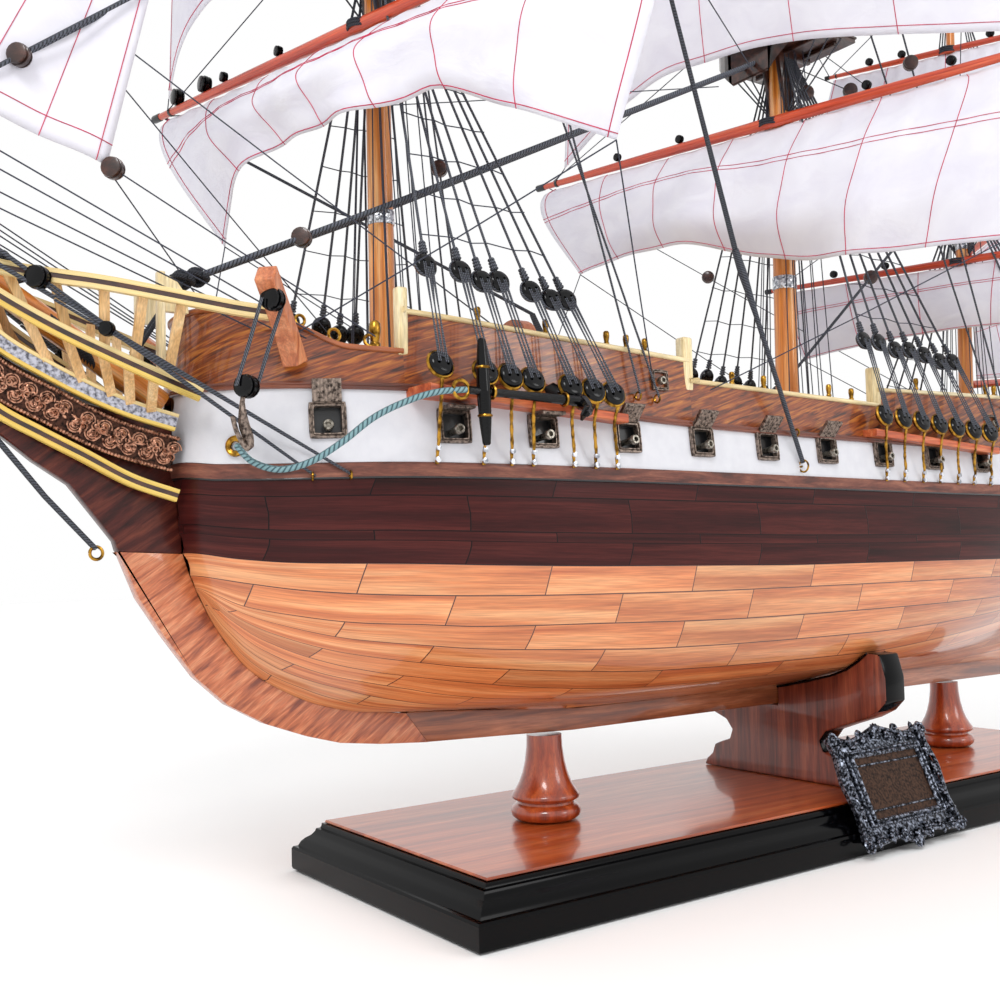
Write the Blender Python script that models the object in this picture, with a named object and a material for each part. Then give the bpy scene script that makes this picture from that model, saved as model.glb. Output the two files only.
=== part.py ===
# Display model of a three-masted sailing frigate on its own stand.
# Metres, bow towards +X, port side towards +Y, up is +Z.
# The origin is the middle of the underside of the base.
import math

import bmesh
import bpy
from mathutils import Matrix, Vector

for old in list(bpy.data.objects):
    bpy.data.objects.remove(old, do_unlink=True)

# Sizes
GAP = 0.0003                 # air left between neighbouring pieces

BASE_LENGTH = 0.4656         # bottom slab of the base
BASE_WIDTH = 0.1487
BASE_HEIGHT = 0.0220
TOP_LENGTH = 0.4432          # veneered top panel
TOP_WIDTH = 0.1265
PANEL_THICK = 0.0012
PEDESTAL_X = 0.1465          # both turned pedestals, fore and aft of the middle

KEEL_HALF = 0.0030           # half of the keel's thickness
DECK_Z = 0.1900              # top of the solid hull, which is the waist deck
UPPER_DECK_Z = 0.2000        # forecastle and quarterdeck
WALL = 0.0030                # thickness of the bulwarks
WAIST_AFT = -0.0060          # the low bulwark of the waist, between these two
WAIST_FORE = 0.1170
MIDSHIP = 0.0600             # fore body forward of this, after body behind 0
RUDDER_X = -0.2745           # rudder's turning axis, upright
RUDDER_HALF = 0.0018         # half of the rudder blade's thickness
RUDDER_NOSE = 0.0020         # radius of its round leading edge, about the axis
WHEEL_X = -0.2060            # helm wheel's turning axis runs fore and aft here
WHEEL_Z = 0.2120

STAY_RADIUS = 0.0006         # taut stays of the fore topmast
MAIN_STAY_RADIUS = 0.0012    # each leg of the served main stay

# Hull form: one row for each level line, from the keel up.
# z, widest half-breadth, aft end, half-breadth there, two shape powers aft,
# fore end, two shape powers forward
FORM = (
    (0.0690, 0.0060, -0.2630, 0.0030, 1.40, 1.60, 0.1300, 2.90, 1.00),
    (0.0730, 0.0225, -0.2632, 0.0030, 1.40, 1.60, 0.1850, 2.90, 1.00),
    (0.0765, 0.0355, -0.2634, 0.0030, 1.45, 1.60, 0.2360, 2.90, 1.00),
    (0.0810, 0.0490, -0.2637, 0.0030, 1.50, 1.45, 0.2560, 2.90, 1.00),
    (0.0865, 0.0556, -0.2640, 0.0030, 1.60, 1.30, 0.2690, 3.00, 1.00),
    (0.0960, 0.0612, -0.2650, 0.0030, 1.90, 1.15, 0.2840, 3.40, 0.88),
    (0.1100, 0.0650, -0.2660, 0.0030, 2.40, 1.00, 0.2955, 3.90, 0.75),
    (0.1260, 0.0668, -0.2680, 0.0030, 3.20, 1.00, 0.3042, 3.80, 0.62),
    (0.1410, 0.0672, -0.2700, 0.0040, 4.30, 1.00, 0.3095, 3.70, 0.50),
    (0.1520, 0.0670, -0.2725, 0.0140, 4.50, 0.90, 0.3112, 3.80, 0.50),
    (0.1620, 0.0664, -0.2780, 0.0300, 4.50, 0.80, 0.3122, 4.00, 0.50),
    (0.1750, 0.0653, -0.2900, 0.0405, 3.50, 0.80, 0.3130, 4.20, 0.50),
    (0.1900, 0.0638, -0.2990, 0.0425, 3.20, 0.80, 0.3130, 4.20, 0.50),
    (0.2050, 0.0625, -0.3040, 0.0420, 3.00, 0.80, 0.3115, 4.20, 0.50),
    (0.2220, 0.0615, -0.3090, 0.0410, 3.00, 0.80, 0.3095, 4.20, 0.50),
    (0.2450, 0.0600, -0.3140, 0.0395, 3.00, 0.80, 0.3070, 4.20, 0.50),
)

# Top of the bulwark under its caprail: x, z
RAIL_TOP = (
    (-0.3200, 0.2260), (-0.2800, 0.2210), (-0.2000, 0.2155), (-0.1200, 0.2130),
    (-0.0062, 0.2125), (-0.0058, 0.2050), (0.1168, 0.2060), (0.1172, 0.2160),
    (0.2498, 0.2190), (0.2502, 0.2095), (0.2700, 0.2110), (0.2900, 0.2165),
    (0.3140, 0.2180),
)

# The caprail steps down a little outside the bulwark: x, z of the bulwark top
CAP_TOP = (
    (-0.3200, 0.2260), (-0.2800, 0.2210), (-0.2000, 0.2155), (-0.1200, 0.2130),
    (-0.0053, 0.2125), (-0.0049, 0.2050), (0.1159, 0.2060), (0.1163, 0.2160),
    (0.2507, 0.2190), (0.2511, 0.2095), (0.2700, 0.2110), (0.2900, 0.2165),
    (0.3140, 0.2180),
)

# Masts: x at the deck, x at the truck, z of the deck, top, cap, topmast head,
# truck, diameter of the lower mast
MASTS = {
    "fore": (0.2234, 0.2234, 0.2003, 0.392, 0.428, 0.585, 0.775, 0.0108),
    "main": (-0.0205, -0.0330, 0.2003, 0.405, 0.445, 0.615, 0.828, 0.0122),
    "mizzen": (-0.1815, -0.1990, 0.2003, 0.352, 0.382, 0.505, 0.640, 0.0086),
}

# Yards: name, mast, z, half length, middle diameter, brace angle in degrees
YARDS = (
    ("fore_course_yard", "fore", 0.355, 0.145, 0.0058, -14.7),
    ("fore_topsail_yard", "fore", 0.525, 0.112, 0.0048, -14.7),
    ("fore_topgallant_yard", "fore", 0.675, 0.076, 0.0036, -14.7),
    ("main_course_yard", "main", 0.364, 0.155, 0.0062, -15.2),
    ("main_topsail_yard", "main", 0.548, 0.120, 0.0050, -15.2),
    ("main_topgallant_yard", "main", 0.715, 0.082, 0.0038, -15.2),
    ("crossjack_yard", "mizzen", 0.311, 0.122, 0.0048, -20.3),
    ("mizzen_topsail_yard", "mizzen", 0.443, 0.074, 0.0040, -24.0),
)

# Square sails: name, row of YARDS, z of the clews, half width at the clews,
# how far the foot arches up between them, how far the cloth bellies forward
SQUARE_SAILS = (
    ("fore_course", 0, 0.281, 0.112, 0.030, 0.012),
    ("fore_topsail", 1, 0.361, 0.121, 0.034, 0.016),
    ("fore_topgallant", 2, 0.532, 0.098, 0.026, 0.012),
    ("main_course", 3, 0.290, 0.120, 0.012, 0.012),
    ("main_topsail", 4, 0.370, 0.137, 0.038, 0.016),
    ("main_topgallant", 5, 0.555, 0.106, 0.028, 0.012),
    ("crossjack_sail", 6, 0.262, 0.098, 0.006, 0.010),
    ("mizzen_topsail", 7, 0.319, 0.106, 0.044, 0.012),
)

# Straight stays of the fore mast in the middle plane: upper end, lower end as x, z
TOPMAST_STAY = ((0.2368, 0.5570), (0.4623, 0.3018))
JIB_STAY = ((0.2416, 0.7020), (0.5715, 0.3692))
JIB_SEAT = 0.0010            # a jib's luff behind the middle line of its stay


# Materials
def material(name, colour, roughness, metallic=0.0):
    mat = bpy.data.materials.new(name)
    mat.use_nodes = True
    bsdf = mat.node_tree.nodes["Principled BSDF"]
    bsdf.inputs["Base Color"].default_value = (*colour, 1.0)
    bsdf.inputs["Roughness"].default_value = roughness
    bsdf.inputs["Metallic"].default_value = metallic
    return mat


BLACK_LACQUER = material("black_lacquer", (0.012, 0.013, 0.017), 0.18)
RED_VENEER = material("red_veneer", (0.34, 0.085, 0.025), 0.16)
TURNED_WOOD = material("turned_wood", (0.30, 0.055, 0.015), 0.18)
WALNUT = material("walnut", (0.16, 0.050, 0.026), 0.30)
PEWTER = material("pewter", (0.17, 0.18, 0.21), 0.35, 0.9)
HULL_WOOD = material("hull_wood", (0.52, 0.22, 0.08), 0.25)
KEEL_WOOD = material("keel_wood", (0.42, 0.15, 0.07), 0.30)
DARK_WOOD = material("dark_wood", (0.075, 0.024, 0.014), 0.30)
PALE_WOOD = material("pale_wood", (0.74, 0.60, 0.38), 0.45)
MAST_WOOD = material("mast_wood", (0.60, 0.22, 0.05), 0.25)
SPAR_PAINT = material("spar_paint", (0.42, 0.055, 0.018), 0.35)
CHERRY = material("cherry", (0.46, 0.14, 0.05), 0.35)
BLACK_PAINT = material("black_paint", (0.015, 0.015, 0.018), 0.30)
BRASS = material("brass", (0.62, 0.43, 0.15), 0.25, 1.0)
SAIL_CLOTH = material("sail_cloth", (0.80, 0.79, 0.82), 0.90)
ROPE = material("blue_grey_rope", (0.30, 0.45, 0.47), 0.85)


# Helpers
def make(name, verts, faces, mat, smooth=False):
    """One mesh object with outward faces."""
    mesh = bpy.data.meshes.new(name)
    mesh.from_pydata([tuple(v) for v in verts], [], faces)
    bm = bmesh.new()
    bm.from_mesh(mesh)
    bmesh.ops.remove_doubles(bm, verts=bm.verts, dist=1e-6)
    bmesh.ops.recalc_face_normals(bm, faces=bm.faces)
    for face in bm.faces:
        face.smooth = smooth
    bm.to_mesh(mesh)
    bm.free()
    obj = bpy.data.objects.new(name, mesh)
    obj.data.materials.append(mat)
    bpy.context.scene.collection.objects.link(obj)
    return obj


def rings(name, loops, mat, smooth=False):
    """Body through closed loops of equal length, capped at both ends."""
    count = len(loops[0])
    verts = [v for loop in loops for v in loop]
    faces = []
    for i in range(len(loops) - 1):
        for j in range(count):
            a = i * count + j
            b = i * count + (j + 1) % count
            faces.append((a, b, b + count, a + count))
    faces.append(tuple(range(count)))
    last = (len(loops) - 1) * count
    faces.append(tuple(last + j for j in reversed(range(count))))
    return make(name, verts, faces, mat, smooth)


def closed_ring(name, sections, mat):
    """Body that runs round in a circle through equal four-sided sections."""
    total = len(sections)
    verts = [v for section in sections for v in section]
    faces = []
    for i in range(total):
        k = (i + 1) % total
        for j in range(4):
            m = (j + 1) % 4
            faces.append((4 * i + j, 4 * i + m, 4 * k + m, 4 * k + j))
    return make(name, verts, faces, mat)


def box(name, low, high, mat):
    loops = []
    for z in (low[2], high[2]):
        loops.append([(low[0], low[1], z), (high[0], low[1], z),
                      (high[0], high[1], z), (low[0], high[1], z)])
    return rings(name, loops, mat)


def plate(name, outline, y_low, y_high, mat):
    """Upright fore-and-aft plate from an outline of x, z points."""
    loops = [[(x, y, z) for x, z in outline] for y in (y_low, y_high)]
    return rings(name, loops, mat)


def rod(name, points, radii, mat, count=12, smooth=True):
    """Round rod through points, with one radius for each point."""
    loops = []
    total = len(points)
    side = None
    for i in range(total):
        here = Vector(points[i])
        before = Vector(points[max(i - 1, 0)])
        after = Vector(points[min(i + 1, total - 1)])
        along = (after - before).normalized()
        if side is None:
            side = along.cross(Vector((0, 0, 1)))
            if side.length < 0.2:
                side = along.cross(Vector((1, 0, 0)))
        side = (side - along * side.dot(along)).normalized()
        up = along.cross(side)
        loop = []
        for j in range(count):
            angle = 2 * math.pi * j / count
            step = side * math.cos(angle) + up * math.sin(angle)
            loop.append(here + step * radii[i])
        loops.append(loop)
    return rings(name, loops, mat, smooth)


def strip(name, points, width, height, mat):
    """Bar of rectangular section along points, width across, height upward."""
    loops = []
    total = len(points)
    for i in range(total):
        here = Vector(points[i])
        before = Vector(points[max(i - 1, 0)])
        after = Vector(points[min(i + 1, total - 1)])
        along = (after - before).normalized()
        side = along.cross(Vector((0, 0, 1))).normalized() * width * 0.5
        up = side.cross(along).normalized() * height * 0.5
        loops.append([here - side - up, here + side - up,
                      here + side + up, here - side + up])
    return rings(name, loops, mat)


def fuse(name, parts):
    """Join overlapping bodies into one."""
    first = parts[0]
    first.name = name
    bpy.context.view_layer.objects.active = first
    for other in parts[1:]:
        mod = first.modifiers.new("join", "BOOLEAN")
        mod.operation = "UNION"
        mod.solver = "EXACT"
        mod.object = other
        bpy.ops.object.modifier_apply(modifier=mod.name)
        bpy.data.objects.remove(other, do_unlink=True)
    first.data.name = name
    return first


def cut(target, cutters):
    """Take cutter bodies away from a body."""
    bpy.context.view_layer.objects.active = target
    for cutter in cutters:
        mod = target.modifiers.new("cut", "BOOLEAN")
        mod.operation = "DIFFERENCE"
        mod.solver = "EXACT"
        mod.object = cutter
        bpy.ops.object.modifier_apply(modifier=mod.name)
        bpy.data.objects.remove(cutter, do_unlink=True)
    return target


def table_value(table, x):
    """Straight-line reading of a table of x, value."""
    if x <= table[0][0]:
        return table[0][1]
    for (x0, v0), (x1, v1) in zip(table, table[1:]):
        if x <= x1:
            return v0 + (v1 - v0) * (x - x0) / (x1 - x0)
    return table[-1][1]


def form_row(z):
    """Hull form row at any height."""
    if z <= FORM[0][0]:
        return FORM[0]
    for low, high in zip(FORM, FORM[1:]):
        if z <= high[0]:
            t = (z - low[0]) / (high[0] - low[0])
            return tuple(a + (b - a) * t for a, b in zip(low, high))
    return FORM[-1]


def half_breadth(x, z):
    """Half-breadth of the hull at a point of its length and height."""
    row = form_row(z)
    _, mid, aft, aft_half, p_aft, q_aft, fore, p_fore, q_fore = row
    if x >= MIDSHIP:
        s = min(max((x - MIDSHIP) / (fore - MIDSHIP), 0.0), 1.0)
        return KEEL_HALF + (mid - KEEL_HALF) * (1.0 - s ** p_fore) ** q_fore
    s = min(max(x / aft, 0.0), 1.0)
    return aft_half + (mid - aft_half) * (1.0 - s ** p_aft) ** q_aft


def level_line(z, count, inset=0.0):
    """Port half of the outline at one height, from the stern to the bow."""
    row = form_row(z)
    points = []
    for i in range(count + 1):
        u = i / count
        t = 0.5 - 0.5 * math.cos(math.pi * u)
        t = 0.62 * t + 0.38 * u
        x = row[2] + (row[6] - row[2]) * t
        points.append([x, half_breadth(x, z)])
    if inset:
        aft = row[2] + inset
        fore = row[6] - inset
        moved = []
        for x, y in points:
            x = min(max(x, aft), fore)
            moved.append([x, max(half_breadth(x, z) - inset, 0.0006)])
        points = moved
    return points


def whole_loop(z, count, inset=0.0):
    port = level_line(z, count, inset)
    loop = [(x, y, z) for x, y in port]
    loop += [(x, -y, z) for x, y in reversed(port)]
    return loop


# Stand
def base_moulding():
    # steps of the moulding: how far in from the slab's edge, and height
    profile = ((0.0012, 0.0000), (0.0000, 0.0010), (0.0000, 0.0100),
               (0.0012, 0.0104), (0.0016, 0.0122), (0.0042, 0.0128),
               (0.0066, 0.0150), (0.0080, 0.0186), (0.0094, 0.0188),
               (0.0098, 0.0208 - GAP))
    loops = []
    for inset, z in profile:
        x = BASE_LENGTH / 2 - inset
        y = BASE_WIDTH / 2 - inset
        loops.append([(-x, -y, z), (x, -y, z), (x, y, z), (-x, y, z)])
    return rings("base_moulding", loops, BLACK_LACQUER)


def base_panel():
    x = TOP_LENGTH / 2
    y = TOP_WIDTH / 2
    low = BASE_HEIGHT - PANEL_THICK
    return box("base_top_panel", (-x, -y, low), (x, y, BASE_HEIGHT), RED_VENEER)


def pedestal(name, x):
    # height above the panel, radius
    profile = ((0.0000, 0.0118), (0.0012, 0.0144), (0.0038, 0.0152),
               (0.0062, 0.0140), (0.0070, 0.0124), (0.0082, 0.0122),
               (0.0088, 0.0142), (0.0100, 0.0150), (0.0118, 0.0138),
               (0.0165, 0.0112), (0.0225, 0.0092), (0.0300, 0.0080),
               (0.0364, 0.0077))
    points = [(x, 0, BASE_HEIGHT + GAP + h) for h, _ in profile]
    radii = [r for _, r in profile]
    return rod(name, points, radii, TURNED_WOOD, 20)


def cradle_board():
    # half outline of the board across the ship: y, z; mirrored to starboard
    half = ((0.0034, 0.0586), (0.0034, 0.0680), (0.0100, 0.0692),
            (0.0220, 0.0718), (0.0374, 0.0756), (0.0470, 0.0790),
            (0.0545, 0.0836), (0.0590, 0.0872), (0.0660, 0.0868),
            (0.0690, 0.0760), (0.0690, 0.0650), (0.0640, 0.0600),
            (0.0560, 0.0560), (0.0440, 0.0520), (0.0330, 0.0480),
            (0.0290, 0.0430), (0.0310, 0.0380), (0.0370, 0.0360),
            (0.0420, 0.0340), (0.0440, 0.0290), (0.0480, 0.0260),
            (0.0500, 0.0223))
    outline = [(y, z) for y, z in half] + [(-y, z) for y, z in reversed(half)]
    loops = [[(x, y, z) for y, z in outline] for x in (-0.0150, 0.0)]
    return rings("cradle_board", loops, WALNUT)


def nameplate():
    # leaning plate: front face from the lower edge to the upper edge
    width = 0.0360
    low = Vector((-0.0030, 0.0807, 0.0048))
    high = Vector((-0.0030, 0.0595, 0.0513))
    up = (high - low).normalized()
    out = Vector((0, up.z, -up.y))
    outline = ((-1.00, 0.03), (-0.80, 0.00), (-0.30, 0.03), (0.00, -0.05),
               (0.30, 0.03), (0.80, 0.00), (1.00, 0.03), (0.94, 0.30),
               (1.00, 0.60), (0.94, 0.86), (1.00, 1.02), (0.62, 0.96),
               (0.30, 1.00), (0.00, 1.05), (-0.30, 1.00), (-0.62, 0.96),
               (-1.00, 1.02), (-0.94, 0.86), (-1.00, 0.60), (-0.94, 0.30))
    length = (high - low).length
    loops = []
    for depth in (0.0, -0.0032):
        loop = []
        for a, b in outline:
            loop.append(low + Vector((a * width, 0, 0)) + up * b * length + out * depth)
        loops.append(loop)
    return rings("nameplate", loops, PEWTER)


# Hull
KEEL_OUTER = ((-0.2690, 0.0590), (0.1328, 0.0590), (0.1702, 0.0604),
              (0.2121, 0.0620), (0.2295, 0.0633), (0.2473, 0.0656),
              (0.2607, 0.0694), (0.2778, 0.0758), (0.2925, 0.0840),
              (0.3045, 0.0949), (0.3160, 0.1106), (0.3249, 0.1242),
              (0.3333, 0.1445), (0.3396, 0.1526), (0.3486, 0.1641),
              (0.3606, 0.1720), (0.3710, 0.1805), (0.3820, 0.1890),
              (0.3905, 0.1985), (0.3960, 0.2085))


def keel():
    inner = []
    for row in FORM[:12]:
        inner.append((row[6] + 0.0005, row[0] - 0.0004))
    aft = [(row[2] - 0.0004, row[0] - 0.0003) for row in FORM[:9]]
    outline = list(KEEL_OUTER)
    outline += [(0.3900, 0.2110), (0.3700, 0.2010), (0.3500, 0.1940),
                (0.3300, 0.1895), (0.3150, 0.1870)]
    outline += list(reversed(inner))
    outline += aft
    outline += [(-0.2718, 0.1403), (-0.2722, 0.1380), (-0.2715, 0.1000)]
    knee = plate("keel_and_stem", outline, -KEEL_HALF, KEEL_HALF, KEEL_WOOD)
    return fuse("keel_and_stem", [knee, scroll_head()])


def hull():
    levels = [row[0] for row in FORM[:13]]
    loops = [whole_loop(z, 34) for z in levels]
    body = rings("hull", loops, HULL_WOOD, True)
    stand = box("wheel_stand", (WHEEL_X - 0.0052, -0.0022, DECK_Z - 0.004),
                (WHEEL_X - 0.0022, 0.0022, WHEEL_Z + 0.0025), DARK_WOOD)
    axle = rod("wheel_axle", [(WHEEL_X - 0.003, 0, WHEEL_Z), (WHEEL_X + 0.0016, 0, WHEEL_Z)],
               [0.0006, 0.0006], DARK_WOOD, 12)
    return fuse("hull", [body, stand, axle])


def bulwark_ring(low, thick, height_at, outset, table, name, mat):
    """Wall that follows the ship's side all round."""
    xs = []
    row = form_row(0.205)
    for i in range(31):
        u = i / 30
        t = 0.62 * (0.5 - 0.5 * math.cos(math.pi * u)) + 0.38 * u
        xs.append(t)
    steps = []
    for x, _ in table:
        t = (x - row[2]) / (row[6] - row[2])
        if 0.01 < t < 0.99:
            steps.append(t)
    ts = sorted(set(xs + steps))
    kept = [t for t in ts if t in steps or min(abs(t - s) for s in steps) > 0.006]
    sections = []
    for side in (1, -1):
        order = kept if side == 1 else list(reversed(kept))
        for t in order:
            sections.append(wall_section(t, side, low, thick, height_at, outset))
    return closed_ring(name, sections, mat)


def wall_section(t, side, low, thick, height_at, outset):
    row = form_row(0.205)
    x_ref = row[2] + (row[6] - row[2]) * t
    top = height_at(x_ref)
    bottom = low if not callable(low) else low(x_ref)
    corners = []
    for z, inset in ((bottom, -outset), (top, -outset), (top, thick), (bottom, thick)):
        here = form_row(z)
        x = here[2] + (here[6] - here[2]) * t
        aft = here[2] + inset
        fore = here[6] - inset
        x = min(max(x, aft), fore)
        clamped = min(max(x, here[2]), here[6])
        y = max(half_breadth(clamped, z) - inset, 0.0008)
        corners.append((x, side * y, z))
    return corners


def rail_height(x):
    return table_value(RAIL_TOP, x)


def bulwarks():
    return bulwark_ring(DECK_Z + GAP, WALL, rail_height, 0.0, RAIL_TOP, "bulwarks", DARK_WOOD)


def caprail():
    def low(x):
        return table_value(CAP_TOP, x) + GAP

    def high(x):
        return table_value(CAP_TOP, x) + 0.0024
    return bulwark_ring(low, WALL + 0.0010, high, 0.0010, CAP_TOP, "caprail", PALE_WOOD)


def upper_deck(name, x_from, x_to, holes):
    low = DECK_Z + GAP
    edge = WALL + 0.0013
    row = form_row(UPPER_DECK_Z)
    x_from = max(x_from, row[2] + edge + 0.0040)
    x_to = min(x_to, row[6] - edge - 0.0020)
    loops = []
    for z in (low, UPPER_DECK_Z):
        port = []
        for i in range(15):
            x = x_from + (x_to - x_from) * math.sin(0.5 * math.pi * i / 14)
            if x_from < -0.1:
                x = x_to - (x_to - x_from) * math.sin(0.5 * math.pi * (14 - i) / 14)
            y = min(half_breadth(x, low), half_breadth(x, UPPER_DECK_Z)) - edge
            port.append((x, max(y, 0.001)))
        loops.append([(x, y, z) for x, y in port] + [(x, -y, z) for x, y in reversed(port)])
    deck = rings(name, loops, PALE_WOOD)
    cutters = []
    for x, radius in holes:
        cutters.append(rod("hole", [(x, 0, low - 0.002), (x, 0, UPPER_DECK_Z + 0.002)],
                           [radius, radius], PALE_WOOD, 16))
    return cut(deck, cutters)


def rudder():
    # blade and round leading edge, drawn about the axis and then moved onto it
    outline = ((0.0, 0.0640), (-0.0150, 0.0640), (-0.0172, 0.0900), (-0.0140, 0.1180),
               (-0.0092, 0.1300), (-0.0075, 0.1480), (0.0, 0.1480))
    blade = plate("blade", outline, -RUDDER_HALF, RUDDER_HALF, KEEL_WOOD)
    nose = rod("nose", [(0, 0, 0.0636), (0, 0, 0.1484)], [RUDDER_NOSE, RUDDER_NOSE],
               KEEL_WOOD, 16)
    whole = fuse("rudder", [blade, nose])
    whole.location = (RUDDER_X, 0, 0)
    return whole


def helm_wheel():
    centre = Vector((WHEEL_X, 0, WHEEL_Z))
    sections = []
    for i in range(24):
        angle = 2 * math.pi * i / 24
        out = Vector((0, math.cos(angle), math.sin(angle)))
        section = []
        for dx, r in ((-0.0007, 0.0062), (0.0007, 0.0062), (0.0007, 0.0076), (-0.0007, 0.0076)):
            section.append(centre + out * r + Vector((dx, 0, 0)))
        sections.append(section)
    rim = closed_ring("rim", sections, MAST_WOOD)
    parts = [rim]
    hub = rod("hub", [centre + Vector((-0.0012, 0, 0)), centre + Vector((0.0011, 0, 0))],
              [0.0020, 0.0020], MAST_WOOD, 16)
    parts.append(hub)
    for i in range(4):
        angle = math.pi * i / 4
        out = Vector((0, math.cos(angle), math.sin(angle))) * 0.0098
        parts.append(rod("spoke", [centre - out, centre + out], [0.0005, 0.0005], MAST_WOOD, 6))
    wheel = fuse("helm_wheel", parts)
    bore = rod("bore", [centre + Vector((-0.003, 0, 0)), centre + Vector((0.003, 0, 0))],
               [0.0009, 0.0009], MAST_WOOD, 12)
    cut(wheel, [bore])
    wheel.data.transform(Matrix.Translation(-centre))
    wheel.location = centre
    return wheel


def stern_face():
    # z, how far behind the end of the hull form, half width
    loops = []
    for z, behind, y in ((0.1785, 0.0007, 0.0475), (0.1900, 0.0007, 0.0500),
                         (0.2060, 0.0007, 0.0495), (0.2210, 0.0010, 0.0440),
                         (0.2240, 0.0020, 0.0400), (0.2290, 0.0018, 0.0300)):
        x = form_row(z)[2] - behind
        loops.append([(x, -y, z), (x - 0.0030, -y, z), (x - 0.0030, y, z), (x, y, z)])
    return rings("stern_face", loops, DARK_WOOD)


def quarter_gallery(side):
    # z, how far it stands out from the ship's side
    loops = []
    for z, out in ((0.1765, 0.0010), (0.1800, 0.0050), (0.1880, 0.0072),
                   (0.2010, 0.0072), (0.2080, 0.0050), (0.2130, 0.0010)):
        end = form_row(z)[2]
        loop = []
        for x in (end - 0.0020, -0.2880, -0.2720, -0.2560):
            loop.append((x, side * (half_breadth(max(x, end), z) + 0.0014), z))
        for x in (-0.2600, -0.2720, -0.2850, end - 0.0020):
            loop.append((x, side * (half_breadth(max(x, end), z) + 0.0014 + out), z))
        loops.append(loop)
    return rings("quarter_gallery", loops, DARK_WOOD)


def stern_gallery():
    return fuse("stern_gallery", [stern_face(), quarter_gallery(1), quarter_gallery(-1)])


def head_rails(side):
    name = "head_rails_port" if side > 0 else "head_rails_starboard"
    upper = ((0.2990, 0.0452, 0.2205), (0.3180, 0.0385, 0.2240), (0.3430, 0.0270, 0.2290),
             (0.3700, 0.0150, 0.2330), (0.3900, 0.0085, 0.2380))
    middle = ((0.3120, 0.0300, 0.1935), (0.3300, 0.0265, 0.2010), (0.3560, 0.0180, 0.2140),
              (0.3760, 0.0120, 0.2260), (0.3890, 0.0080, 0.2360))
    lower = ((0.3190, 0.0160, 0.1870), (0.3350, 0.0130, 0.1910), (0.3560, 0.0095, 0.2010),
             (0.3750, 0.0075, 0.2150), (0.3880, 0.0070, 0.2340))
    board = ((0.3180, 0.0115, 0.1740), (0.3360, 0.0095, 0.1790), (0.3560, 0.0075, 0.1880),
             (0.3740, 0.0060, 0.2010), (0.3870, 0.0055, 0.2180))
    parts = []
    for line, height in ((upper, 0.0044), (middle, 0.0042), (lower, 0.0034)):
        points = [(x, side * y, z) for x, y, z in line]
        parts.append(strip("rail", points, 0.0026, height, PALE_WOOD))
    points = [(x, side * y, z) for x, y, z in board]
    parts.append(strip("board", points, 0.0022, 0.0110, PALE_WOOD))
    web = [(x, side * y, z) for x, y, z in
           ((0.3190, 0.0140, 0.1830), (0.3370, 0.0112, 0.1870), (0.3560, 0.0086, 0.1970),
            (0.3745, 0.0074, 0.2110), (0.3865, 0.0072, 0.2245))]
    parts.append(strip("web", web, 0.0050, 0.0130, PALE_WOOD))
    for i in range(4):
        t = i / 3
        top = Vector((0.3230 + 0.050 * t, side * (0.0362 - 0.0215 * t), 0.2250 + 0.009 * t))
        low = Vector((0.3290 + 0.044 * t, side * (0.0140 - 0.0062 * t), 0.1880 + 0.026 * t))
        parts.append(rod("timber", [low, top], [0.0014, 0.0014], PALE_WOOD, 8, False))
    return fuse(name, parts)


def scroll_head():
    """Scroll that the end of the knee of the head is carved into."""
    outline = []
    for i in range(17):
        angle = math.radians(-120 + 300 * i / 16)
        r = 0.0085
        outline.append((0.4040 + r * math.cos(angle), 0.2330 + r * math.sin(angle)))
    outline += [(0.3925, 0.2290), (0.3912, 0.2200), (0.3880, 0.2040), (0.3940, 0.2020),
                (0.3990, 0.2150)]
    return plate("scroll_head", outline, -0.0034, 0.0034, KEEL_WOOD)


def cathead(side):
    name = "cathead_port" if side > 0 else "cathead_starboard"
    root = Vector((0.2850, side * 0.0425, 0.2085))
    tip = Vector((0.3030, side * 0.0640, 0.2295))
    return strip(name, [root, tip], 0.0064, 0.0070, CHERRY)


def channel(mast, side, x_fore, x_aft, z_fore, z_aft, eyes):
    name = mast + "_channel_" + ("port" if side > 0 else "starboard")
    inner = []
    outer = []
    for i in range(5):
        x = x_aft + (x_fore - x_aft) * i / 4
        z = z_aft + (z_fore - z_aft) * i / 4
        inner.append((x, side * (half_breadth(x, z) + 0.0006), z))
        outer.append((x, side * 0.0715, z))
    loops = []
    for dz in (-0.0017, 0.0017):
        loop = [(x, y, z + dz) for x, y, z in inner]
        loop += [(x, y, z + dz) for x, y, z in reversed(outer)]
        loops.append(loop)
    parts = [rings("plank", loops, CHERRY)]
    for i in range(eyes):
        t = (i + 0.5) / eyes
        x = x_aft + (x_fore - x_aft) * t
        z = z_aft + (z_fore - z_aft) * t
        parts.append(rod("eye", [(x, side * 0.0700, z + 0.0042), (x, side * 0.0733, z + 0.0042)],
                         [0.0037, 0.0037], BLACK_PAINT, 12))
        foot = (x + 0.0004, side * 0.0690, z - 0.0190)
        parts.append(rod("plate", [(x, side * 0.0708, z - 0.0008), foot],
                         [0.0007, 0.0007], BRASS, 6, False))
    return fuse(name, parts)


# Anchors and cables
ANCHOR_Y = 0.0759            # middle plane of the port anchor


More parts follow.
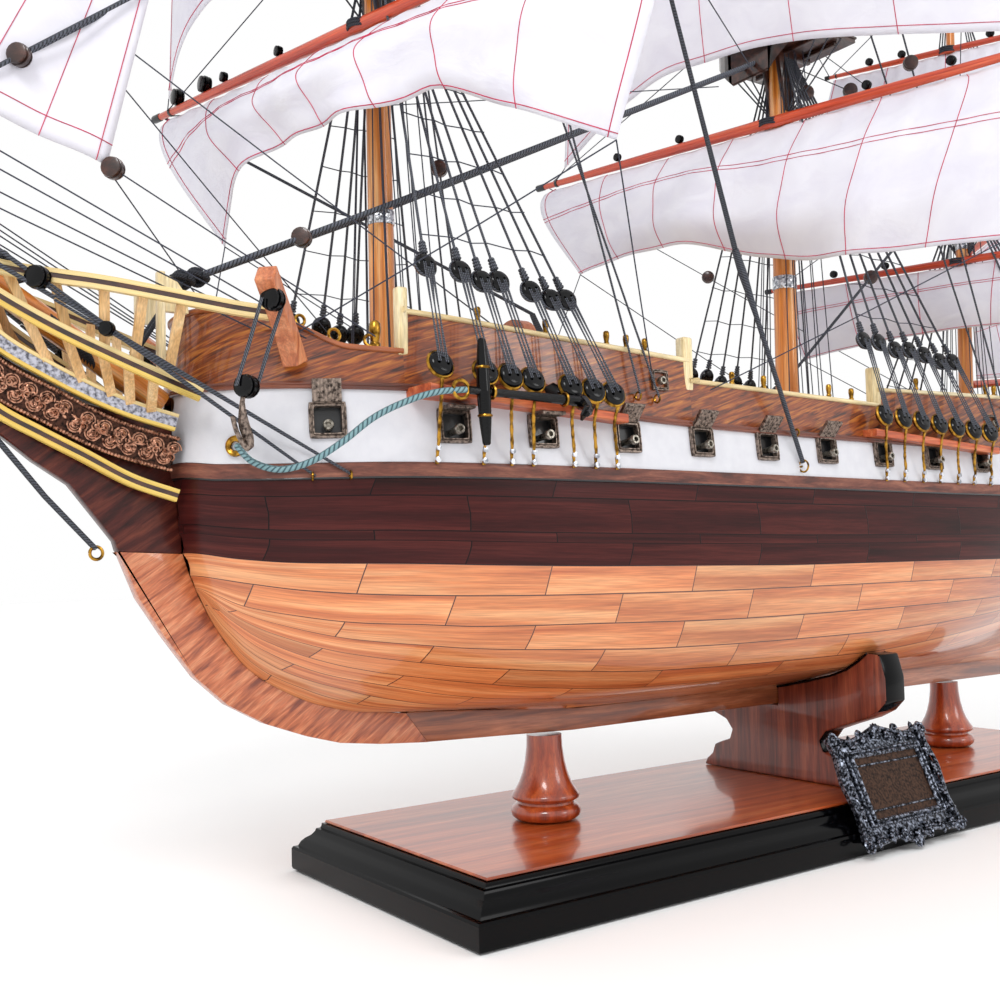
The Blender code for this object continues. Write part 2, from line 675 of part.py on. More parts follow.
def anchor(side):
    name = "anchor_port" if side > 0 else "anchor_starboard"
    y = side * ANCHOR_Y
    parts = [rod("shank", [(0.2330, y, 0.1942), (0.1830, y, 0.1908)], [0.0016, 0.0018],
                 BLACK_PAINT, 10)]
    parts.append(rod("stock", [(0.2268, y, 0.2130), (0.2262, y, 0.1940), (0.2256, y, 0.1750)],
                     [0.0013, 0.0024, 0.0013], BLACK_PAINT, 10))
    arms = []
    for i in range(9):
        angle = math.radians(-62 + 124 * i / 8)
        arms.append((0.2008 - 0.0190 * math.cos(angle), y + 0.0190 * math.sin(angle), 0.1908))
    radii = [0.0007, 0.0012, 0.0015, 0.0018, 0.0019, 0.0018, 0.0015, 0.0012, 0.0007]
    turned = []
    for x, yy, z in arms:
        # the arms stand at right angles to the stock, flat against the side
        turned.append(Vector((x, y, z + (yy - y))))
    parts.append(rod("arms", turned, radii, BLACK_PAINT, 8))
    for k in (0, 8):
        tip = turned[k]
        inward = Vector((0.0042, 0, 0.0016 if k == 0 else -0.0016))
        parts.append(rod("fluke", [tip - inward * 0.35, tip + inward], [0.0022, 0.0010],
                         BLACK_PAINT, 6, False))
    return fuse(name, parts)


CABLE_ROUTE = ((0.3012, 0.0345, 0.1760), (0.2990, 0.0420, 0.1700), (0.2930, 0.0505, 0.1668),
               (0.2850, 0.0580, 0.1690), (0.2760, 0.0640, 0.1755), (0.2660, 0.0690, 0.1840),
               (0.2540, 0.0728, 0.1900), (0.2440, 0.0750, 0.1930), (0.2338, 0.0759, 0.1942))


def smooth_path(points, count):
    """Points at even steps on a smooth curve through the given ones."""
    pts = [Vector(p) for p in points]
    dense = []
    for i in range(len(pts) - 1):
        p0 = pts[max(i - 1, 0)]
        p1 = pts[i]
        p2 = pts[i + 1]
        p3 = pts[min(i + 2, len(pts) - 1)]
        for k in range(12):
            t = k / 12
            a = 2 * p1 + (p2 - p0) * t
            b = (2 * p0 - 5 * p1 + 4 * p2 - p3) * t * t
            c = (3 * p1 - 3 * p2 + p3 - p0) * t * t * t
            dense.append((a + b + c) * 0.5)
    dense.append(pts[-1])
    lengths = [0.0]
    for a, b in zip(dense, dense[1:]):
        lengths.append(lengths[-1] + (b - a).length)
    result = []
    k = 0
    for i in range(count):
        want = lengths[-1] * i / (count - 1)
        while k < len(lengths) - 2 and lengths[k + 1] < want:
            k += 1
        t = (want - lengths[k]) / max(lengths[k + 1] - lengths[k], 1e-9)
        result.append(dense[k].lerp(dense[k + 1], min(max(t, 0.0), 1.0)))
    return result


def anchor_cable(side):
    name = "anchor_cable_port" if side > 0 else "anchor_cable_starboard"
    points = smooth_path([(x, side * y, z) for x, y, z in CABLE_ROUTE], 48)
    curve = bpy.data.curves.new(name, "CURVE")
    curve.dimensions = "3D"
    curve.bevel_depth = 0.00115
    curve.bevel_resolution = 2
    curve.use_fill_caps = True
    spline = curve.splines.new("POLY")
    spline.points.add(len(points) - 1)
    for point, place in zip(spline.points, points):
        point.co = (*place, 1.0)
    curve.materials.append(ROPE)
    obj = bpy.data.objects.new(name, curve)
    bpy.context.scene.collection.objects.link(obj)
    return obj


# Masts, spars, stays and sails
def bowsprit():
    start = Vector((0.3156, 0.0, 0.1937))
    end = Vector((0.4560, 0.0, 0.2860))
    body = rod("bowsprit", [start, start.lerp(end, 0.5), end], [0.0048, 0.0046, 0.0034],
               MAST_WOOD, 16)
    heel = Vector((0.4020, 0.0, 0.2600))
    tip = Vector((0.5750, 0.0, 0.3690))
    boom = rod("boom", [heel, heel.lerp(tip, 0.5), tip], [0.0027, 0.0024, 0.0014],
               MAST_WOOD, 12)
    along = (end - start).normalized()
    middle = end - along * 0.0030 + Vector((0, 0, 0.0020))
    cap = strip("cap", [middle - along * 0.0022, middle + along * 0.0022], 0.0090, 0.0150,
                DARK_WOOD)
    return fuse("bowsprit", [body, cap, boom])


def mast_x(mast, z):
    x0, x1, z0 = MASTS[mast][0], MASTS[mast][1], MASTS[mast][2]
    z1 = MASTS[mast][6]
    return x0 + (x1 - x0) * (z - z0) / (z1 - z0)


def lower_mast(mast):
    _, _, deck, top, cap, _, _, dia = MASTS[mast]
    heel = UPPER_DECK_Z + GAP * 2
    r = dia / 2
    points = [(mast_x(mast, z), 0, z) for z in (heel, top, cap)]
    body = rod(mast + "_mast", points, [r, r * 0.92, r * 0.80], MAST_WOOD, 16)
    # platform of the top, rounded at its fore side
    half = 0.0320 if mast != "mizzen" else 0.0240
    deep = half * 0.72
    x = mast_x(mast, top)
    outline = [(x - deep, -half), (x + deep * 0.1, -half), (x + deep * 0.7, -half * 0.72),
               (x + deep, 0.0), (x + deep * 0.7, half * 0.72), (x + deep * 0.1, half),
               (x - deep, half)]
    loops = [[(a, b, z) for a, b in outline] for z in (top - 0.0014, top + 0.0014)]
    platform = rings("platform", loops, DARK_WOOD)
    bibs = []
    for side in (-1, 1):
        y = side * r * 0.80
        shape = [(x + r * 0.9, top), (x - r * 0.9, top), (x - r * 0.6, top - 0.034),
                 (x + r * 0.5, top - 0.034)]
        loops = [[(a, y + dy, z) for a, z in shape] for dy in (-0.0013, 0.0015)]
        bibs.append(rings("bib", loops, DARK_WOOD))
    x = mast_x(mast, cap)
    block = box("cap", (x - 0.0060, -0.0048, cap - 0.0040), (x + 0.0150, 0.0048, cap + 0.0010),
                DARK_WOOD)
    return fuse(mast + "_lower_mast", [body, platform] + bibs + [block])


TOPMAST_SHARE = 0.33         # topmast radius as a share of the lower mast's diameter
POLE_LEAD = 1.75             # topgallant pole ahead of the topmast, in topmast radii
POLE_HEEL = 0.68             # its radius at the heel and at the truck, in the same
POLE_TIP = 0.30
POLE_OVERLAP = 0.0240        # length of the pole beside the topmast's head


def topmast_lead(dia):
    """How far the topmast stands ahead of the lower mast's middle line."""
    return dia / 2 + dia * 0.36 + GAP


def upper_mast(mast):
    _, _, _, _, cap, head, truck, dia = MASTS[mast]
    ahead = topmast_lead(dia)
    r = dia * TOPMAST_SHARE
    foot = cap + 0.0010 + GAP * 2
    points = []
    for z in (foot, head):
        points.append((mast_x(mast, z) + ahead, 0, z))
    body = rod(mast + "_topmast", points, [r, r * 0.80], MAST_WOOD, 14)
    trees = box("trees", (points[1][0] - 0.0080, -0.0150, head - 0.0190),
                (points[1][0] + 0.0100, 0.0150, head - 0.0172), DARK_WOOD)
    x = points[1][0]
    z = head
    block = box("cap", (x - 0.0040, -0.0030, z - 0.0030), (x + 0.0092, 0.0030, z + 0.0008),
                DARK_WOOD)
    low = head - POLE_OVERLAP
    step = r * POLE_LEAD
    gallant = [(mast_x(mast, low) + ahead + step, 0, low),
               (mast_x(mast, truck) + ahead + step, 0, truck)]
    pole = rod("gallant", gallant, [r * POLE_HEEL, r * POLE_TIP], MAST_WOOD, 12)
    ball = rod("truck", [(gallant[1][0], 0, truck - 0.0008), (gallant[1][0], 0, truck + 0.0012)],
               [0.0020, 0.0020], DARK_WOOD, 12)
    parts = [body, trees, block, pole, ball]
    return fuse(mast + "_upper_mast", parts)


def mast_fore_face(mast, z):
    """The fore side of the mast at a height."""
    _, _, _, top, _, head, truck, dia = MASTS[mast]
    r = dia * TOPMAST_SHARE
    ahead = topmast_lead(dia)
    heel = head - POLE_OVERLAP
    if z < top:
        return mast_x(mast, z) + dia / 2
    if z < heel:
        return mast_x(mast, z) + ahead + r
    taper = POLE_HEEL + (POLE_TIP - POLE_HEEL) * (z - heel) / (truck - heel)
    return mast_x(mast, z) + ahead + r * (POLE_LEAD + taper)


def yard_centre(mast, z, dia):
    return Vector((mast_fore_face(mast, z) + dia / 2 + 0.0006, 0, z))


def yard(name, mast, z, half, dia, brace):
    angle = math.radians(brace)
    centre = yard_centre(mast, z, dia)
    along = Vector((math.sin(angle), math.cos(angle), 0))
    points = []
    radii = []
    for t, r in ((-1.0, 0.55), (-0.5, 0.85), (0.0, 1.0), (0.5, 0.85), (1.0, 0.55)):
        points.append(centre + along * half * t)
        radii.append(dia / 2 * r)
    return rod(name, points, radii, SPAR_PAINT, 10)


def square_sail(name, yard_row, clew_z, clew_half, arch, belly):
    _, mast, z, half, dia, brace = YARDS[yard_row]
    angle = math.radians(brace)
    across = Vector((math.sin(angle), math.cos(angle), 0))
    ahead = Vector((math.cos(angle), -math.sin(angle), 0))
    centre = yard_centre(mast, z, dia)
    head_z = z - dia / 2 - 0.0006
    head_half = half * 0.90
    rows = 6
    cols = 10
    grid = []
    for face in (0, 1):
        for i in range(rows + 1):
            v = i / rows
            width = head_half + (clew_half - head_half) * v
            for j in range(cols + 1):
                u = -1 + 2 * j / cols
                bulge = belly * math.sin(0.70 * math.pi * v) * (1 - u * u)
                place = centre + across * (width * u)
                place = place + ahead * (bulge + 0.0006 - 0.0012 * face)
                place.z = head_z + (clew_z - head_z) * v + arch * (1 - u * u) * v
                grid.append(place)
    return slab(name, grid, rows, cols, SAIL_CLOTH)


def stay(name, line):
    points = [(x, 0, z) for x, z in line]
    return rod(name, points, [STAY_RADIUS, STAY_RADIUS], BLACK_PAINT, 8)


def main_stay():
    # collar from the bowsprit up to the hearts, then one leg each side of the fore mast
    heart = Vector((0.3040, 0, 0.2400))
    parts = [rod("heart", [heart + Vector((0.0045, 0, -0.0045)), heart - Vector((0.0045, 0, -0.0045))],
                 [0.0034, 0.0034], BLACK_PAINT, 10, False)]
    parts.append(rod("collar", [(0.3253, 0, 0.2067), heart], [0.0016, 0.0016], BLACK_PAINT, 8))
    for side in (1, -1):
        leg = [heart, (0.2234, side * 0.0086, 0.2798), (-0.0110, side * 0.0030, 0.3975)]
        parts.append(rod("leg", leg, [MAIN_STAY_RADIUS] * 3, BLACK_PAINT, 8))
    return fuse("main_stay", parts)


def along_stay(line, share, off):
    """Point beside a stay, off metres behind and below it."""
    top = Vector((line[0][0], 0, line[0][1]))
    low = Vector((line[1][0], 0, line[1][1]))
    down = (low - top).normalized()
    behind = Vector((down.z, 0, -down.x))
    return top.lerp(low, share) + behind * off


def slab(name, grid, rows, cols, mat):
    """Closed thin body from a front grid and a back grid of points."""
    n = (rows + 1) * (cols + 1)
    faces = []

    def at(face, i, j):
        return face * n + i * (cols + 1) + j
    for i in range(rows):
        for j in range(cols):
            faces.append((at(0, i, j), at(0, i, j + 1), at(0, i + 1, j + 1), at(0, i + 1, j)))
            faces.append((at(1, i, j), at(1, i + 1, j), at(1, i + 1, j + 1), at(1, i, j + 1)))
    for j in range(cols):
        faces.append((at(0, 0, j), at(1, 0, j), at(1, 0, j + 1), at(0, 0, j + 1)))
        faces.append((at(0, rows, j), at(0, rows, j + 1), at(1, rows, j + 1), at(1, rows, j)))
    for i in range(rows):
        faces.append((at(0, i, 0), at(0, i + 1, 0), at(1, i + 1, 0), at(1, i, 0)))
        faces.append((at(0, i, cols), at(1, i, cols), at(1, i + 1, cols), at(0, i + 1, cols)))
    return make(name, grid, faces, mat, True)


def triangle_sail(name, head, tack, clew, belly):
    """Fore-and-aft sail with three corners, bellied to starboard."""
    head = Vector(head)
    tack = Vector(tack)
    clew = Vector(clew)
    rows = 8
    cols = 6
    grid = []
    for face in (0, 1):
        for i in range(rows + 1):
            v = 0.03 + 0.97 * i / rows
            left = head.lerp(tack, v)
            right = head.lerp(clew, v)
            for j in range(cols + 1):
                u = j / cols
                place = left.lerp(right, u)
                place.y -= belly * math.sin(math.pi * u) * v * 4 * (1.02 - v)
                place.y += 0.0006 - 0.0012 * face
                grid.append(place)
    return slab(name, grid, rows, cols, SAIL_CLOTH)


def four_corner_sail(name, corners, belly):
    throat, peak, clew, tack = [Vector(c) for c in corners]
    rows = 6
    cols = 6
    grid = []
    for face in (0, 1):
        for i in range(rows + 1):
            v = i / rows
            left = throat.lerp(tack, v)
            right = peak.lerp(clew, v)
            for j in range(cols + 1):
                u = j / cols
                place = left.lerp(right, u)
                place.y -= belly * math.sin(math.pi * u) * math.sin(math.pi * v)
                place.y += 0.0006 - 0.0012 * face
                grid.append(place)
    return slab(name, grid, rows, cols, SAIL_CLOTH)


# Assembly
base_moulding()
base_panel()
pedestal("pedestal_fore", PEDESTAL_X)
pedestal("pedestal_aft", -PEDESTAL_X)
cradle_board()
nameplate()
keel()
hull()
bulwarks()
caprail()
upper_deck("forecastle_deck", WAIST_FORE + 0.0005, 0.4, ())
upper_deck("quarterdeck", -0.4, WAIST_AFT - 0.0005, ((WHEEL_X - 0.0037, 0.0040),))
rudder()
helm_wheel()
stern_gallery()
head_rails(1)
head_rails(-1)
for hand in (1, -1):
    cathead(hand)
    channel("fore", hand, 0.2520, 0.1550, 0.1955, 0.1888, 7)
    channel("main", hand, 0.0014, -0.0986, 0.1905, 0.1853, 7)
    channel("mizzen", hand, -0.1660, -0.2300, 0.1900, 0.1930, 4)
    anchor(hand)
    anchor_cable(hand)
bowsprit()
for mast in ("fore", "main", "mizzen"):
    lower_mast(mast)
    upper_mast(mast)
for row in YARDS:
    yard(*row)
for row in SQUARE_SAILS:
    square_sail(*row)
stay("fore_topmast_stay", TOPMAST_STAY)
stay("jib_stay", JIB_STAY)
main_stay()

gaff_from = Vector((mast_x("mizzen", 0.318) - 0.0058, 0, 0.318))
gaff_to = Vector((-0.3180, 0, 0.3900))
rod("gaff", [gaff_from, gaff_to], [0.0022, 0.0014], SPAR_PAINT, 10)
boom_from = Vector((mast_x("mizzen", 0.236) - 0.0054, 0, 0.236))
boom_to = Vector((-0.3650, 0, 0.2560))
rod("spanker_boom", [boom_from, boom_to], [0.0024, 0.0016], SPAR_PAINT, 10)
four_corner_sail("spanker", ((-0.1960, 0, 0.3169), (-0.3100, 0, 0.3827),
                             (-0.3450, 0, 0.2562), (-0.1945, 0, 0.2397)), 0.010)
triangle_sail("inner_jib", along_stay(TOPMAST_STAY, 0.20, JIB_SEAT),
              along_stay(TOPMAST_STAY, 0.95, JIB_SEAT), (0.3345, 0, 0.2782), 0.005)
triangle_sail("outer_jib", along_stay(JIB_STAY, 0.16, JIB_SEAT),
              along_stay(JIB_STAY, 0.955, JIB_SEAT), (0.3560, -0.0180, 0.3500), 0.014)
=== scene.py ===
import math

import bmesh
import bpy
from mathutils import Matrix, Vector


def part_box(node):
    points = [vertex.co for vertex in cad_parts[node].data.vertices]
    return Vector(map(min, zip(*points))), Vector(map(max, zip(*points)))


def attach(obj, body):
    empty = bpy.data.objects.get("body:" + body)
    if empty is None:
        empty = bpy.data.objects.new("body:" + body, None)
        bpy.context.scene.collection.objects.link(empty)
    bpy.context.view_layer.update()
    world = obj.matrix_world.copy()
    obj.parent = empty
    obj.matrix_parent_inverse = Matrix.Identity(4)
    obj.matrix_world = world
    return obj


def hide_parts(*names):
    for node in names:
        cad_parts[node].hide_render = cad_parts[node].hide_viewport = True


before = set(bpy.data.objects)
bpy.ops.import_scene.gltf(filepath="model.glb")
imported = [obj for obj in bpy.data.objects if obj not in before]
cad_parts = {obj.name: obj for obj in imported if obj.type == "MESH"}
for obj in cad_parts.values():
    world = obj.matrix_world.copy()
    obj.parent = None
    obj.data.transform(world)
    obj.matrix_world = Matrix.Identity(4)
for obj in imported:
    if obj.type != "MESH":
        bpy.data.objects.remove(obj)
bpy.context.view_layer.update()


def loose():
    for thing in bpy.context.selected_objects:
        thing.select_set(False)


loose()

# The camera looks up at the port bow from a little above the base, as in the photograph.
# Its place and turn were solved from the base, the hull's bands and the gunports.
EYE = Vector((0.4576, 0.4115, 0.1327))
YAW, PITCH, ROLL = 3.75657, 0.056176, -0.025124
LENS = 41.946
ahead = Vector((math.sin(YAW) * math.cos(PITCH), math.cos(YAW) * math.cos(PITCH), math.sin(PITCH)))
level = ahead.cross(Vector((0, 0, 1))).normalized()
rise = level.cross(ahead)
right = level * math.cos(ROLL) + rise * math.sin(ROLL)
upward = rise * math.cos(ROLL) - level * math.sin(ROLL)
camera = bpy.data.objects.new("camera", bpy.data.cameras.new("camera"))
camera.data.lens = LENS
camera.data.clip_start = 0.01
turn = Matrix((right, upward, -ahead)).transposed().to_4x4()
camera.matrix_world = Matrix.Translation(EYE) @ turn
bpy.context.scene.collection.objects.link(camera)
bpy.context.scene.camera = camera
bpy.context.scene.view_settings.view_transform = "Standard"


# Colours are given as sRGB hex and turned to linear here. add() puts one shader node in
# a material, with its sockets, links, settings and ramp stops.
def linear(code):
    channels = [int(code[i:i + 2], 16) / 255 for i in (1, 3, 5)]
    return [c / 12.92 if c <= 0.04045 else ((c + 0.055) / 1.055) ** 2.4 for c in channels] + [1.0]


def add(mat, kind, sockets, stops=(), **settings):
    item = mat.node_tree.nodes.new(kind)
    for key, value in settings.items():
        setattr(item, key, value)
    for key, value in sockets.items():
        if isinstance(value, bpy.types.NodeSocket):
            mat.node_tree.links.new(value, item.inputs[key])
        else:
            item.inputs[key].default_value = value
    for place, (at, code) in enumerate(stops):
        ramp = item.color_ramp.elements
        stop = ramp[place] if place < 2 else ramp.new(at)
        stop.position = at
        stop.color = linear(code)
    return item


def begin(name, code, roughness, metallic=0.0, coat=0.0, coat_roughness=0.08,
          shine=0.5):
    """A material with its Principled shader, which is returned with it."""
    mat = bpy.data.materials.new(name)
    mat.use_nodes = True
    skin = mat.node_tree.nodes["Principled BSDF"]
    skin.inputs["Base Color"].default_value = linear(code)
    skin.inputs["Roughness"].default_value = roughness
    skin.inputs["Metallic"].default_value = metallic
    skin.inputs["Coat Weight"].default_value = coat
    skin.inputs["Coat Roughness"].default_value = coat_roughness
    skin.inputs["Specular IOR Level"].default_value = shine
    return mat, skin


def feed(mat, skin, socket, source):
    mat.node_tree.links.new(source, skin.inputs[socket])


def tint(mat, skin, source, *stops):
    """Colours the shader along a ramp."""
    tone = add(mat, "ShaderNodeValToRGB", {0: source}, stops=stops)
    feed(mat, skin, "Base Color", tone.outputs[0])


def noise(mat, place, size, detail=2.0, distortion=0.0):
    """Noise with features of a size in metres."""
    return add(mat, "ShaderNodeTexNoise", {"Vector": place, "Scale": 1 / size, "Detail": detail,
                                           "Distortion": distortion})


def emboss(mat, skin, height, strength, distance):
    """Raises the surface where the height is great, without moving its points."""
    relief = add(mat, "ShaderNodeBump", {"Height": height, "Strength": strength,
                                         "Distance": distance})
    feed(mat, skin, "Normal", relief.outputs[0])


# Soft studio light: a pale room, one broad light above the bow and a lower one abeam,
# and a pale floor that the base stands on.
world = bpy.data.worlds.new("pale_room")
world.use_nodes = True
world.node_tree.nodes["Background"].inputs["Color"].default_value = linear("#ffffff")
world.node_tree.nodes["Background"].inputs["Strength"].default_value = 1.0
bpy.context.scene.world = world


def light(name, place, aim, size, power):
    lamp = bpy.data.lights.new(name, "AREA")
    lamp.shape = "DISK"
    lamp.size = size
    lamp.energy = power
    obj = bpy.data.objects.new(name, lamp)
    obj.location = place
    obj.rotation_euler = (Vector(aim) - Vector(place)).to_track_quat("-Z", "Y").to_euler()
    bpy.context.scene.collection.objects.link(obj)


light("key_light", (1.3, 1.2, 1.6), (0.0, 0.0, 0.25), 0.7, 18)
light("side_light", (-0.9, 1.9, 0.9), (0.0, 0.0, 0.2), 0.7, 6)
bpy.ops.mesh.primitive_plane_add(size=12, location=(0, 0, -0.0004))
floor = bpy.context.object
floor.name = "floor"
floor_mat, _ = begin("pale_floor", "#ffffff", 0.7)
floor.data.materials.append(floor_mat)
floor.select_set(False)


# Every piece that is lofted carries a map in metres: along it in U, round it in V, so the
# grain, planks and rope lay of its material follow it. keep() finishes any piece.
def keep(obj, mat, slot, *nodes, body="ship_and_stand"):
    if not obj.data.materials:
        obj.data.materials.append(mat)
    obj.select_set(False)
    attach(obj, body)
    if nodes:
        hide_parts(*nodes)
    return obj


def mesh_piece(name, verts, faces, maps=None, smooth=True, angle=40, outward=True):
    """A mesh object from points and faces; maps has one U, V pair for each point."""
    mesh = bpy.data.meshes.new(name)
    mesh.from_pydata([tuple(v) for v in verts], [], faces)
    if maps is not None:
        layer = mesh.uv_layers.new(name="lay")
        for loop in mesh.loops:
            layer.data[loop.index].uv = maps[loop.vertex_index]
    if outward:
        bm = bmesh.new()
        bm.from_mesh(mesh)
        bmesh.ops.remove_doubles(bm, verts=bm.verts, dist=1e-7)
        bmesh.ops.recalc_face_normals(bm, faces=bm.faces)
        bm.to_mesh(mesh)
        bm.free()
    obj = bpy.data.objects.new(name, mesh)
    bpy.context.scene.collection.objects.link(obj)
    if smooth:
        mesh.shade_smooth()
        mesh.set_sharp_from_angle(angle=math.radians(angle))
    return obj


TURN = 2 * math.pi


def evenly(a, b, steps):
    """Values from a to b at even distances, both ends with them."""
    return [a + (b - a) * i / steps for i in range(steps + 1)]


def loft(loops, caps=True):
    """Points, faces and map through a row of equal closed loops."""
    count = len(loops[0])
    verts, faces, maps = [], [], []
    run = 0.0
    for i, loop in enumerate(loops):
        if i:
            run += (Vector(loop[0]) - Vector(loops[i - 1][0])).length
        around = 0.0
        for j, point in enumerate(loop):
            if j:
                around += (Vector(point) - Vector(loop[j - 1])).length
            verts.append(point)
            maps.append((run, around))
    for i in range(len(loops) - 1):
        for j in range(count):
            a = i * count + j
            b = i * count + (j + 1) % count
            faces.append((a, b, b + count, a + count))
    if caps:
        faces.append(tuple(reversed(range(count))))
        faces.append(tuple((len(loops) - 1) * count + j for j in range(count)))
    return verts, faces, maps


def gather(name, parts, **options):
    """One mesh piece from many lofted bits, each a tuple of points, faces and map."""
    verts, faces, maps = [], [], []
    for v, f, m in parts:
        start = len(verts)
        verts += v
        faces += [tuple(start + k for k in face) for face in f]
        maps += m
    return mesh_piece(name, verts, faces, maps, **options)


def heading(path, i):
    """The way a path runs at one of its points."""
    return path[min(i + 1, len(path) - 1)] - path[max(i - 1, 0)]


def tube(points, radii, count=8):
    """Round tube through points; radii is one radius or one for each point."""
    pts = [Vector(p) for p in points]
    if not hasattr(radii, "__len__"):
        radii = [radii] * len(pts)
    side = None
    loops = []
    for i, here in enumerate(pts):
        along = heading(pts, i).normalized()
        if side is None:
            side = along.orthogonal()
        side = (side - along * side.dot(along)).normalized()
        up = along.cross(side)
        loops.append([here + (side * math.cos(a) + up * math.sin(a)) * radii[i]
                      for a in evenly(0, TURN, count)[:-1]])
    return loft(loops)


def curve_through(points, count):
    """Even points on a smooth curve through the given ones."""
    pts = [Vector(p) for p in points]
    between_two = 12
    dense = []
    for i in range(len(pts) - 1):
        p0, p1, p2, p3 = pts[max(i - 1, 0)], pts[i], pts[i + 1], pts[min(i + 2, len(pts) - 1)]
        for k in range(between_two):
            t = k / between_two
            a = 2 * p1 + (p2 - p0) * t
            b = (2 * p0 - 5 * p1 + 4 * p2 - p3) * t * t
            c = (3 * p1 - 3 * p2 + p3 - p0) * t * t * t
            dense.append((a + b + c) * 0.5)
    dense.append(pts[-1])
    runs = [0.0]
    for a, b in zip(dense, dense[1:]):
        runs.append(runs[-1] + (b - a).length)
    result = []
    k = 0
    for i in range(count):
        want = runs[-1] * i / (count - 1)
        while k < len(runs) - 2 and runs[k + 1] < want:
            k += 1
        t = (want - runs[k]) / max(runs[k + 1] - runs[k], 1e-9)
        result.append(dense[k].lerp(dense[k + 1], min(max(t, 0.0), 1.0)))
    return result


# Anchor cables: three-strand cotton cord, dyed grey blue, from each hawse hole in a slack
# bight to the anchor's ring at the fore channel.
CABLE_THICK = 0.0023
CABLE_ROUTE = ((0.3012, 0.0345, 0.1760), (0.2990, 0.0420, 0.1700), (0.2930, 0.0505, 0.1668),
               (0.2850, 0.0580, 0.1690), (0.2760, 0.0640, 0.1755), (0.2660, 0.0690, 0.1840),
               (0.2540, 0.0728, 0.1900), (0.2440, 0.0750, 0.1930), (0.2338, 0.0759, 0.1942))


def laid_cord(name, dark, pale, thick):
    """Twisted cord: slanting strands from the piece's map, with fine fibre in each, and painted shade
    that darkens the grooves between the strands.
    """
    strands = 3
    mat, skin = begin(name, pale, 0.85)
    place = add(mat, "ShaderNodeTexCoord", {})
    pitch = thick * 2.6
    across = math.pi * thick / strands
    turned = add(mat, "ShaderNodeMapping", {"Vector": place.outputs["UV"],
                                            "Scale": (1 / pitch * strands, 1 / across, 1)})
    parts = add(mat, "ShaderNodeSeparateXYZ", {0: turned.outputs[0]})
    summed = add(mat, "ShaderNodeMath", {0: parts.outputs[0], 1: parts.outputs[1]}, operation="ADD")
    strand = add(mat, "ShaderNodeMath", {0: summed.outputs[0], 1: 0.5}, operation="PINGPONG")
    fibre = noise(mat, place.outputs["Object"], 0.0004)
    # Painted shade: the ramp runs from dark in the grooves between the strands to pale on their crowns.
    tone = add(mat, "ShaderNodeValToRGB", {0: strand.outputs[0]},
               stops=((0.03, dark), (0.30, pale)))
    groove_shaded_fibre = add(mat, "ShaderNodeMix", {0: 0.25, 6: tone.outputs[0], 7: fibre.outputs["Color"]},
               data_type="RGBA", blend_type="SOFT_LIGHT")
    feed(mat, skin, "Base Color", groove_shaded_fibre.outputs[2])
    emboss(mat, skin, strand.outputs[0], 0.9, thick * 0.24)
    return mat


cable_mat = laid_cord("laid_cotton_cable", "#29434b", "#7b9ca2", CABLE_THICK)
HAND = {1: "port", -1: "starboard"}
for side, hand in HAND.items():
    path = curve_through([(x, side * y, z) for x, y, z in CABLE_ROUTE], 80)
    cable = gather("anchor_rope_" + hand, [tube(path, CABLE_THICK / 2, 12)], angle=80)
    keep(cable, cable_mat, "rope", "anchor_cable_" + hand)
    length = sum((b - a).length for a, b in zip(path, path[1:]))
    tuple(path[0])


# Wood of every kind here is varnished. The grain runs along the piece's own map, or along
# the object's axes where along gives the stretch. planks gives a plank's length and width.
JOINT_WIDE = 0.00028


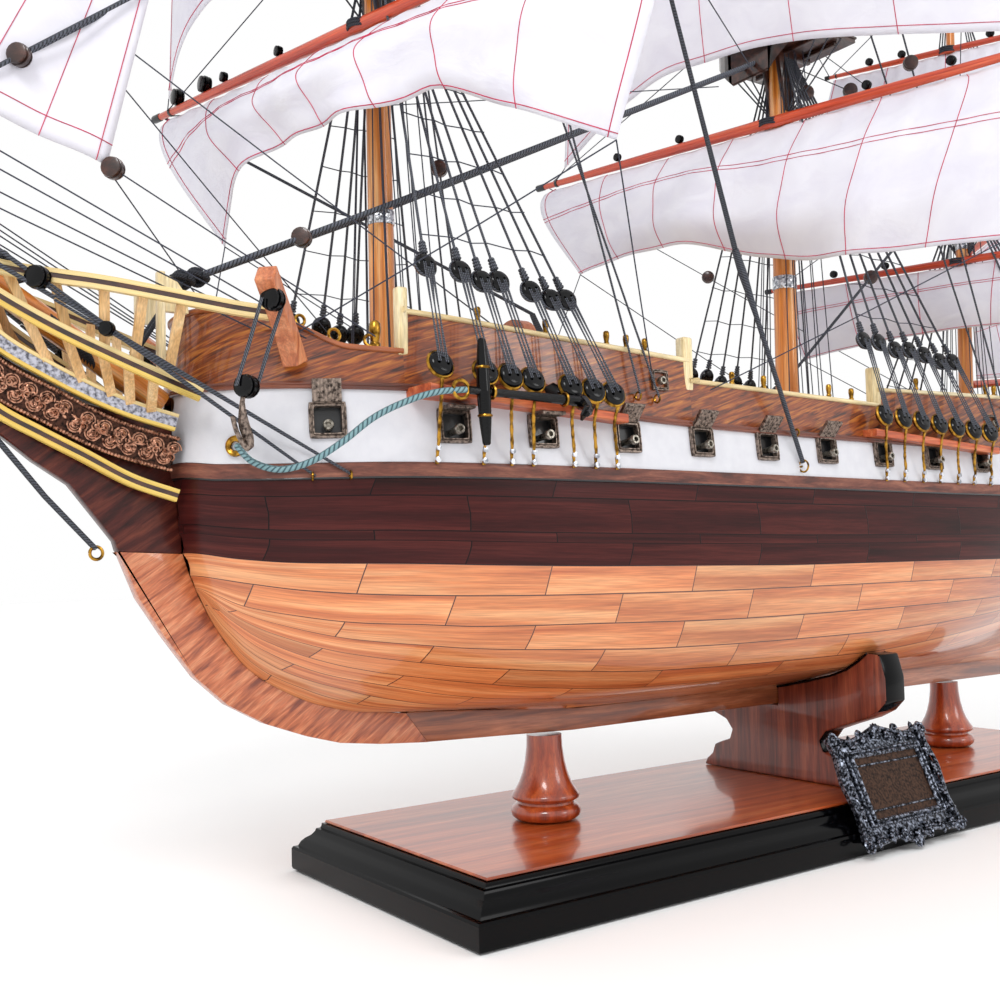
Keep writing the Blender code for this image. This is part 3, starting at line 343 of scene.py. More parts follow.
def wood(name, deep, mid, pale, figure=0.008, pore=0.0006, along=None, stretch=18.0,
         gloss=0.34, coat=0.6, planks=None, joint="#150b07", uneven=0.5, slant=None, shine=0.5):
    mat, skin = begin(name, mid, gloss, coat=coat, coat_roughness=0.07, shine=shine)
    place = add(mat, "ShaderNodeTexCoord", {})
    base = place.outputs["Object" if along else "UV"]
    if slant:
        base = add(mat, "ShaderNodeVectorRotate", {"Vector": base, "Angle": slant},
                   rotation_type="Y_AXIS" if along else "Z_AXIS").outputs[0]
    cells = None
    if planks:
        cells = add(mat, "ShaderNodeTexBrick",
                    {"Vector": base, "Color1": (0, 0, 0, 1), "Color2": (1, 1, 1, 1),
                     "Mortar": (0.5, 0.5, 0.5, 1), "Scale": 1.0, "Mortar Size": JOINT_WIDE,
                     "Mortar Smooth": 0.4, "Brick Width": planks[0], "Row Height": planks[1]})
        shift = add(mat, "ShaderNodeVectorMath", {0: cells.outputs["Color"], 1: (0.9, 2.7, 1.3)},
                    operation="MULTIPLY")
        base = add(mat, "ShaderNodeVectorMath", {0: base, 1: shift.outputs[0]},
                   operation="ADD").outputs[0]
    squeeze = along or (1 / stretch, 1.0, 1.0)
    run = add(mat, "ShaderNodeMapping", {"Vector": base, "Scale": squeeze}).outputs[0]
    figured = noise(mat, run, figure, 4.0, 0.7)
    fibre = noise(mat, run, pore, 3.0)
    tone = add(mat, "ShaderNodeValToRGB", {0: figured.outputs["Fac"]},
               stops=((0.30, deep), (0.72, pale), (0.50, mid)))
    streak = add(mat, "ShaderNodeMapRange", {0: fibre.outputs["Fac"], 1: 0.35, 2: 0.75,
                                             3: 0.72, 4: 1.12})
    colour = add(mat, "ShaderNodeVectorMath", {0: tone.outputs[0], 1: streak.outputs[0]},
                 operation="MULTIPLY").outputs[0]
    height = fibre.outputs["Fac"]
    if planks:
        own = add(mat, "ShaderNodeMapRange", {0: cells.outputs["Color"], 3: 1 - uneven * 0.5,
                                              4: 1 + uneven * 0.5})
        colour = add(mat, "ShaderNodeVectorMath", {0: colour, 1: own.outputs[0]},
                     operation="MULTIPLY").outputs[0]
        colour = add(mat, "ShaderNodeMix", {0: cells.outputs["Fac"], 6: colour, 7: linear(joint)},
                     data_type="RGBA").outputs[2]
        height = add(mat, "ShaderNodeMath", {0: height, 1: cells.outputs["Fac"]},
                     operation="SUBTRACT").outputs[0]
    feed(mat, skin, "Base Color", colour)
    emboss(mat, skin, height, 0.35, 0.0001)
    return mat


# Stand: a black lacquered moulding under a red-brown veneered panel.
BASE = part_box("base_moulding")
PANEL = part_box("base_top_panel")
lacquer, _ = begin("black_lacquer_on_mdf", "#020203", 0.14, coat=0.04, coat_roughness=0.04,
                   shine=0.10)
veneer = wood("mahogany_veneer", "#84330f", "#b04f20", "#cf7440", figure=0.011, pore=0.0007,
              along=(1 / 16, 1.0, 1.0), gloss=0.3, coat=0.5)


# The moulding's profile: how far in from the slab's edge, and how high.
SLAB_PROFILE = ((0.0014, 0.0), (0.0003, 0.0006), (0.0, 0.0016), (0.0, 0.0094), (0.0006, 0.0104),
                (0.0022, 0.0108), (0.0026, 0.0116), (0.0032, 0.0128), (0.0046, 0.0142),
                (0.0066, 0.0156), (0.0078, 0.0172), (0.0082, 0.0184), (0.0096, 0.0188),
                (0.0100, 0.0198), (0.0100, 0.0207))


def frame_loops(profile, low, high):
    loops = []
    for inset, z in profile:
        x0, x1, y0, y1 = low.x + inset, high.x - inset, low.y + inset, high.y - inset
        loops.append([(x0, y0, z), (x1, y0, z), (x1, y1, z), (x0, y1, z)])
    return loops


slab = gather("base_lacquered_moulding", [loft(frame_loops(SLAB_PROFILE, *BASE))], angle=28)
keep(slab, lacquer, "black_lacquer", "base_moulding")
panel_profile = ((0.0002, 0.0209), (0.0, 0.0211), (0.0, 0.0216), (0.0004, 0.0220))
panel = gather("base_veneered_panel", [loft(frame_loops(panel_profile, *PANEL))], angle=28)
keep(panel, veneer, "red_veneer", "base_top_panel")

# Pedestals: two turned and varnished hardwood pillars, screwed up through the base.
# Each profile point is a height above the panel and a radius.
PILLAR = ((0.0000, 0.0116), (0.0006, 0.0134), (0.0018, 0.0148), (0.0036, 0.0153), (0.0054, 0.0148),
          (0.0066, 0.0134), (0.0071, 0.0124), (0.0080, 0.0122), (0.0084, 0.0132), (0.0092, 0.0145),
          (0.0102, 0.0149), (0.0114, 0.0143), (0.0130, 0.0131), (0.0160, 0.0114), (0.0200, 0.0099),
          (0.0250, 0.0087), (0.0310, 0.0079), (0.0364, 0.0077))
turned = wood("turned_redwood", "#7c2a0e", "#a9431b", "#c6602f", figure=0.005, pore=0.0005,
              along=(1.0, 1.0, 1 / 10), gloss=0.28, coat=0.7)
for name in ("pedestal_fore", "pedestal_aft"):
    low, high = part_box(name)
    middle = (low + high) / 2
    points = [(middle.x, 0, low.z + h) for h, _ in PILLAR]
    pillar = gather("turned_" + name, [tube(points, [r for _, r in PILLAR], 48)], angle=50)
    keep(pillar, turned, "turned_wood", name)

# Hull form: one row for each level line, from the keel up. z, widest half-breadth, aft
# end, half-breadth there, two shape powers aft, fore end, two shape powers forward.
KEEL_HALF = 0.0030
MIDSHIP = 0.0600
FORM = (
    (0.0686, 0.0030, -0.2630, 0.0030, 1.40, 1.60, 0.1300, 2.90, 1.00),
    (0.0690, 0.0060, -0.2630, 0.0030, 1.40, 1.60, 0.1300, 2.90, 1.00),
    (0.0730, 0.0225, -0.2632, 0.0030, 1.40, 1.60, 0.1850, 2.90, 1.00),
    (0.0765, 0.0355, -0.2634, 0.0030, 1.45, 1.60, 0.2360, 2.90, 1.00),
    (0.0810, 0.0490, -0.2637, 0.0030, 1.50, 1.45, 0.2560, 2.90, 1.00),
    (0.0865, 0.0556, -0.2640, 0.0030, 1.60, 1.30, 0.2690, 3.00, 1.00),
    (0.0960, 0.0612, -0.2650, 0.0030, 1.90, 1.15, 0.2840, 3.40, 0.88),
    (0.1100, 0.0650, -0.2660, 0.0030, 2.40, 1.00, 0.2955, 3.90, 0.75),
    (0.1260, 0.0668, -0.2680, 0.0030, 3.20, 1.00, 0.3042, 3.80, 0.62),
    (0.1410, 0.0672, -0.2700, 0.0040, 4.30, 1.00, 0.3095, 3.70, 0.50),
    (0.1520, 0.0670, -0.2725, 0.0140, 4.50, 0.90, 0.3112, 3.80, 0.50),
    (0.1620, 0.0664, -0.2780, 0.0300, 4.50, 0.80, 0.3122, 4.00, 0.50),
    (0.1750, 0.0653, -0.2900, 0.0405, 3.50, 0.80, 0.3130, 4.20, 0.50),
    (0.1900, 0.0638, -0.2990, 0.0425, 3.20, 0.80, 0.3130, 4.20, 0.50),
    (0.2050, 0.0625, -0.3040, 0.0420, 3.00, 0.80, 0.3115, 4.20, 0.50),
    (0.2220, 0.0615, -0.3090, 0.0410, 3.00, 0.80, 0.3095, 4.20, 0.50),
    (0.2450, 0.0600, -0.3140, 0.0395, 3.00, 0.80, 0.3070, 4.20, 0.50),
)


def smooth_table(table, x):
    """Reads a table whose rows start with x, with a smooth curve between its rows."""
    if x <= table[0][0]:
        return table[0][1:]
    if x >= table[-1][0]:
        return table[-1][1:]
    i = next(k for k in range(len(table) - 1) if x <= table[k + 1][0])
    x1, x2 = table[i][0], table[i + 1][0]
    before, after = table[max(i - 1, 0)], table[min(i + 2, len(table) - 1)]
    h = x2 - x1
    t = (x - x1) / h
    values = []
    for v0, v1, v2, v3 in zip(before[1:], table[i][1:], table[i + 1][1:], after[1:]):
        slopes = []
        for a, b, c, xa, xb, xc in ((v0, v1, v2, before[0], x1, x2), (v1, v2, v3, x1, x2, after[0])):
            left = (b - a) / (xb - xa) if xb > xa else (c - b) / (xc - xb)
            right = (c - b) / (xc - xb) if xc > xb else left
            slopes.append(0.0 if left * right <= 0 else 2 * left * right / (left + right))
        m1, m2 = slopes
        values.append((2 * t ** 3 - 3 * t * t + 1) * v1 + (t ** 3 - 2 * t * t + t) * h * m1
                      + (3 * t * t - 2 * t ** 3) * v2 + (t ** 3 - t * t) * h * m2)
    return values


form_cache = {}


def form_row(z):
    key = round(z, 6)
    if key not in form_cache:
        form_cache[key] = smooth_table(FORM, z)
    return form_cache[key]


def half_breadth(x, z):
    mid, aft, aft_half, p_aft, q_aft, fore, p_fore, q_fore = form_row(z)
    if x >= MIDSHIP:
        s = min(max((x - MIDSHIP) / (fore - MIDSHIP), 0.0), 1.0)
        return KEEL_HALF + (mid - KEEL_HALF) * (1.0 - s ** p_fore) ** q_fore
    s = min(max(x / aft, 0.0), 1.0)
    return aft_half + (mid - aft_half) * (1.0 - s ** p_aft) ** q_aft


def fore_end(z):
    return form_row(z)[5]


def aft_end(z):
    return form_row(z)[1]


STATION_COUNT = 220
STATIONS = [0.5 - 0.5 * math.cos(math.pi * i / STATION_COUNT) for i in range(STATION_COUNT + 1)]
BOW_X, STERN_X = 0.31, -0.27


def side_line(height, share):
    """Point of a line round the side; height is a function of x, share runs aft to fore."""
    fore = fore_end(height(BOW_X))
    aft = aft_end(height(STERN_X))
    for _ in range(3):
        fore = fore_end(height(fore))
        aft = aft_end(height(aft))
    x = aft + (fore - aft) * share
    return x, height(x)


STRAKE = 0.0115


def side_skin(lines, sub, side, offset=0.0, shares=STATIONS):
    """Skin of the ship's side between lines from the top down, in sub rows for each strake."""
    columns = []
    for share in shares:
        marks = [line(share) for line in lines]
        column = []
        for k in range(len(marks) - 1):
            for j in range(sub + (k == len(marks) - 2)):
                t = j / sub
                x = marks[k][0] * (1 - t) + marks[k + 1][0] * t
                z = marks[k][1] * (1 - t) + marks[k + 1][1] * t
                column.append((x, side * (half_breadth(x, z) + offset), z, (k + t) * STRAKE))
        columns.append(column)
    count = len(columns[0])
    verts, maps, faces = [], [], []
    runs = [0.0] * count
    for i, column in enumerate(columns):
        for j, (x, y, z, v) in enumerate(column):
            if i:
                before = columns[i - 1][j]
                runs[j] += (Vector((x, y, z)) - Vector(before[:3])).length
            verts.append((x, y, z))
            maps.append((runs[j], v))
    for i in range(len(columns) - 1):
        for j in range(count - 1):
            a = i * count + j
            face = (a, a + 1, a + 1 + count, a + count)
            faces.append(face if side > 0 else face[::-1])
    return verts, faces, maps


def by_table(table):
    rows = sorted(table)
    return lambda x: smooth_table(rows, x)[0]


# Bottom planking: light cherry strakes about 11 mm wide. Two run level under the dark
# band, and seven fan out from one point on the stem and run down beside the keel.
CHERRY_TOP = by_table(((0.309, 0.1400), (0.298, 0.1373), (0.282, 0.1355), (0.244, 0.1342),
                       (0.211, 0.1329), (0.167, 0.1316), (0.112, 0.1307), (0.046, 0.1298),
                       (-0.108, 0.1298), (-0.26, 0.1345)))
FIRST_SEAM = by_table(((0.3062, 0.1317), (0.2948, 0.1288), (0.2764, 0.1255), (0.2529, 0.1234),
                       (0.2096, 0.1216), (0.1706, 0.1208), (0.081, 0.1200), (-0.108, 0.1205),
                       (-0.26, 0.1270)))
SECOND_SEAM = by_table(((0.3045, 0.1272), (0.293, 0.1205), (0.2816, 0.1174), (0.2594, 0.1136),
                        (0.2379, 0.1121), (0.2156, 0.1105), (0.1727, 0.1095), (0.0797, 0.1077),
                        (-0.108, 0.1095), (-0.26, 0.1190)))
FAN_STRAKES = 7
KEEL_TOP = 0.0686
RABBET = sorted([(row[6], row[0]) for row in FORM[1:10]] + [(STERN_X, KEEL_TOP), (0.0, KEEL_TOP)])


def fan_lines(share):
    """Points between the second seam and the keel, at even distances down the side."""
    x0, z0 = side_line(SECOND_SEAM, share)
    tip = side_line(SECOND_SEAM, 1.0)[0]
    x1 = aft_end(KEEL_TOP) + (tip - aft_end(KEEL_TOP)) * share
    z1 = smooth_table(RABBET, x1)[0]
    steps = 40
    fine = []
    for i in range(steps + 1):
        t = i / steps
        x = x0 + (x1 - x0) * t
        z = z0 + (z1 - z0) * t
        fine.append((x, z, Vector((x, half_breadth(x, z), z))))
    runs = [0.0]
    for a, b in zip(fine, fine[1:]):
        runs.append(runs[-1] + (b[2] - a[2]).length)
    marks = []
    k = 0
    for i in range(FAN_STRAKES + 1):
        want = runs[-1] * i / FAN_STRAKES
        while k < steps - 1 and runs[k + 1] < want:
            k += 1
        t = min((want - runs[k]) / max(runs[k + 1] - runs[k], 1e-9), 1.0)
        marks.append((fine[k][0] * (1 - t) + fine[k + 1][0] * t,
                      fine[k][1] * (1 - t) + fine[k + 1][1] * t))
    return marks


fans = {share: fan_lines(share) for share in STATIONS}
fan = [lambda share, k=k: fans[share][k] for k in range(FAN_STRAKES + 1)]
level_strakes = [lambda s, h=h: side_line(h, s) for h in (CHERRY_TOP, FIRST_SEAM, SECOND_SEAM)]
PLANK_LONG = 0.0727
cherry_planks = wood("cherry_strakes", "#b0582c", "#d5814b", "#ecaa74", figure=0.006,
                     pore=0.0006, stretch=26, planks=(PLANK_LONG, STRAKE), joint="#3a160c",
                     uneven=0.34, gloss=0.36, coat=0.7)
bits = []
for side in (1, -1):
    bits.append(side_skin(level_strakes, 3, side))
    bits.append(side_skin(fan, 3, side))
bottom = gather("bottom_planking", bits, outward=False, angle=60)
keep(bottom, cherry_planks, "hull_wood", "hull")

# Topside planking: dark walnut strakes from the cherry up to the black line.
BLACK_LINE = by_table(((0.312, 0.1666), (0.304, 0.1650), (0.288, 0.1645), (0.244, 0.1650),
                       (0.162, 0.1646), (0.046, 0.1639), (-0.108, 0.1630), (-0.26, 0.1665)))
WALNUT_ROWS = (0.0, 0.21, 0.62, 0.73, 1.0)


def between(top, bottom, t):
    return lambda x: top(x) * (1 - t) + bottom(x) * t


walnut_lines = [lambda s, h=between(BLACK_LINE, CHERRY_TOP, t): side_line(h, s)
                for t in WALNUT_ROWS]
walnut_planks = wood("walnut_strakes", "#260c0b", "#3d1413", "#56231e", figure=0.007,
                     pore=0.0005, stretch=22, planks=(PLANK_LONG, STRAKE), joint="#0b0506",
                     uneven=0.16, gloss=0.30, coat=0.06, shine=0.15)
topside = gather("topside_planking", [side_skin(walnut_lines, 4, s) for s in (1, -1)],
                 outward=False, angle=60)
keep(topside, walnut_planks, "dark_wood")


# Bands above the walnut: a thin black line, a rough redwood strip, the white painted gun
# band with its square holes, and a two-step brown moulding over it.
def side_path(height, side, offset=0.0, low=-1.0, high=1.0):
    """Points along the side at a height, aft to fore, between two places along the hull."""
    steps = 300
    points = []
    for i in range(steps + 1):
        x, z = side_line(height, math.sin(math.pi / 2 * i / steps))
        if low < x < high:
            points.append((x, side * (half_breadth(x, z) + offset), z))
    for place, x in ((0, low), (len(points), high)):
        if -1 < x < 1:
            points.insert(place, (x, side * (half_breadth(x, height(x)) + offset), height(x)))
    return points


def sweep(points, outline, side):
    """A moulding: an outline of outward and upward distances carried along a path."""
    pts = [Vector(p) for p in points]
    last = len(pts) - 1
    loops = []
    for i, here in enumerate(pts):
        along = heading(pts, i)
        out = Vector((-along.y, along.x, 0)).normalized() * side
        row = outline(i / last) if callable(outline) else outline
        loops.append([here + out * a + Vector((0, 0, b)) for a, b in row])
    return loft(loops)


def paint(name, code, dark, gloss=0.45, coat=0.3, shine=0.5):
    """Brushed paint over wood: faint uneven tone and a fine brush-mark relief."""
    mat, skin = begin(name, code, gloss, coat=coat, shine=shine)
    place = add(mat, "ShaderNodeTexCoord", {})
    blotch = noise(mat, place.outputs["Object"], 0.006, 5.0)
    tint(mat, skin, blotch.outputs["Fac"], (0.35, dark), (0.65, code))
    brush = noise(mat, place.outputs["Object"], 0.0009, 3.0)
    emboss(mat, skin, brush.outputs["Fac"], 0.25, 0.00012)
    return mat


STRIP_TALL = 0.0053
STRIP_TOP = lambda x: BLACK_LINE(x) + STRIP_TALL
WHITE_TOP = by_table(((0.312, 0.1960), (0.245, 0.1958), (0.165, 0.1903), (0.113, 0.1880),
                      (0.051, 0.1868), (-0.05, 0.1860), (-0.15, 0.1865), (-0.26, 0.1900),
                      (-0.30, 0.1940)))
PORT_X = (0.2729, 0.2282, 0.1909, 0.1502, 0.1095, 0.0699, 0.0303, -0.0105, -0.0501, -0.0908,
          -0.1304, -0.1711, -0.2118)
PORT_Z = by_table(((0.2745, 0.1848), (0.19, 0.1828), (0.03, 0.1815), (-0.2118, 0.1800)))
PORT_HALF = 0.0053


def in_port(x, z):
    near = min(PORT_X, key=lambda p: abs(p - x))
    return abs(near - x) < PORT_HALF and abs(PORT_Z(near) - z) < PORT_HALF


line_bits, strip_bits, band_bits, mould_bits = [], [], [], []
LINE_OUTLINE = [(0.0006 * math.cos(a), 0.0006 * math.sin(a)) for a in evenly(0, TURN, 8)[:-1]]
STRIP_OUTLINE = ((-0.0004, 0), (0.0007, 0.0001), (0.0009, 0.0012), (0.0009, STRIP_TALL - 0.0012),
                 (0.0007, STRIP_TALL - 0.0001), (-0.0004, STRIP_TALL))
MOULD_OUTLINE = ((-0.0006, 0), (0.0008, 0), (0.0015, 0.0004), (0.0016, 0.0010), (0.0011, 0.0014),
                 (0.0012, 0.0019), (0.0009, 0.0025), (0.0002, 0.0027), (-0.0006, 0.0027))
port_marks = sorted([x + s * PORT_HALF for x in PORT_X for s in (-1, 1)])
BAND_Z = 0.185
hull_run = fore_end(BAND_Z) - aft_end(BAND_Z)
band_shares = sorted(STATIONS + [(x - aft_end(BAND_Z)) / hull_run for x in port_marks])
band_rows = [WHITE_TOP, lambda x: PORT_Z(x) + PORT_HALF, PORT_Z, lambda x: PORT_Z(x) - PORT_HALF,
             STRIP_TOP]


def upright(height):
    """A line round the side whose columns stand upright, so that the holes come out square."""
    def line(share):
        x, _ = side_line(height, share)
        post = aft_end(BAND_Z) + hull_run * share
        fore_fade = min(max((0.300 - post) / 0.012, 0), 1)
        aft_fade = min(max((post + 0.245) / 0.02, 0), 1)
        x += (post - x) * fore_fade * aft_fade
        return x, height(x)
    return line


for side in (1, -1):
    line_bits.append(sweep(side_path(BLACK_LINE, side, 0.0002), LINE_OUTLINE, side))
    strip_bits.append(sweep(side_path(BLACK_LINE, side), STRIP_OUTLINE, side))
    band = side_skin([upright(h) for h in band_rows], 3, side, 0.0004, band_shares)
    kept = []
    for face in band[1]:
        middle = sum((Vector(band[0][k]) for k in face), Vector()) / 4
        if not in_port(middle.x, middle.z):
            kept.append(face)
    band_bits.append((band[0], kept, band[2]))
    mould_bits.append(sweep(side_path(WHITE_TOP, side, 0.0004), MOULD_OUTLINE, side))
black_satin = paint("black_satin_paint", "#121317", "#08080a", gloss=0.35, coat=0.4)
redwood_strip = wood("rough_redwood_strip", "#43201a", "#6e3a2c", "#905944", figure=0.003,
                     pore=0.0004, stretch=7, gloss=0.6, coat=0.1)
white_band = paint("white_enamel_band", "#cfcfd4", "#c9c9cf", gloss=0.45, coat=0.15)
brown_mould = wood("brown_stained_moulding", "#3f1c11", "#6a3220", "#8d4c30", figure=0.004,
                   pore=0.0004, gloss=0.4, coat=0.3)
keep(gather("black_side_line", line_bits), black_satin, "black_paint")
keep(gather("redwood_side_strip", strip_bits, angle=30), redwood_strip, "dark_wood")
keep(gather("white_gun_band", band_bits, outward=False), white_band, "hull_wood")
keep(gather("two_step_moulding", mould_bits, angle=25), brown_mould, "dark_wood")

# Bulwarks: dark ripple-grained boards in four runs, each with its own rail height, with a
# maple cap let over their tops. The run round the bow has a redder cap.
WALL = 0.0030
# Where each run starts and ends along the hull, and its rail's x and height.
RUNS = (("quarterdeck", -1.0, -0.0125, ((-0.32, 0.2260), (-0.28, 0.2210), (-0.20, 0.2160),
                                        (-0.115, 0.2145), (-0.0125, 0.2115))),
        ("waist", -0.0125, 0.1125, ((-0.0125, 0.2040), (0.1125, 0.2070))),
        ("forecastle", 0.1125, 0.2455, ((0.1125, 0.2155), (0.184, 0.2195), (0.2455, 0.2245))),
        ("bow", 0.2455, 1.0, ((0.2455, 0.2095), (0.2648, 0.2105), (0.2796, 0.2170), (0.2933, 0.2240),
                              (0.314, 0.2255))))
CAP_OUTLINE = ((-0.0040, 0), (-0.0040, 0.0014), (-0.0035, 0.0020), (-0.0026, 0.0021),
               (-0.0004, 0.0021), (0.0006, 0.0019), (0.0011, 0.0013), (0.0010, 0.0005), (0.0005, 0))


def wall_run(low, high, top, side):
    """A bulwark board between two places along the hull, from the moulding up to its rail."""
    steps, rows = 120, 7
    loops = []
    for i in range(steps + 1):
        q = math.sin(math.pi / 2 * i / steps) if high > 0.9 else i / steps
        loop = []
        for inward, order in ((0.0, range(rows)), (WALL, reversed(range(rows)))):
            for k in order:
                t = k / (rows - 1)
                x = 0.0
                for _ in range(3):
                    z = WHITE_TOP(x) + 0.0005 + (top(x) - WHITE_TOP(x)) * t
                    x0 = low if low > -1 else aft_end(z)
                    x1 = high if high < 1 else fore_end(z)
                    x = x0 + (x1 - x0) * q
                loop.append((x, side * max(half_breadth(x, z) - inward, 0.0002), z))
        loops.append(loop)
    return loft(loops)


maple = wood("maple_rail", "#d9bd86", "#efd9a6", "#f9ecc6", figure=0.005, pore=0.0005, stretch=20,
             gloss=0.38, coat=0.35)
red_cap = wood("sapele_cap", "#7a3a1a", "#a85c30", "#c98050", figure=0.004, pore=0.0005,
               gloss=0.38, coat=0.4)
ripple = wood("ripple_walnut", "#331006", "#8a3f13", "#c27629", figure=0.0014, pore=0.0005,
              stretch=11, slant=0.34, gloss=0.36, coat=0.5)
wall_bits, cap_bits, bow_cap_bits = [], [], []
for name, low, high, heights in RUNS:
    top = by_table(heights)
    for side in (1, -1):
        wall_bits.append(wall_run(low, high, top, side))
        path = side_path(top, side, 0.0, low, high)
        (bow_cap_bits if name == "bow" else cap_bits).append(sweep(path, CAP_OUTLINE, side))
keep(gather("bulwark_boards", wall_bits, angle=50), ripple, "dark_wood", "bulwarks")
keep(gather("maple_cap_rail", cap_bits, angle=50), maple, "pale_wood", "caprail")
keep(gather("bow_cap_rail", bow_cap_bits, angle=50), red_cap, "pale_wood")


# Rail posts: short maple posts with rounded heads where the rail steps down.
def pick(obj):
    """Leaves one piece selected, and active."""
    loose()
    obj.select_set(True)
    bpy.context.view_layer.objects.active = obj


def block(name, low, high, bevel=0.0, segments=2):
    """A cube primitive cut to two corners, its edges eased with a bevel that is applied."""
    loose()
    low, high = Vector(low), Vector(high)
    bpy.ops.mesh.primitive_cube_add(size=1)
    obj = bpy.context.object
    obj.name = name
    bpy.ops.object.mode_set(mode="EDIT")
    bpy.ops.transform.resize(value=high - low, center_override=(0, 0, 0))
    bpy.ops.transform.translate(value=(low + high) / 2)
    bpy.ops.object.mode_set(mode="OBJECT")
    if bevel:
        shape(obj, "BEVEL", width=bevel, segments=segments)
    obj.data.shade_smooth()
    obj.data.set_sharp_from_angle(angle=math.radians(35))
    return obj


def shape(obj, kind, **settings):
    """Adds a modifier to a piece and applies it."""
    step = obj.modifiers.new(kind.lower(), kind)
    for key, value in settings.items():
        setattr(step, key, value)
    bpy.context.view_layer.objects.active = obj
    bpy.ops.object.modifier_apply(modifier=step.name)
    return obj


def centred(name, x, y, half_x, half_y, low, high, **eased):
    """A block set by its middle and half sizes in plan, its foot and its top."""
    return block(name, (x - half_x, y - half_y, low), (x + half_x, y + half_y, high), **eased)


def join(name, pieces):
    pick(pieces[0])
    for piece in pieces:
        piece.select_set(True)
    bpy.ops.object.join()
    pieces[0].name = name
    loose()
    return pieces[0]


# x, half width, foot and top of each post.
POSTS = ((0.2453, 0.0021, 0.2090, 0.2340), (0.1125, 0.0027, 0.2030, 0.2265),
         (-0.0128, 0.0027, 0.2020, 0.2235))
posts = []
maple_block = wood("maple_block", "#d9bd86", "#efd9a6", "#f9ecc6", figure=0.004, pore=0.0005,
                   along=(1, 1, 1 / 12), gloss=0.38, coat=0.35)
for x, half, low, high in POSTS:
    for side in (1, -1):
        y = side * (half_breadth(x, 0.21) + 0.0004 - half)
        posts.append(centred("rail_post", x, y, half, half, low, high, bevel=half * 0.4, segments=4))
keep(join("maple_rail_posts", posts), maple_block, "pale_wood")

# Decks: narrow pale planks caulked with a dark line. The waist deck is laid over the hull,
# the forecastle and quarterdeck are the frame's own nodes.
deck_planks = wood("deck_planks", "#c99f62", "#dcb981", "#ecd3a2", figure=0.006, pore=0.0006,
                   along=(1 / 20, 1, 1), planks=(0.075, 0.0046), joint="#33241a", uneven=0.22,
                   gloss=0.5, coat=0.15)
for name in ("forecastle_deck", "quarterdeck"):
    bpy.data.objects[name].data.materials.clear()
    bpy.data.objects[name].data.materials.append(deck_planks)
DECK_Z, DECK_THICK = 0.1900, 0.0030
DECK_AFT, DECK_FORE = -0.296, 0.306
waist_loops = []
for x in evenly(DECK_AFT, DECK_FORE, 120):
    half = max(half_breadth(x, DECK_Z) - 0.0029, 0.001)
    waist_loops.append([(x, -half, DECK_Z - DECK_THICK), (x, half, DECK_Z - DECK_THICK),
                        (x, half, DECK_Z), (x, -half, DECK_Z)])
waist_deck = gather("waist_deck_planks", [loft(waist_loops)], angle=30)
keep(waist_deck, deck_planks, "pale_wood")

# Keel, stem and rudder: sapele, sawn flat and glued on, with a scarph joint where the stem
# meets the keel. Above the orange planks the stem is stained nearly black.
STEM_FRONT = ((0.2121, 0.0620), (0.2295, 0.0633), (0.2473, 0.0656), (0.2607, 0.0694),
              (0.2778, 0.0758), (0.2925, 0.0840), (0.3045, 0.0949), (0.3160, 0.1106),
              (0.3249, 0.1242), (0.3333, 0.1445), (0.3396, 0.1526), (0.3486, 0.1641),
              (0.3606, 0.1720), (0.3710, 0.1805), (0.3820, 0.1890), (0.3905, 0.1985),
              (0.3960, 0.2085))
DARK_STEM_Z = 0.1397


def plate(name, outline, half, bevel=0.0, middle=0.0):
    """A board sawn to an outline of x and z, drawn out sideways to its thickness."""
    mesh = bpy.data.meshes.new(name)
    mesh.from_pydata([(x, middle - half, z) for x, z in outline], [], [tuple(range(len(outline)))])
    obj = bpy.data.objects.new(name, mesh)
    bpy.context.scene.collection.objects.link(obj)
    pick(obj)
    bpy.ops.object.mode_set(mode="EDIT")
    bpy.ops.mesh.select_all(action="SELECT")
    bpy.ops.mesh.extrude_region_move(TRANSFORM_OT_translate={"value": (0, 2 * half, 0)})
    bpy.ops.mesh.select_all(action="SELECT")
    bpy.ops.mesh.normals_make_consistent(inside=False)
    bpy.ops.object.mode_set(mode="OBJECT")
    if bevel:
        shape(obj, "BEVEL", width=bevel, segments=2, limit_method="ANGLE",
              angle_limit=math.radians(25))
    mesh.shade_smooth()
    mesh.set_sharp_from_angle(angle=math.radians(30))
    return obj


def back_at(z):
    """The stem's after edge, just behind the planks' ends."""
    rows = [(row[0], row[6]) for row in FORM]
    return smooth_table(rows, z)[0] + 0.0002


keel_wood = wood("sapele_keel", "#6d3218", "#a05a34", "#c88058", figure=0.005, pore=0.0006,
                 along=(1 / 14, 1, 1), gloss=0.36, coat=0.6)
stem_wood = wood("sapele_stem", "#7c3316", "#c0683c", "#dd9468", figure=0.0022, pore=0.0005,
                 along=(1 / 9, 1, 1), slant=-0.62, gloss=0.36, coat=0.6)
dark_stem = wood("stained_stem", "#2a0f0d", "#4a1d18", "#6b3426", figure=0.003, pore=0.0005,
                 along=(1 / 9, 1, 1), slant=-0.62, gloss=0.28, coat=0.10, shine=0.2)
SCARPH_TOP, SCARPH_LOW = (0.2180, 0.0745), (0.2080, 0.0619)
keel_line = [(-0.2690, 0.0592), (0.1328, 0.0592), (0.1702, 0.0606)] + [SCARPH_LOW, SCARPH_TOP]
keel_line += [(0.2160, 0.0750), (0.1852, 0.0729), (0.1302, 0.0688), (-0.2690, 0.0688)]
keel = plate("sapele_keel", keel_line, KEEL_HALF, bevel=0.0005)
keep(keel, keel_wood, "keel_wood", "keel_and_stem")

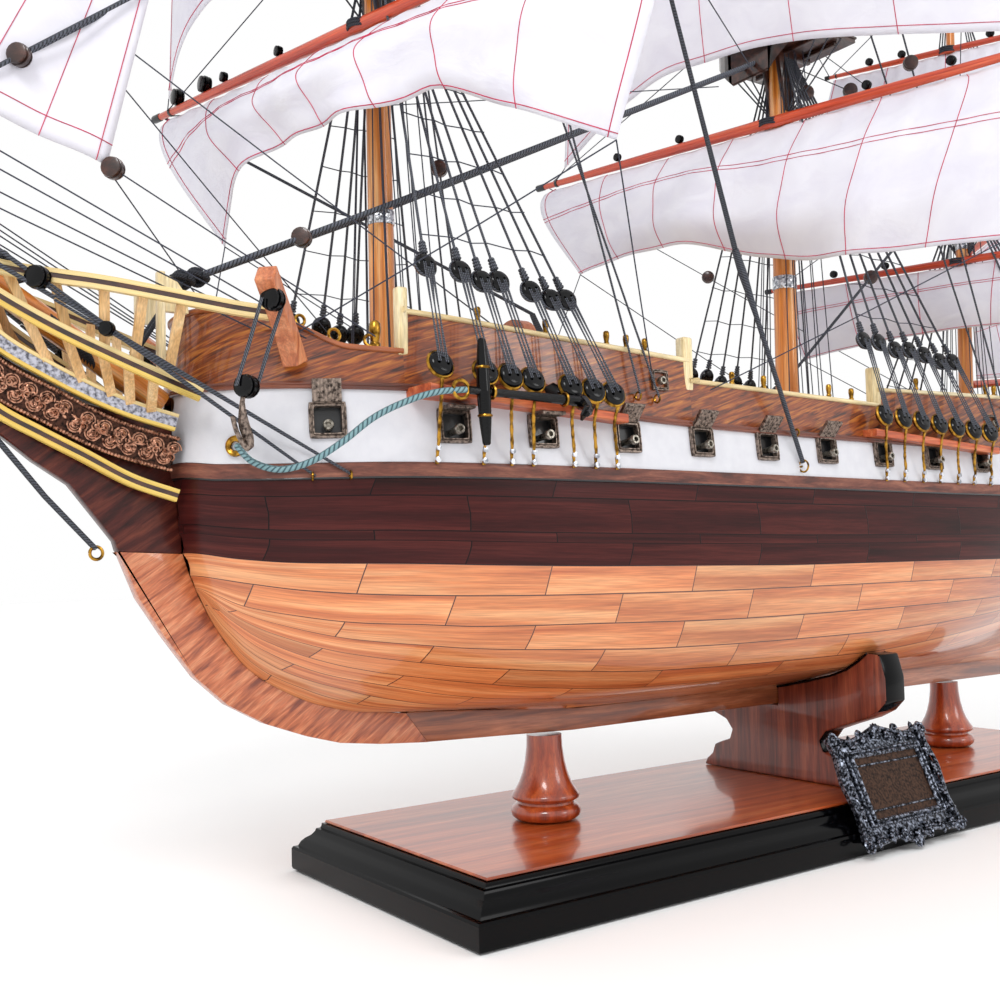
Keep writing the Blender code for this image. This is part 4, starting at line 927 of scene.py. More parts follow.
front = [(x + 0.0002, z + 0.0002) for x, z in STEM_FRONT if x <= 0.3249] + [(0.3318, 0.1408)]
lower_stem = [SCARPH_LOW] + front + [(0.3322, DARK_STEM_Z + 0.0010)]
lower_stem += [(back_at(z), z) for z in (DARK_STEM_Z, 0.132, 0.124, 0.116, 0.108, 0.100, 0.092)]
lower_stem += [(back_at(0.0845), 0.0845), (0.2520, 0.0805), (0.2360, 0.0768), SCARPH_TOP]
stem = plate("sapele_stem", lower_stem, KEEL_HALF, bevel=0.0007)
keep(stem, stem_wood, "keel_wood")
BEAK_TOP = ((0.3930, 0.2100), (0.3850, 0.2085), (0.3700, 0.2010), (0.3500, 0.1940),
            (0.3300, 0.1895), (0.3150, 0.1870))
upper_stem = [(0.3322, DARK_STEM_Z + 0.0010)] + [p for p in STEM_FRONT if p[0] > 0.3326]
upper_stem += list(BEAK_TOP)
upper_stem += [(back_at(z) - 0.001, z) for z in (0.185, 0.176, 0.168, 0.160, 0.152, 0.146)]
upper_stem += [(back_at(DARK_STEM_Z), DARK_STEM_Z)]
beak = plate("stained_upper_stem", upper_stem, KEEL_HALF, bevel=0.0007)
keep(beak, dark_stem, "keel_wood")
rudder_skin = bpy.data.objects["rudder"].data.materials
rudder_skin.clear()
rudder_skin.append(wood("sapele_rudder", "#6d3218", "#a05a34", "#c88058", figure=0.004,
                        pore=0.0006, along=(1, 1, 1 / 14), gloss=0.36, coat=0.6))

# Masts: turned pine with an orange varnish, in three lengths that overlap at the tops and
# crosstrees. Silvered bands of tape stand for the iron hoops.
def pointing(way):
    """Matrix that turns Z to a way."""
    return way.to_track_quat("Z", "Y").to_matrix().to_4x4()


def turned_pole(name, start, end, profile, sides=24):
    """Drawn out from a disc, ring by ring; profile gives shares of the length and radii."""
    start, end = Vector(start), Vector(end)
    length = (end - start).length
    loose()
    bpy.ops.mesh.primitive_circle_add(vertices=sides, radius=profile[0][1], fill_type="NGON",
                                      calc_uvs=False)
    pole = bpy.context.object
    pole.name = name
    bpy.ops.object.mode_set(mode="EDIT")
    bpy.ops.mesh.select_all(action="SELECT")
    for (s0, r0), (s1, r1) in zip(profile, profile[1:]):
        drawn = {"value": (0, 0, (s1 - s0) * length)}
        bpy.ops.mesh.extrude_region_move(TRANSFORM_OT_translate=drawn)
        bpy.ops.transform.resize(value=(r1 / r0, r1 / r0, 1), center_override=(0, 0, s1 * length))
    bpy.ops.mesh.select_all(action="SELECT")
    bpy.ops.mesh.normals_make_consistent(inside=False)
    bpy.ops.object.mode_set(mode="OBJECT")
    lay = pole.data.uv_layers.new(name="lay")
    widest = max(r for _, r in profile)
    for face in pole.data.polygons:
        turns = [math.atan2(pole.data.vertices[k].co.y, pole.data.vertices[k].co.x)
                 for k in face.vertices]
        wraps = max(turns) - min(turns) > math.pi
        for k, loop, angle in zip(face.vertices, face.loop_indices, turns):
            angle += TURN * (wraps and angle < 0)
            lay.data[loop].uv = (pole.data.vertices[k].co.z, angle * widest)
    pole.data.transform(Matrix.Translation(start) @ pointing(end - start))
    pole.data.shade_smooth()
    pole.data.set_sharp_from_angle(angle=math.radians(35))
    return pole


# x at the deck and at the truck, then the heights of deck, top, cap, topmast head and truck,
# and the lower mast's width.
MASTS = {
    "fore": (0.2234, 0.2234, 0.2003, 0.392, 0.428, 0.585, 0.775, 0.0108),
    "main": (-0.0205, -0.0330, 0.2003, 0.405, 0.445, 0.615, 0.828, 0.0122),
    "mizzen": (-0.1815, -0.1990, 0.2003, 0.352, 0.382, 0.505, 0.640, 0.0086),
}
# Sizes of the upper lengths as shares of the lower mast's or topmast's, and their overlap.
TOPMAST_SHARE, POLE_LEAD, POLE_HEEL, POLE_TIP, POLE_OVERLAP = 0.33, 1.75, 0.68, 0.30, 0.0240
GAP = 0.0003
TOP_HALF = {"fore": 0.0320, "main": 0.0320, "mizzen": 0.0240}
TOP_DEEP = 0.72
BANDS = {"fore": ((0.273, 0.279),), "main": ((0.275, 0.282),),
         "mizzen": ((0.319, 0.324), (0.334, 0.337))}
pine = wood("orange_varnished_pine", "#b05c18", "#e58b35", "#f8bf7c", figure=0.0030, pore=0.0005,
            stretch=34, gloss=0.34, coat=0.5)
dark_oak = wood("dark_stained_fittings", "#1c0d09", "#3a1d13", "#583022", figure=0.004, pore=0.0005,
                along=(1 / 8, 1, 1), gloss=0.4, coat=0.5)


def mast_x(mast, z):
    x0, x1, z0 = MASTS[mast][:3]
    return x0 + (x1 - x0) * (z - z0) / (MASTS[mast][6] - z0)


def topmast_lead(dia):
    return dia / 2 + dia * 0.36 + GAP


def silver_tape():
    """Crumpled metal tape: pale grey, its facets tinted from dark grey to near white as painted
    reflection.
    """
    mat, skin = begin("silvered_tape", "#c9ccd4", 0.28, metallic=1.0)
    place = add(mat, "ShaderNodeTexCoord", {})
    facets = add(mat, "ShaderNodeTexVoronoi", {"Vector": place.outputs["Object"],
                                               "Scale": 1 / 0.0011})
    # Painted reflection: each facet's random tone stands in for the glints and dull spots of crumpled
    # foil.
    tint(mat, skin, facets.outputs["Color"], (0.2, "#6d7079"), (0.8, "#f2f3f6"))
    emboss(mat, skin, facets.outputs["Distance"], 0.8, 0.0003)
    return mat


tape = silver_tape()
for mast, (_, _, deck, top, cap, head, truck, dia) in MASTS.items():
    r = dia / 2
    heel = deck + GAP
    upto = (top - heel) / (cap - heel)
    lower = turned_pole(mast + "_pole", (mast_x(mast, heel), 0, heel), (mast_x(mast, cap), 0, cap),
                        ((0, r), (upto, r * 0.92), (1, r * 0.80)))
    coat_ring = turned_pole("mast_coat", (mast_x(mast, heel), 0, heel),
                            (mast_x(mast, heel), 0, heel + 0.004),
                            ((0, r + 0.0026), (0.5, r + 0.0024), (0.8, r + 0.0014), (1, r + 0.0004)))
    keep(join(mast + "_lower_pole", [lower, coat_ring]), pine, "mast_wood", mast + "_lower_mast")
    half = TOP_HALF[mast]
    deep = half * TOP_DEEP
    x = mast_x(mast, top)
    bits = []
    for low, high, grow in ((top - 0.0014, top + 0.0006, 0.0), (top + 0.0006, top + 0.0016, 0.0006)):
        rim = block("top_board", (x - deep - grow, -half - grow, low),
                    (x + deep + grow, half + grow, high))
        pick(rim)
        bpy.ops.object.mode_set(mode="EDIT")
        mesh = bmesh.from_edit_mesh(rim.data)
        for edge in mesh.edges:
            edge.select = all(v.co.x > x and abs(v.co.y) > half * 0.9 for v in edge.verts)
        bmesh.update_edit_mesh(rim.data)
        bpy.ops.mesh.bevel(offset=half * 0.62, segments=6, profile=0.5)
        bpy.ops.object.mode_set(mode="OBJECT")
        bits.append(rim)
    for side in (-1, 1):
        y = side * r * 0.80
        bib = plate("bib", [(x + r * 1.3, top - 0.0014), (x + r * 1.1, top - 0.010),
                            (x + r * 0.5, top - 0.034), (x - r * 0.6, top - 0.034),
                            (x - r * 0.9, top - 0.0014)], 0.0014, bevel=0.0004, middle=y)
        bits.append(bib)
        bits.append(block("trestle", (x - deep * 0.8, y - 0.0012, top - 0.0046),
                          (x + deep * 0.85, y + 0.0012, top - 0.0014), bevel=0.0004))
    for reach in (-0.55, 0.1, 0.62):
        bits.append(centred("crosstree", x + deep * reach, 0, 0.0012, half * 0.86, top - 0.0034,
                            top - 0.0014, bevel=0.0004))
    cx = mast_x(mast, cap)
    bits.append(block("cap", (cx - 0.0060, -0.0048, cap - 0.0040), (cx + 0.0150, 0.0048, cap + 0.0010),
                      bevel=0.0007))
    keep(join(mast + "_top_and_cap", bits), dark_oak, "dark_wood")
    ahead_by = topmast_lead(dia)
    rt = dia * TOPMAST_SHARE
    foot = cap + 0.0010
    stand = top + 0.0016
    upper = turned_pole(mast + "_topmast", (mast_x(mast, stand) + ahead_by, 0, stand),
                        (mast_x(mast, head) + ahead_by, 0, head), ((0, rt), (1, rt * 0.80)), 20)
    low = head - POLE_OVERLAP
    step = rt * POLE_LEAD
    pole = turned_pole("pole", (mast_x(mast, low) + ahead_by + step, 0, low),
                       (mast_x(mast, truck) + ahead_by + step, 0, truck + 0.0012),
                       ((0, rt * POLE_HEEL), (0.975, rt * POLE_TIP), (0.98, 0.0019), (0.99, 0.0021),
                        (1.0, 0.0012)), 16)
    keep(join(mast + "_upper_poles", [upper, pole]), pine, "mast_wood", mast + "_upper_mast")
    hx = mast_x(mast, head) + ahead_by
    trees = [block("tree", (hx - 0.0080, y - 0.0009, head - 0.0192),
                   (hx + 0.0100, y + 0.0009, head - 0.0172), bevel=0.0003) for y in (-0.0040, 0.0040)]
    trees += [centred("cross", hx + a, 0, 0.0008, 0.0150, head - 0.0182, head - 0.0168, bevel=0.0003)
              for a in (-0.0060, 0.0080)]
    trees.append(block("pole_cap", (hx - 0.0040, -0.0030, head - 0.0030),
                       (hx + 0.0092, 0.0030, head + 0.0008), bevel=0.0005))
    keep(join(mast + "_crosstrees", trees), dark_oak, "dark_wood")
    hoops = []
    for low, high in BANDS[mast]:
        wide = r * (1 - 0.08 * (low - deck) / (top - deck)) + 0.00025
        hoops.append(turned_pole("hoop", (mast_x(mast, low), 0, low), (mast_x(mast, high), 0, high),
                                 ((0, wide), (0.06, wide + 0.0002), (0.5, wide + 0.0001),
                                  (0.94, wide + 0.0002), (1, wide))))
    keep(join(mast + "_mast_hoops", hoops), tape, "pewter")

# Bowsprit and jib boom: the same pine, with a dark cap near the bowsprit's end and a rope
# gammoning lashed round it over the stem.
sprit_start, sprit_end = Vector((0.3156, 0, 0.1937)), Vector((0.4560, 0, 0.2860))
boom_heel, boom_tip = Vector((0.4020, 0, 0.2600)), Vector((0.5750, 0, 0.3690))
sprit = turned_pole("sprit", sprit_start, sprit_end, ((0, 0.0048), (0.5, 0.0046), (1, 0.0034)))
boom = turned_pole("jib_boom", boom_heel, boom_tip, ((0, 0.0027), (0.5, 0.0024), (0.97, 0.0014),
                                                     (0.975, 0.0019), (0.99, 0.0019), (1, 0.0012)))
keep(join("bowsprit_and_boom", [sprit, boom]), pine, "mast_wood", "bowsprit")
slope = (sprit_end - sprit_start).normalized()
cap_at = sprit_end - slope * 0.0030 + Vector((0, 0, 0.0020))
sprit_cap = block("bowsprit_cap", (-0.0022, -0.0045, -0.0075), (0.0022, 0.0045, 0.0075), bevel=0.0008)
tilt = Matrix.Rotation(-math.atan2(slope.z, slope.x), 4, "Y")
sprit_cap.data.transform(Matrix.Translation(cap_at) @ tilt)
keep(sprit_cap, dark_oak, "dark_wood")

# Yards, gaff and boom: turned and painted crimson, with black ends. The yards are held to
# their masts by parrels and hang braced round. Each row gives a yard's mast, height, half
# length, width and the angle in degrees that it is braced to.
SPAR_TABLE = (
    ("fore_course_yard", "fore", 0.355, 0.145, 0.0058, -14.7),
    ("fore_topsail_yard", "fore", 0.525, 0.112, 0.0048, -14.7),
    ("fore_topgallant_yard", "fore", 0.675, 0.076, 0.0036, -14.7),
    ("main_course_yard", "main", 0.364, 0.155, 0.0062, -15.2),
    ("main_topsail_yard", "main", 0.548, 0.120, 0.0050, -15.2),
    ("main_topgallant_yard", "main", 0.715, 0.082, 0.0038, -15.2),
    ("crossjack_yard", "mizzen", 0.311, 0.122, 0.0048, -20.3),
    ("mizzen_topsail_yard", "mizzen", 0.443, 0.074, 0.0040, -24.0),
)
YARDS = {row[0]: row[1:] for row in SPAR_TABLE}
crimson = wood("crimson_stained_spar", "#a8301a", "#cf4a28", "#e4683c", figure=0.004, pore=0.0005,
               stretch=26, gloss=0.36, coat=0.6)


def mast_fore_face(mast, z):
    _, _, _, top, _, head, truck, dia = MASTS[mast]
    r = dia * TOPMAST_SHARE
    lead = topmast_lead(dia)
    heel = head - POLE_OVERLAP
    if z < top:
        return mast_x(mast, z) + dia / 2
    if z < heel:
        return mast_x(mast, z) + lead + r
    taper = POLE_HEEL + (POLE_TIP - POLE_HEEL) * (z - heel) / (truck - heel)
    return mast_x(mast, z) + lead + r * (POLE_LEAD + taper)


def yard_frame(name):
    """Middle of a yard, the way along it to port, and the way ahead of it."""
    mast, z, half, dia, brace = YARDS[name]
    angle = math.radians(brace)
    centre = Vector((mast_fore_face(mast, z) + dia / 2 + 0.0006, 0, z))
    across = Vector((math.sin(angle), math.cos(angle), 0))
    return centre, across, Vector((across.y, -across.x, 0))


end_bits, parrel_bits = [], []
for name, (mast, z, half, dia, brace) in YARDS.items():
    centre, across, _ = yard_frame(name)
    r = dia / 2
    spar = turned_pole(name + "_spar", centre - across * half, centre + across * half,
                       ((0, r * 0.45), (0.004, r * 0.55), (0.25, r * 0.85), (0.5, r), (0.75, r * 0.85),
                        (0.996, r * 0.55), (1, r * 0.45)))
    keep(spar, crimson, "spar_paint", name)
    for end in (-1, 1):
        for start, stop in ((0.965, 1.003), (0.90, 0.912)):
            wide = r * (0.85 - 0.30 * (start - 0.5) / 0.5) + 0.0003
            collar = ((0, wide * 0.94), (0.1, wide), (0.9, wide), (1, wide * 0.94))
            end_bits.append(turned_pole("yard_band", centre + across * end * half * start,
                                        centre + across * end * half * stop, collar, 16))
    back = mast_x(mast, z) + (0 if z < MASTS[mast][3] else topmast_lead(MASTS[mast][7]))
    reach = (centre.x - back) / 2 + r * 1.05
    for turn_no in range(3):
        hoop = [((centre.x + back) / 2 - 0.001 + (reach + 0.0022) * math.cos(a),
                 (MASTS[mast][7] / 2 + 0.0012) * math.sin(a), z + (turn_no - 1) * 0.0012)
                for a in evenly(0, TURN, 24)]
        parrel_bits.append(tube(hoop, 0.0006, 6))
GAFF = (Vector((mast_x("mizzen", 0.318) - 0.0058, 0, 0.318)), Vector((-0.3180, 0, 0.3900)))
BOOM = (Vector((mast_x("mizzen", 0.236) - 0.0054, 0, 0.236)), Vector((-0.3650, 0, 0.2560)))
gaff_spar = turned_pole("gaff_spar", *GAFF, ((0, 0.0022), (1, 0.0014)), 16)
boom_spar = turned_pole("boom_spar", *BOOM, ((0, 0.0024), (1, 0.0016)), 16)
keep(gaff_spar, crimson, "spar_paint", "gaff")
keep(boom_spar, crimson, "spar_paint", "spanker_boom")
keep(join("yard_end_bands", end_bits), black_satin, "black_paint")
black_rope = laid_cord("black_tarred_rope", "#07080b", "#33363f", 0.0012)
keep(gather("yard_parrels", parrel_bits), black_rope, "black_paint")


# Sails: white cotton, sewn from cloths with red thread, hemmed at the edges and laced to
# the yards. Each is a sheet in its set shape, with the folds that the gathered foot gives.
def sail_cotton():
    """Plain-weave cotton: soft sheen, a weave of 0.5 mm threads and faint creases, with painted shade
    that tints their low places lilac grey.
    """
    mat, skin = begin("white_cotton", "#f3f2f6", 0.88)
    skin.inputs["Sheen Weight"].default_value = 0.25
    skin.inputs["Sheen Roughness"].default_value = 0.5
    place = add(mat, "ShaderNodeTexCoord", {})
    thread = 0.0005
    pieces = add(mat, "ShaderNodeSeparateXYZ", {0: place.outputs["UV"]})
    waves = []
    for axis in (0, 1):
        turned_wave = add(mat, "ShaderNodeMath", {0: pieces.outputs[axis], 1: TURN / thread},
                          operation="MULTIPLY")
        waves.append(add(mat, "ShaderNodeMath", {0: turned_wave.outputs[0]}, operation="SINE"))
    weave = add(mat, "ShaderNodeMath", {0: waves[0].outputs[0], 1: waves[1].outputs[0]},
                operation="MULTIPLY")
    crease = noise(mat, place.outputs["UV"], 0.022, 4.0, 0.6)
    # Painted shade: the crease noise tints the cloth a darker lilac grey where the creases lie low and
    # a paler grey where they rise.
    tint(mat, skin, crease.outputs["Fac"], (0.3, "#dad8e3"), (0.62, "#e3e2ea"))
    fine = add(mat, "ShaderNodeBump", {"Height": weave.outputs[0], "Strength": 0.35,
                                       "Distance": 0.00008})
    both = add(mat, "ShaderNodeBump", {"Height": crease.outputs["Fac"], "Strength": 0.5,
                                       "Distance": 0.0016, "Normal": fine.outputs[0]})
    feed(mat, skin, "Normal", both.outputs[0])
    return mat


cotton = sail_cotton()
red_thread = paint("red_sewing_thread", "#c92a55", "#a81f45", gloss=0.7, coat=0.0)
SAIL_THICK = 0.0004
stitch_bits = []


def sail_piece(name, place, rows, cols, node, flat, lines):
    """A cloth from a place(u, v) with u and v from 0 to 1; lines are sewn seams on it."""
    grid, faces, maps = [], [], []
    for i in range(rows + 1):
        for j in range(cols + 1):
            u, v = j / cols, i / rows
            grid.append(place(u, v))
            maps.append((u * flat[0], v * flat[1]))
    for i in range(rows):
        for j in range(cols):
            a = i * (cols + 1) + j
            faces.append((a, a + 1, a + cols + 2, a + cols + 1))
    cloth = mesh_piece(name, grid, faces, maps, outward=False)
    shape(cloth, "SOLIDIFY", thickness=SAIL_THICK, offset=0.0)
    keep(cloth, cotton, "sail_cloth", node)
    for (u0, v0), (u1, v1) in lines:
        for off in (SAIL_THICK * 0.5 + 0.0001, -SAIL_THICK * 0.5 - 0.0001):
            path = []
            for u, v in zip(evenly(u0, u1, 48), evenly(v0, v1, 48)):
                here = place(u, v)
                across_u = place(min(u + 0.01, 1), v) - place(max(u - 0.01, 0), v)
                down_v = place(u, min(v + 0.01, 1)) - place(u, max(v - 0.01, 0))
                path.append(here + across_u.cross(down_v).normalized() * off)
            stitch_bits.append(tube(path, 0.0002, 4))
    return cloth


# Yard, height of the clews, half the foot's width, arch of the foot, belly, number of cloths.
SQUARE_SAILS = (
    ("fore_course", "fore_course_yard", 0.281, 0.112, 0.030, 0.012, 7),
    ("fore_topsail", "fore_topsail_yard", 0.361, 0.121, 0.034, 0.016, 5),
    ("fore_topgallant", "fore_topgallant_yard", 0.532, 0.098, 0.026, 0.012, 4),
    ("main_course", "main_course_yard", 0.290, 0.120, 0.012, 0.012, 7),
    ("main_topsail", "main_topsail_yard", 0.370, 0.137, 0.038, 0.016, 5),
    ("main_topgallant", "main_topgallant_yard", 0.555, 0.106, 0.028, 0.012, 4),
    ("crossjack_sail", "crossjack_yard", 0.262, 0.098, 0.006, 0.010, 5),
    ("mizzen_topsail", "mizzen_topsail_yard", 0.319, 0.106, 0.044, 0.012, 4),
)


HEAD_SHARE = 0.93
# The feet of both courses and both topsails, measured: along the yard to port, and height.
FEET = {
    "fore_course_yard": ((-0.0905, 0.2810), (-0.0820, 0.2900), (-0.0690, 0.3030), (-0.0310, 0.3090),
                         (0.0000, 0.3070), (0.0280, 0.3050), (0.0540, 0.3070), (0.0900, 0.2920),
                         (0.1250, 0.2750)),
    "main_course_yard": ((-0.1250, 0.3050), (-0.0900, 0.3060), (-0.0440, 0.3030), (0.0040, 0.2880),
                         (0.0420, 0.2800), (0.1180, 0.2780)),
    "fore_topsail_yard": ((-0.1210, 0.3570), (-0.1070, 0.3710), (-0.0890, 0.3800), (-0.0720, 0.3850),
                          (-0.0300, 0.3870), (0.0300, 0.3860), (0.0800, 0.3780), (0.1210, 0.3600)),
    "main_topsail_yard": ((-0.1300, 0.3700), (-0.0900, 0.3870), (-0.0740, 0.3930), (-0.0410, 0.4000),
                          (-0.0030, 0.3990), (0.0480, 0.3900), (0.1000, 0.3780), (0.1300, 0.3720)),
}


def square_place(yard_name, clew_z, clew_half, arch, belly, seed):
    mast, z, half, dia, brace = YARDS[yard_name]
    centre, across, forward = yard_frame(yard_name)
    head_z = z - dia / 2 - 0.0006
    head_half = half * HEAD_SHARE
    foot = FEET.get(yard_name)
    baggy = 1.0 if "course" in yard_name else 0.25

    def shaped(u, v):
        s = 2 * u - 1
        foot_at = foot[0][0] + (foot[-1][0] - foot[0][0]) * u
        out = head_half * s + (foot_at - head_half * s) * v
        out += 0.013 * baggy * s * abs(s) ** 3 * math.sin(math.pi * math.sqrt(v))
        bulge = (belly + 0.014 * baggy) * math.sin(0.74 * math.pi * v) * (1 - abs(s) ** 3)
        wave = math.sin(5 * math.pi * u + seed) + 0.5 * math.sin(11 * math.pi * u + 2 * seed + 2.4 * v)
        folds = 0.0044 * baggy * v * wave * (1 - s * s)
        folds += 0.0022 * baggy * math.sin(4 * math.pi * v + 3 * u + seed) * math.sin(math.pi * u) * v
        folds += 0.0006 * (1 - v) ** 2 * math.sin(34 * math.pi * u)
        spot = centre + across * out + forward * (bulge + folds)
        spot.z = head_z + (smooth_table(foot, foot_at)[0] - head_z) * v
        return spot
    if foot:
        return shaped

    def place(u, v):
        s = 2 * u - 1
        width = head_half + (clew_half - head_half) * v
        bulge = belly * math.sin(0.70 * math.pi * v) * (1 - s * s)
        folds = 0.0011 * v * math.sin(9.0 * math.pi * u + seed) * (1 - abs(s)) ** 0.5
        folds += 0.0005 * (1 - v) ** 3 * math.sin(34 * math.pi * u)
        spot = centre + across * (width * s) + forward * (bulge + folds)
        spot.z = head_z + (clew_z - head_z) * v + arch * (1 - s * s) * v
        return spot
    return place


for seed, (name, yard_name, clew_z, clew_half, arch, belly, cloths) in enumerate(SQUARE_SAILS):
    place = square_place(yard_name, clew_z, clew_half, arch, belly, seed)
    wide = 2 * max(YARDS[yard_name][2] * HEAD_SHARE, clew_half) + 0.010
    tall = YARDS[yard_name][1] - clew_z + 0.012
    seams = [((k / cloths, 0.0), (k / cloths, 1.0)) for k in range(1, cloths)]
    seams += [((0.0, v), (1.0, v)) for v in (0.30, 0.335, 0.975)]
    seams += [((u, 0.0), (u, 1.0)) for u in (0.012, 0.988)]
    sail_piece(name + "_cloth", place, 44, 84, name, (wide, tall + 0.006),
               seams)

# Head sails and spanker: the same cotton. The two jibs hang on their stays and are sheeted
# to starboard, and the spanker is laced to the gaff and boom.
TOPMAST_STAY = (Vector((0.2368, 0, 0.5570)), Vector((0.4623, 0, 0.3018)))
JIB_STAY = (Vector((0.2416, 0, 0.7020)), Vector((0.5715, 0, 0.3692)))


def beside_stay(stay, share, off):
    down = (stay[1] - stay[0]).normalized()
    return stay[0].lerp(stay[1], share) + Vector((down.z, 0, -down.x)) * off


def jib_place(stay, top, low, clew, belly):
    head, tack = beside_stay(stay, top, 0.0022), beside_stay(stay, low, 0.0022)

    def place(u, v):
        v = 0.03 + 0.97 * v
        spot = head.lerp(tack, v).lerp(head.lerp(Vector(clew), v), u)
        spot.y -= belly * math.sin(math.pi * u) * v * 4 * (1.02 - v)
        spot.y += 0.0012 * math.sin(7 * math.pi * u) * v * u
        return spot
    return place


# Stay, shares down it of the sail's head and tack, the clew, the belly, the stay's node.
JIBS = (("inner_jib", TOPMAST_STAY, 0.20, 0.95, (0.3345, 0, 0.2782), 0.005, "fore_topmast_stay"),
        ("outer_jib", JIB_STAY, 0.16, 0.955, (0.3560, -0.0180, 0.3500), 0.014, "jib_stay"))
for name, stay, top, low, clew, belly, held_by in JIBS:
    place = jib_place(stay, top, low, clew, belly)
    flat = ((place(0, 1) - place(1, 1)).length, (place(0, 0) - place(0, 1)).length)
    seams = [((k / 5, 0.04), (k / 5, 1.0)) for k in range(1, 5)]
    seams += [((0, 0.965), (1, 0.965)), ((0.03, 0.03), (0.03, 1)), ((0.965, 0.03), (0.965, 1)),
              ((0.0, 0.55), (1.0, 0.62))]
    sail_piece(name + "_cloth", place, 60, 40, name, flat, seams)
throat, peak = Vector((-0.1960, 0, 0.3169)), Vector((-0.3100, 0, 0.3827))
spanker_clew, spanker_tack = Vector((-0.3450, 0, 0.2562)), Vector((-0.1945, 0, 0.2397))


def spanker_place(u, v):
    spot = throat.lerp(spanker_tack, v).lerp(peak.lerp(spanker_clew, v), u)
    spot.y -= 0.010 * math.sin(math.pi * u) * math.sin(math.pi * v)
    spot.y += 0.0008 * math.sin(8 * math.pi * u) * v * (1 - v) * 4
    return spot


spanker_seams = [((k / 4, 0), (k / 4, 1)) for k in range(1, 4)]
spanker_seams += [((0, 0.03), (1, 0.03)), ((0, 0.97), (1, 0.97)), ((0.97, 0), (0.97, 1)),
                  ((0, 0.62), (1, 0.62))]
sail_piece("spanker_cloth", spanker_place, 44, 44, "spanker",
           ((spanker_clew - spanker_tack).length, (peak - spanker_clew).length), spanker_seams)
keep(gather("sail_seam_stitching", stitch_bits, smooth=False), red_thread, "sail_cloth")

# Channels: cherry planks glued along the side, each with its row of turned black deadeyes
# in brass strops. A brass chain plate runs from each down to two pins in the side.
# x and z of a channel's fore end, of its aft end, and the x of each deadeye.
CHANNELS = {
    "fore": ((0.2455, 0.1950), (0.1550, 0.1888),
             (0.2410, 0.2220, 0.2110, 0.2010, 0.1830, 0.1720, 0.1620)),
    "main": ((0.0014, 0.1905), (-0.0986, 0.1853), tuple(-0.0057 - 0.01429 * i for i in range(7))),
    "mizzen": ((-0.1660, 0.1900), (-0.2300, 0.1930), tuple(-0.1740 - 0.0160 * i for i in range(4))),
}
UPPER_GAP = {"fore": 0.0410, "main": 0.0400, "mizzen": 0.0300}
CHANNEL_Y, EYE_Y, EYE_RISE = 0.0715, 0.0708, 0.0086
LOW_EYE_SIZE, HIGH_EYE_SIZE, SMALL_EYE_SIZE = 1.25, 1.12, 0.55
SHROUD_THICK, LANYARD_THICK, RATLINE_RISE = 0.00058, 0.00026, 0.0172
CHAIN_STEPS = 22


def brass(name="brass_wire", dark="#4f3512", pale="#b98a35"):
    """Drawn brass, lightly tarnished in patches."""
    mat, skin = begin(name, pale, 0.28, metallic=1.0)
    place = add(mat, "ShaderNodeTexCoord", {})
    tarnish = noise(mat, place.outputs["Object"], 0.0025, 4.0)
    tint(mat, skin, tarnish.outputs["Fac"], (0.35, dark), (0.58, pale))
    emboss(mat, skin, tarnish.outputs["Fac"], 0.3, 0.0001)
    return mat


def frame_at(place, along, out):
    """Matrix that stands a piece at a place: its Y along one way, its Z near another."""
    along = Vector(along).normalized()
    out = (Vector(out) - along * Vector(out).dot(along)).normalized()
    turn = Matrix((along.cross(out), along, out)).transposed().to_4x4()
    return Matrix.Translation(place) @ turn


def at(place, angle=0.0, axis="Z", size=1.0):
    """Matrix that moves to a place, turns about an axis there, and resizes."""
    return Matrix.Translation(place) @ Matrix.Rotation(angle, 4, axis) @ Matrix.Scale(size, 4)


def stamp(name, master, places, **options):
    """Copies of a modelled piece, each with its own points, as one mesh."""
    verts, faces = [], []
    for place in places:
        start = len(verts)
        verts += [place @ v.co for v in master.data.vertices]
        faces += [tuple(start + k for k in face.vertices) for face in master.data.polygons]
    return mesh_piece(name, verts, faces, **options)


def ring(place, radius, thick, count=20, sides=6):
    """A wire ring in the local XY plane of a matrix."""
    loop = [place @ Vector((radius * math.cos(a), radius * math.sin(a), 0))
            for a in evenly(0, TURN, count)]
    return tube(loop, thick, sides)


def taut(a, b, thick, sides):
    """A straight line between two places, with a point at its middle."""
    return tube([a, a.lerp(b, 0.5), b], thick, sides)


def ring_eye(spot, wide, sides, near):
    """A small wire ring that stands on edge, and the shank that holds it in the side."""
    return [ring(spot @ Matrix.Rotation(math.pi / 2, 4, "Y"), wide, 0.00045, sides, 6),
            tube([spot @ Vector((0, 0, -0.0030)), spot @ Vector((0, 0, near))], 0.0005, 6)]


def scrap(*pieces):
    for piece in pieces:
        bpy.data.objects.remove(piece, do_unlink=True)


deadeye = turned_pole("deadeye", (0, 0, -0.0018), (0, 0, 0.0018),
                      ((0, 0.0026), (0.08, 0.0034), (0.30, 0.0039), (0.42, 0.0038), (0.5, 0.0036),
                       (0.58, 0.0038), (0.70, 0.0039), (0.92, 0.0034), (1, 0.0026)), 20)
for x, y in ((-0.0015, -0.0003), (0.0015, -0.0003), (0.0, 0.0016)):
    drill = turned_pole("drill", (x, y, -0.003), (x, y, 0.003), ((0, 0.00055), (1, 0.00055)), 8)
    shape(deadeye, "BOOLEAN", operation="DIFFERENCE", solver="EXACT", object=drill)
    scrap(drill)
black_gloss = paint("black_gloss_lacquer", "#050507", "#030304", gloss=0.16, coat=0.10, shine=0.2)
channel_wood = wood("cherry_channel", "#8e3417", "#c05a30", "#dc8452", figure=0.004, pore=0.0006,
                    along=(1 / 12, 1, 1), gloss=0.5, coat=0.25)
brass_wire = brass()
steel_pin = brass("nickel_pin", "#8d9098", "#e6e8ee")
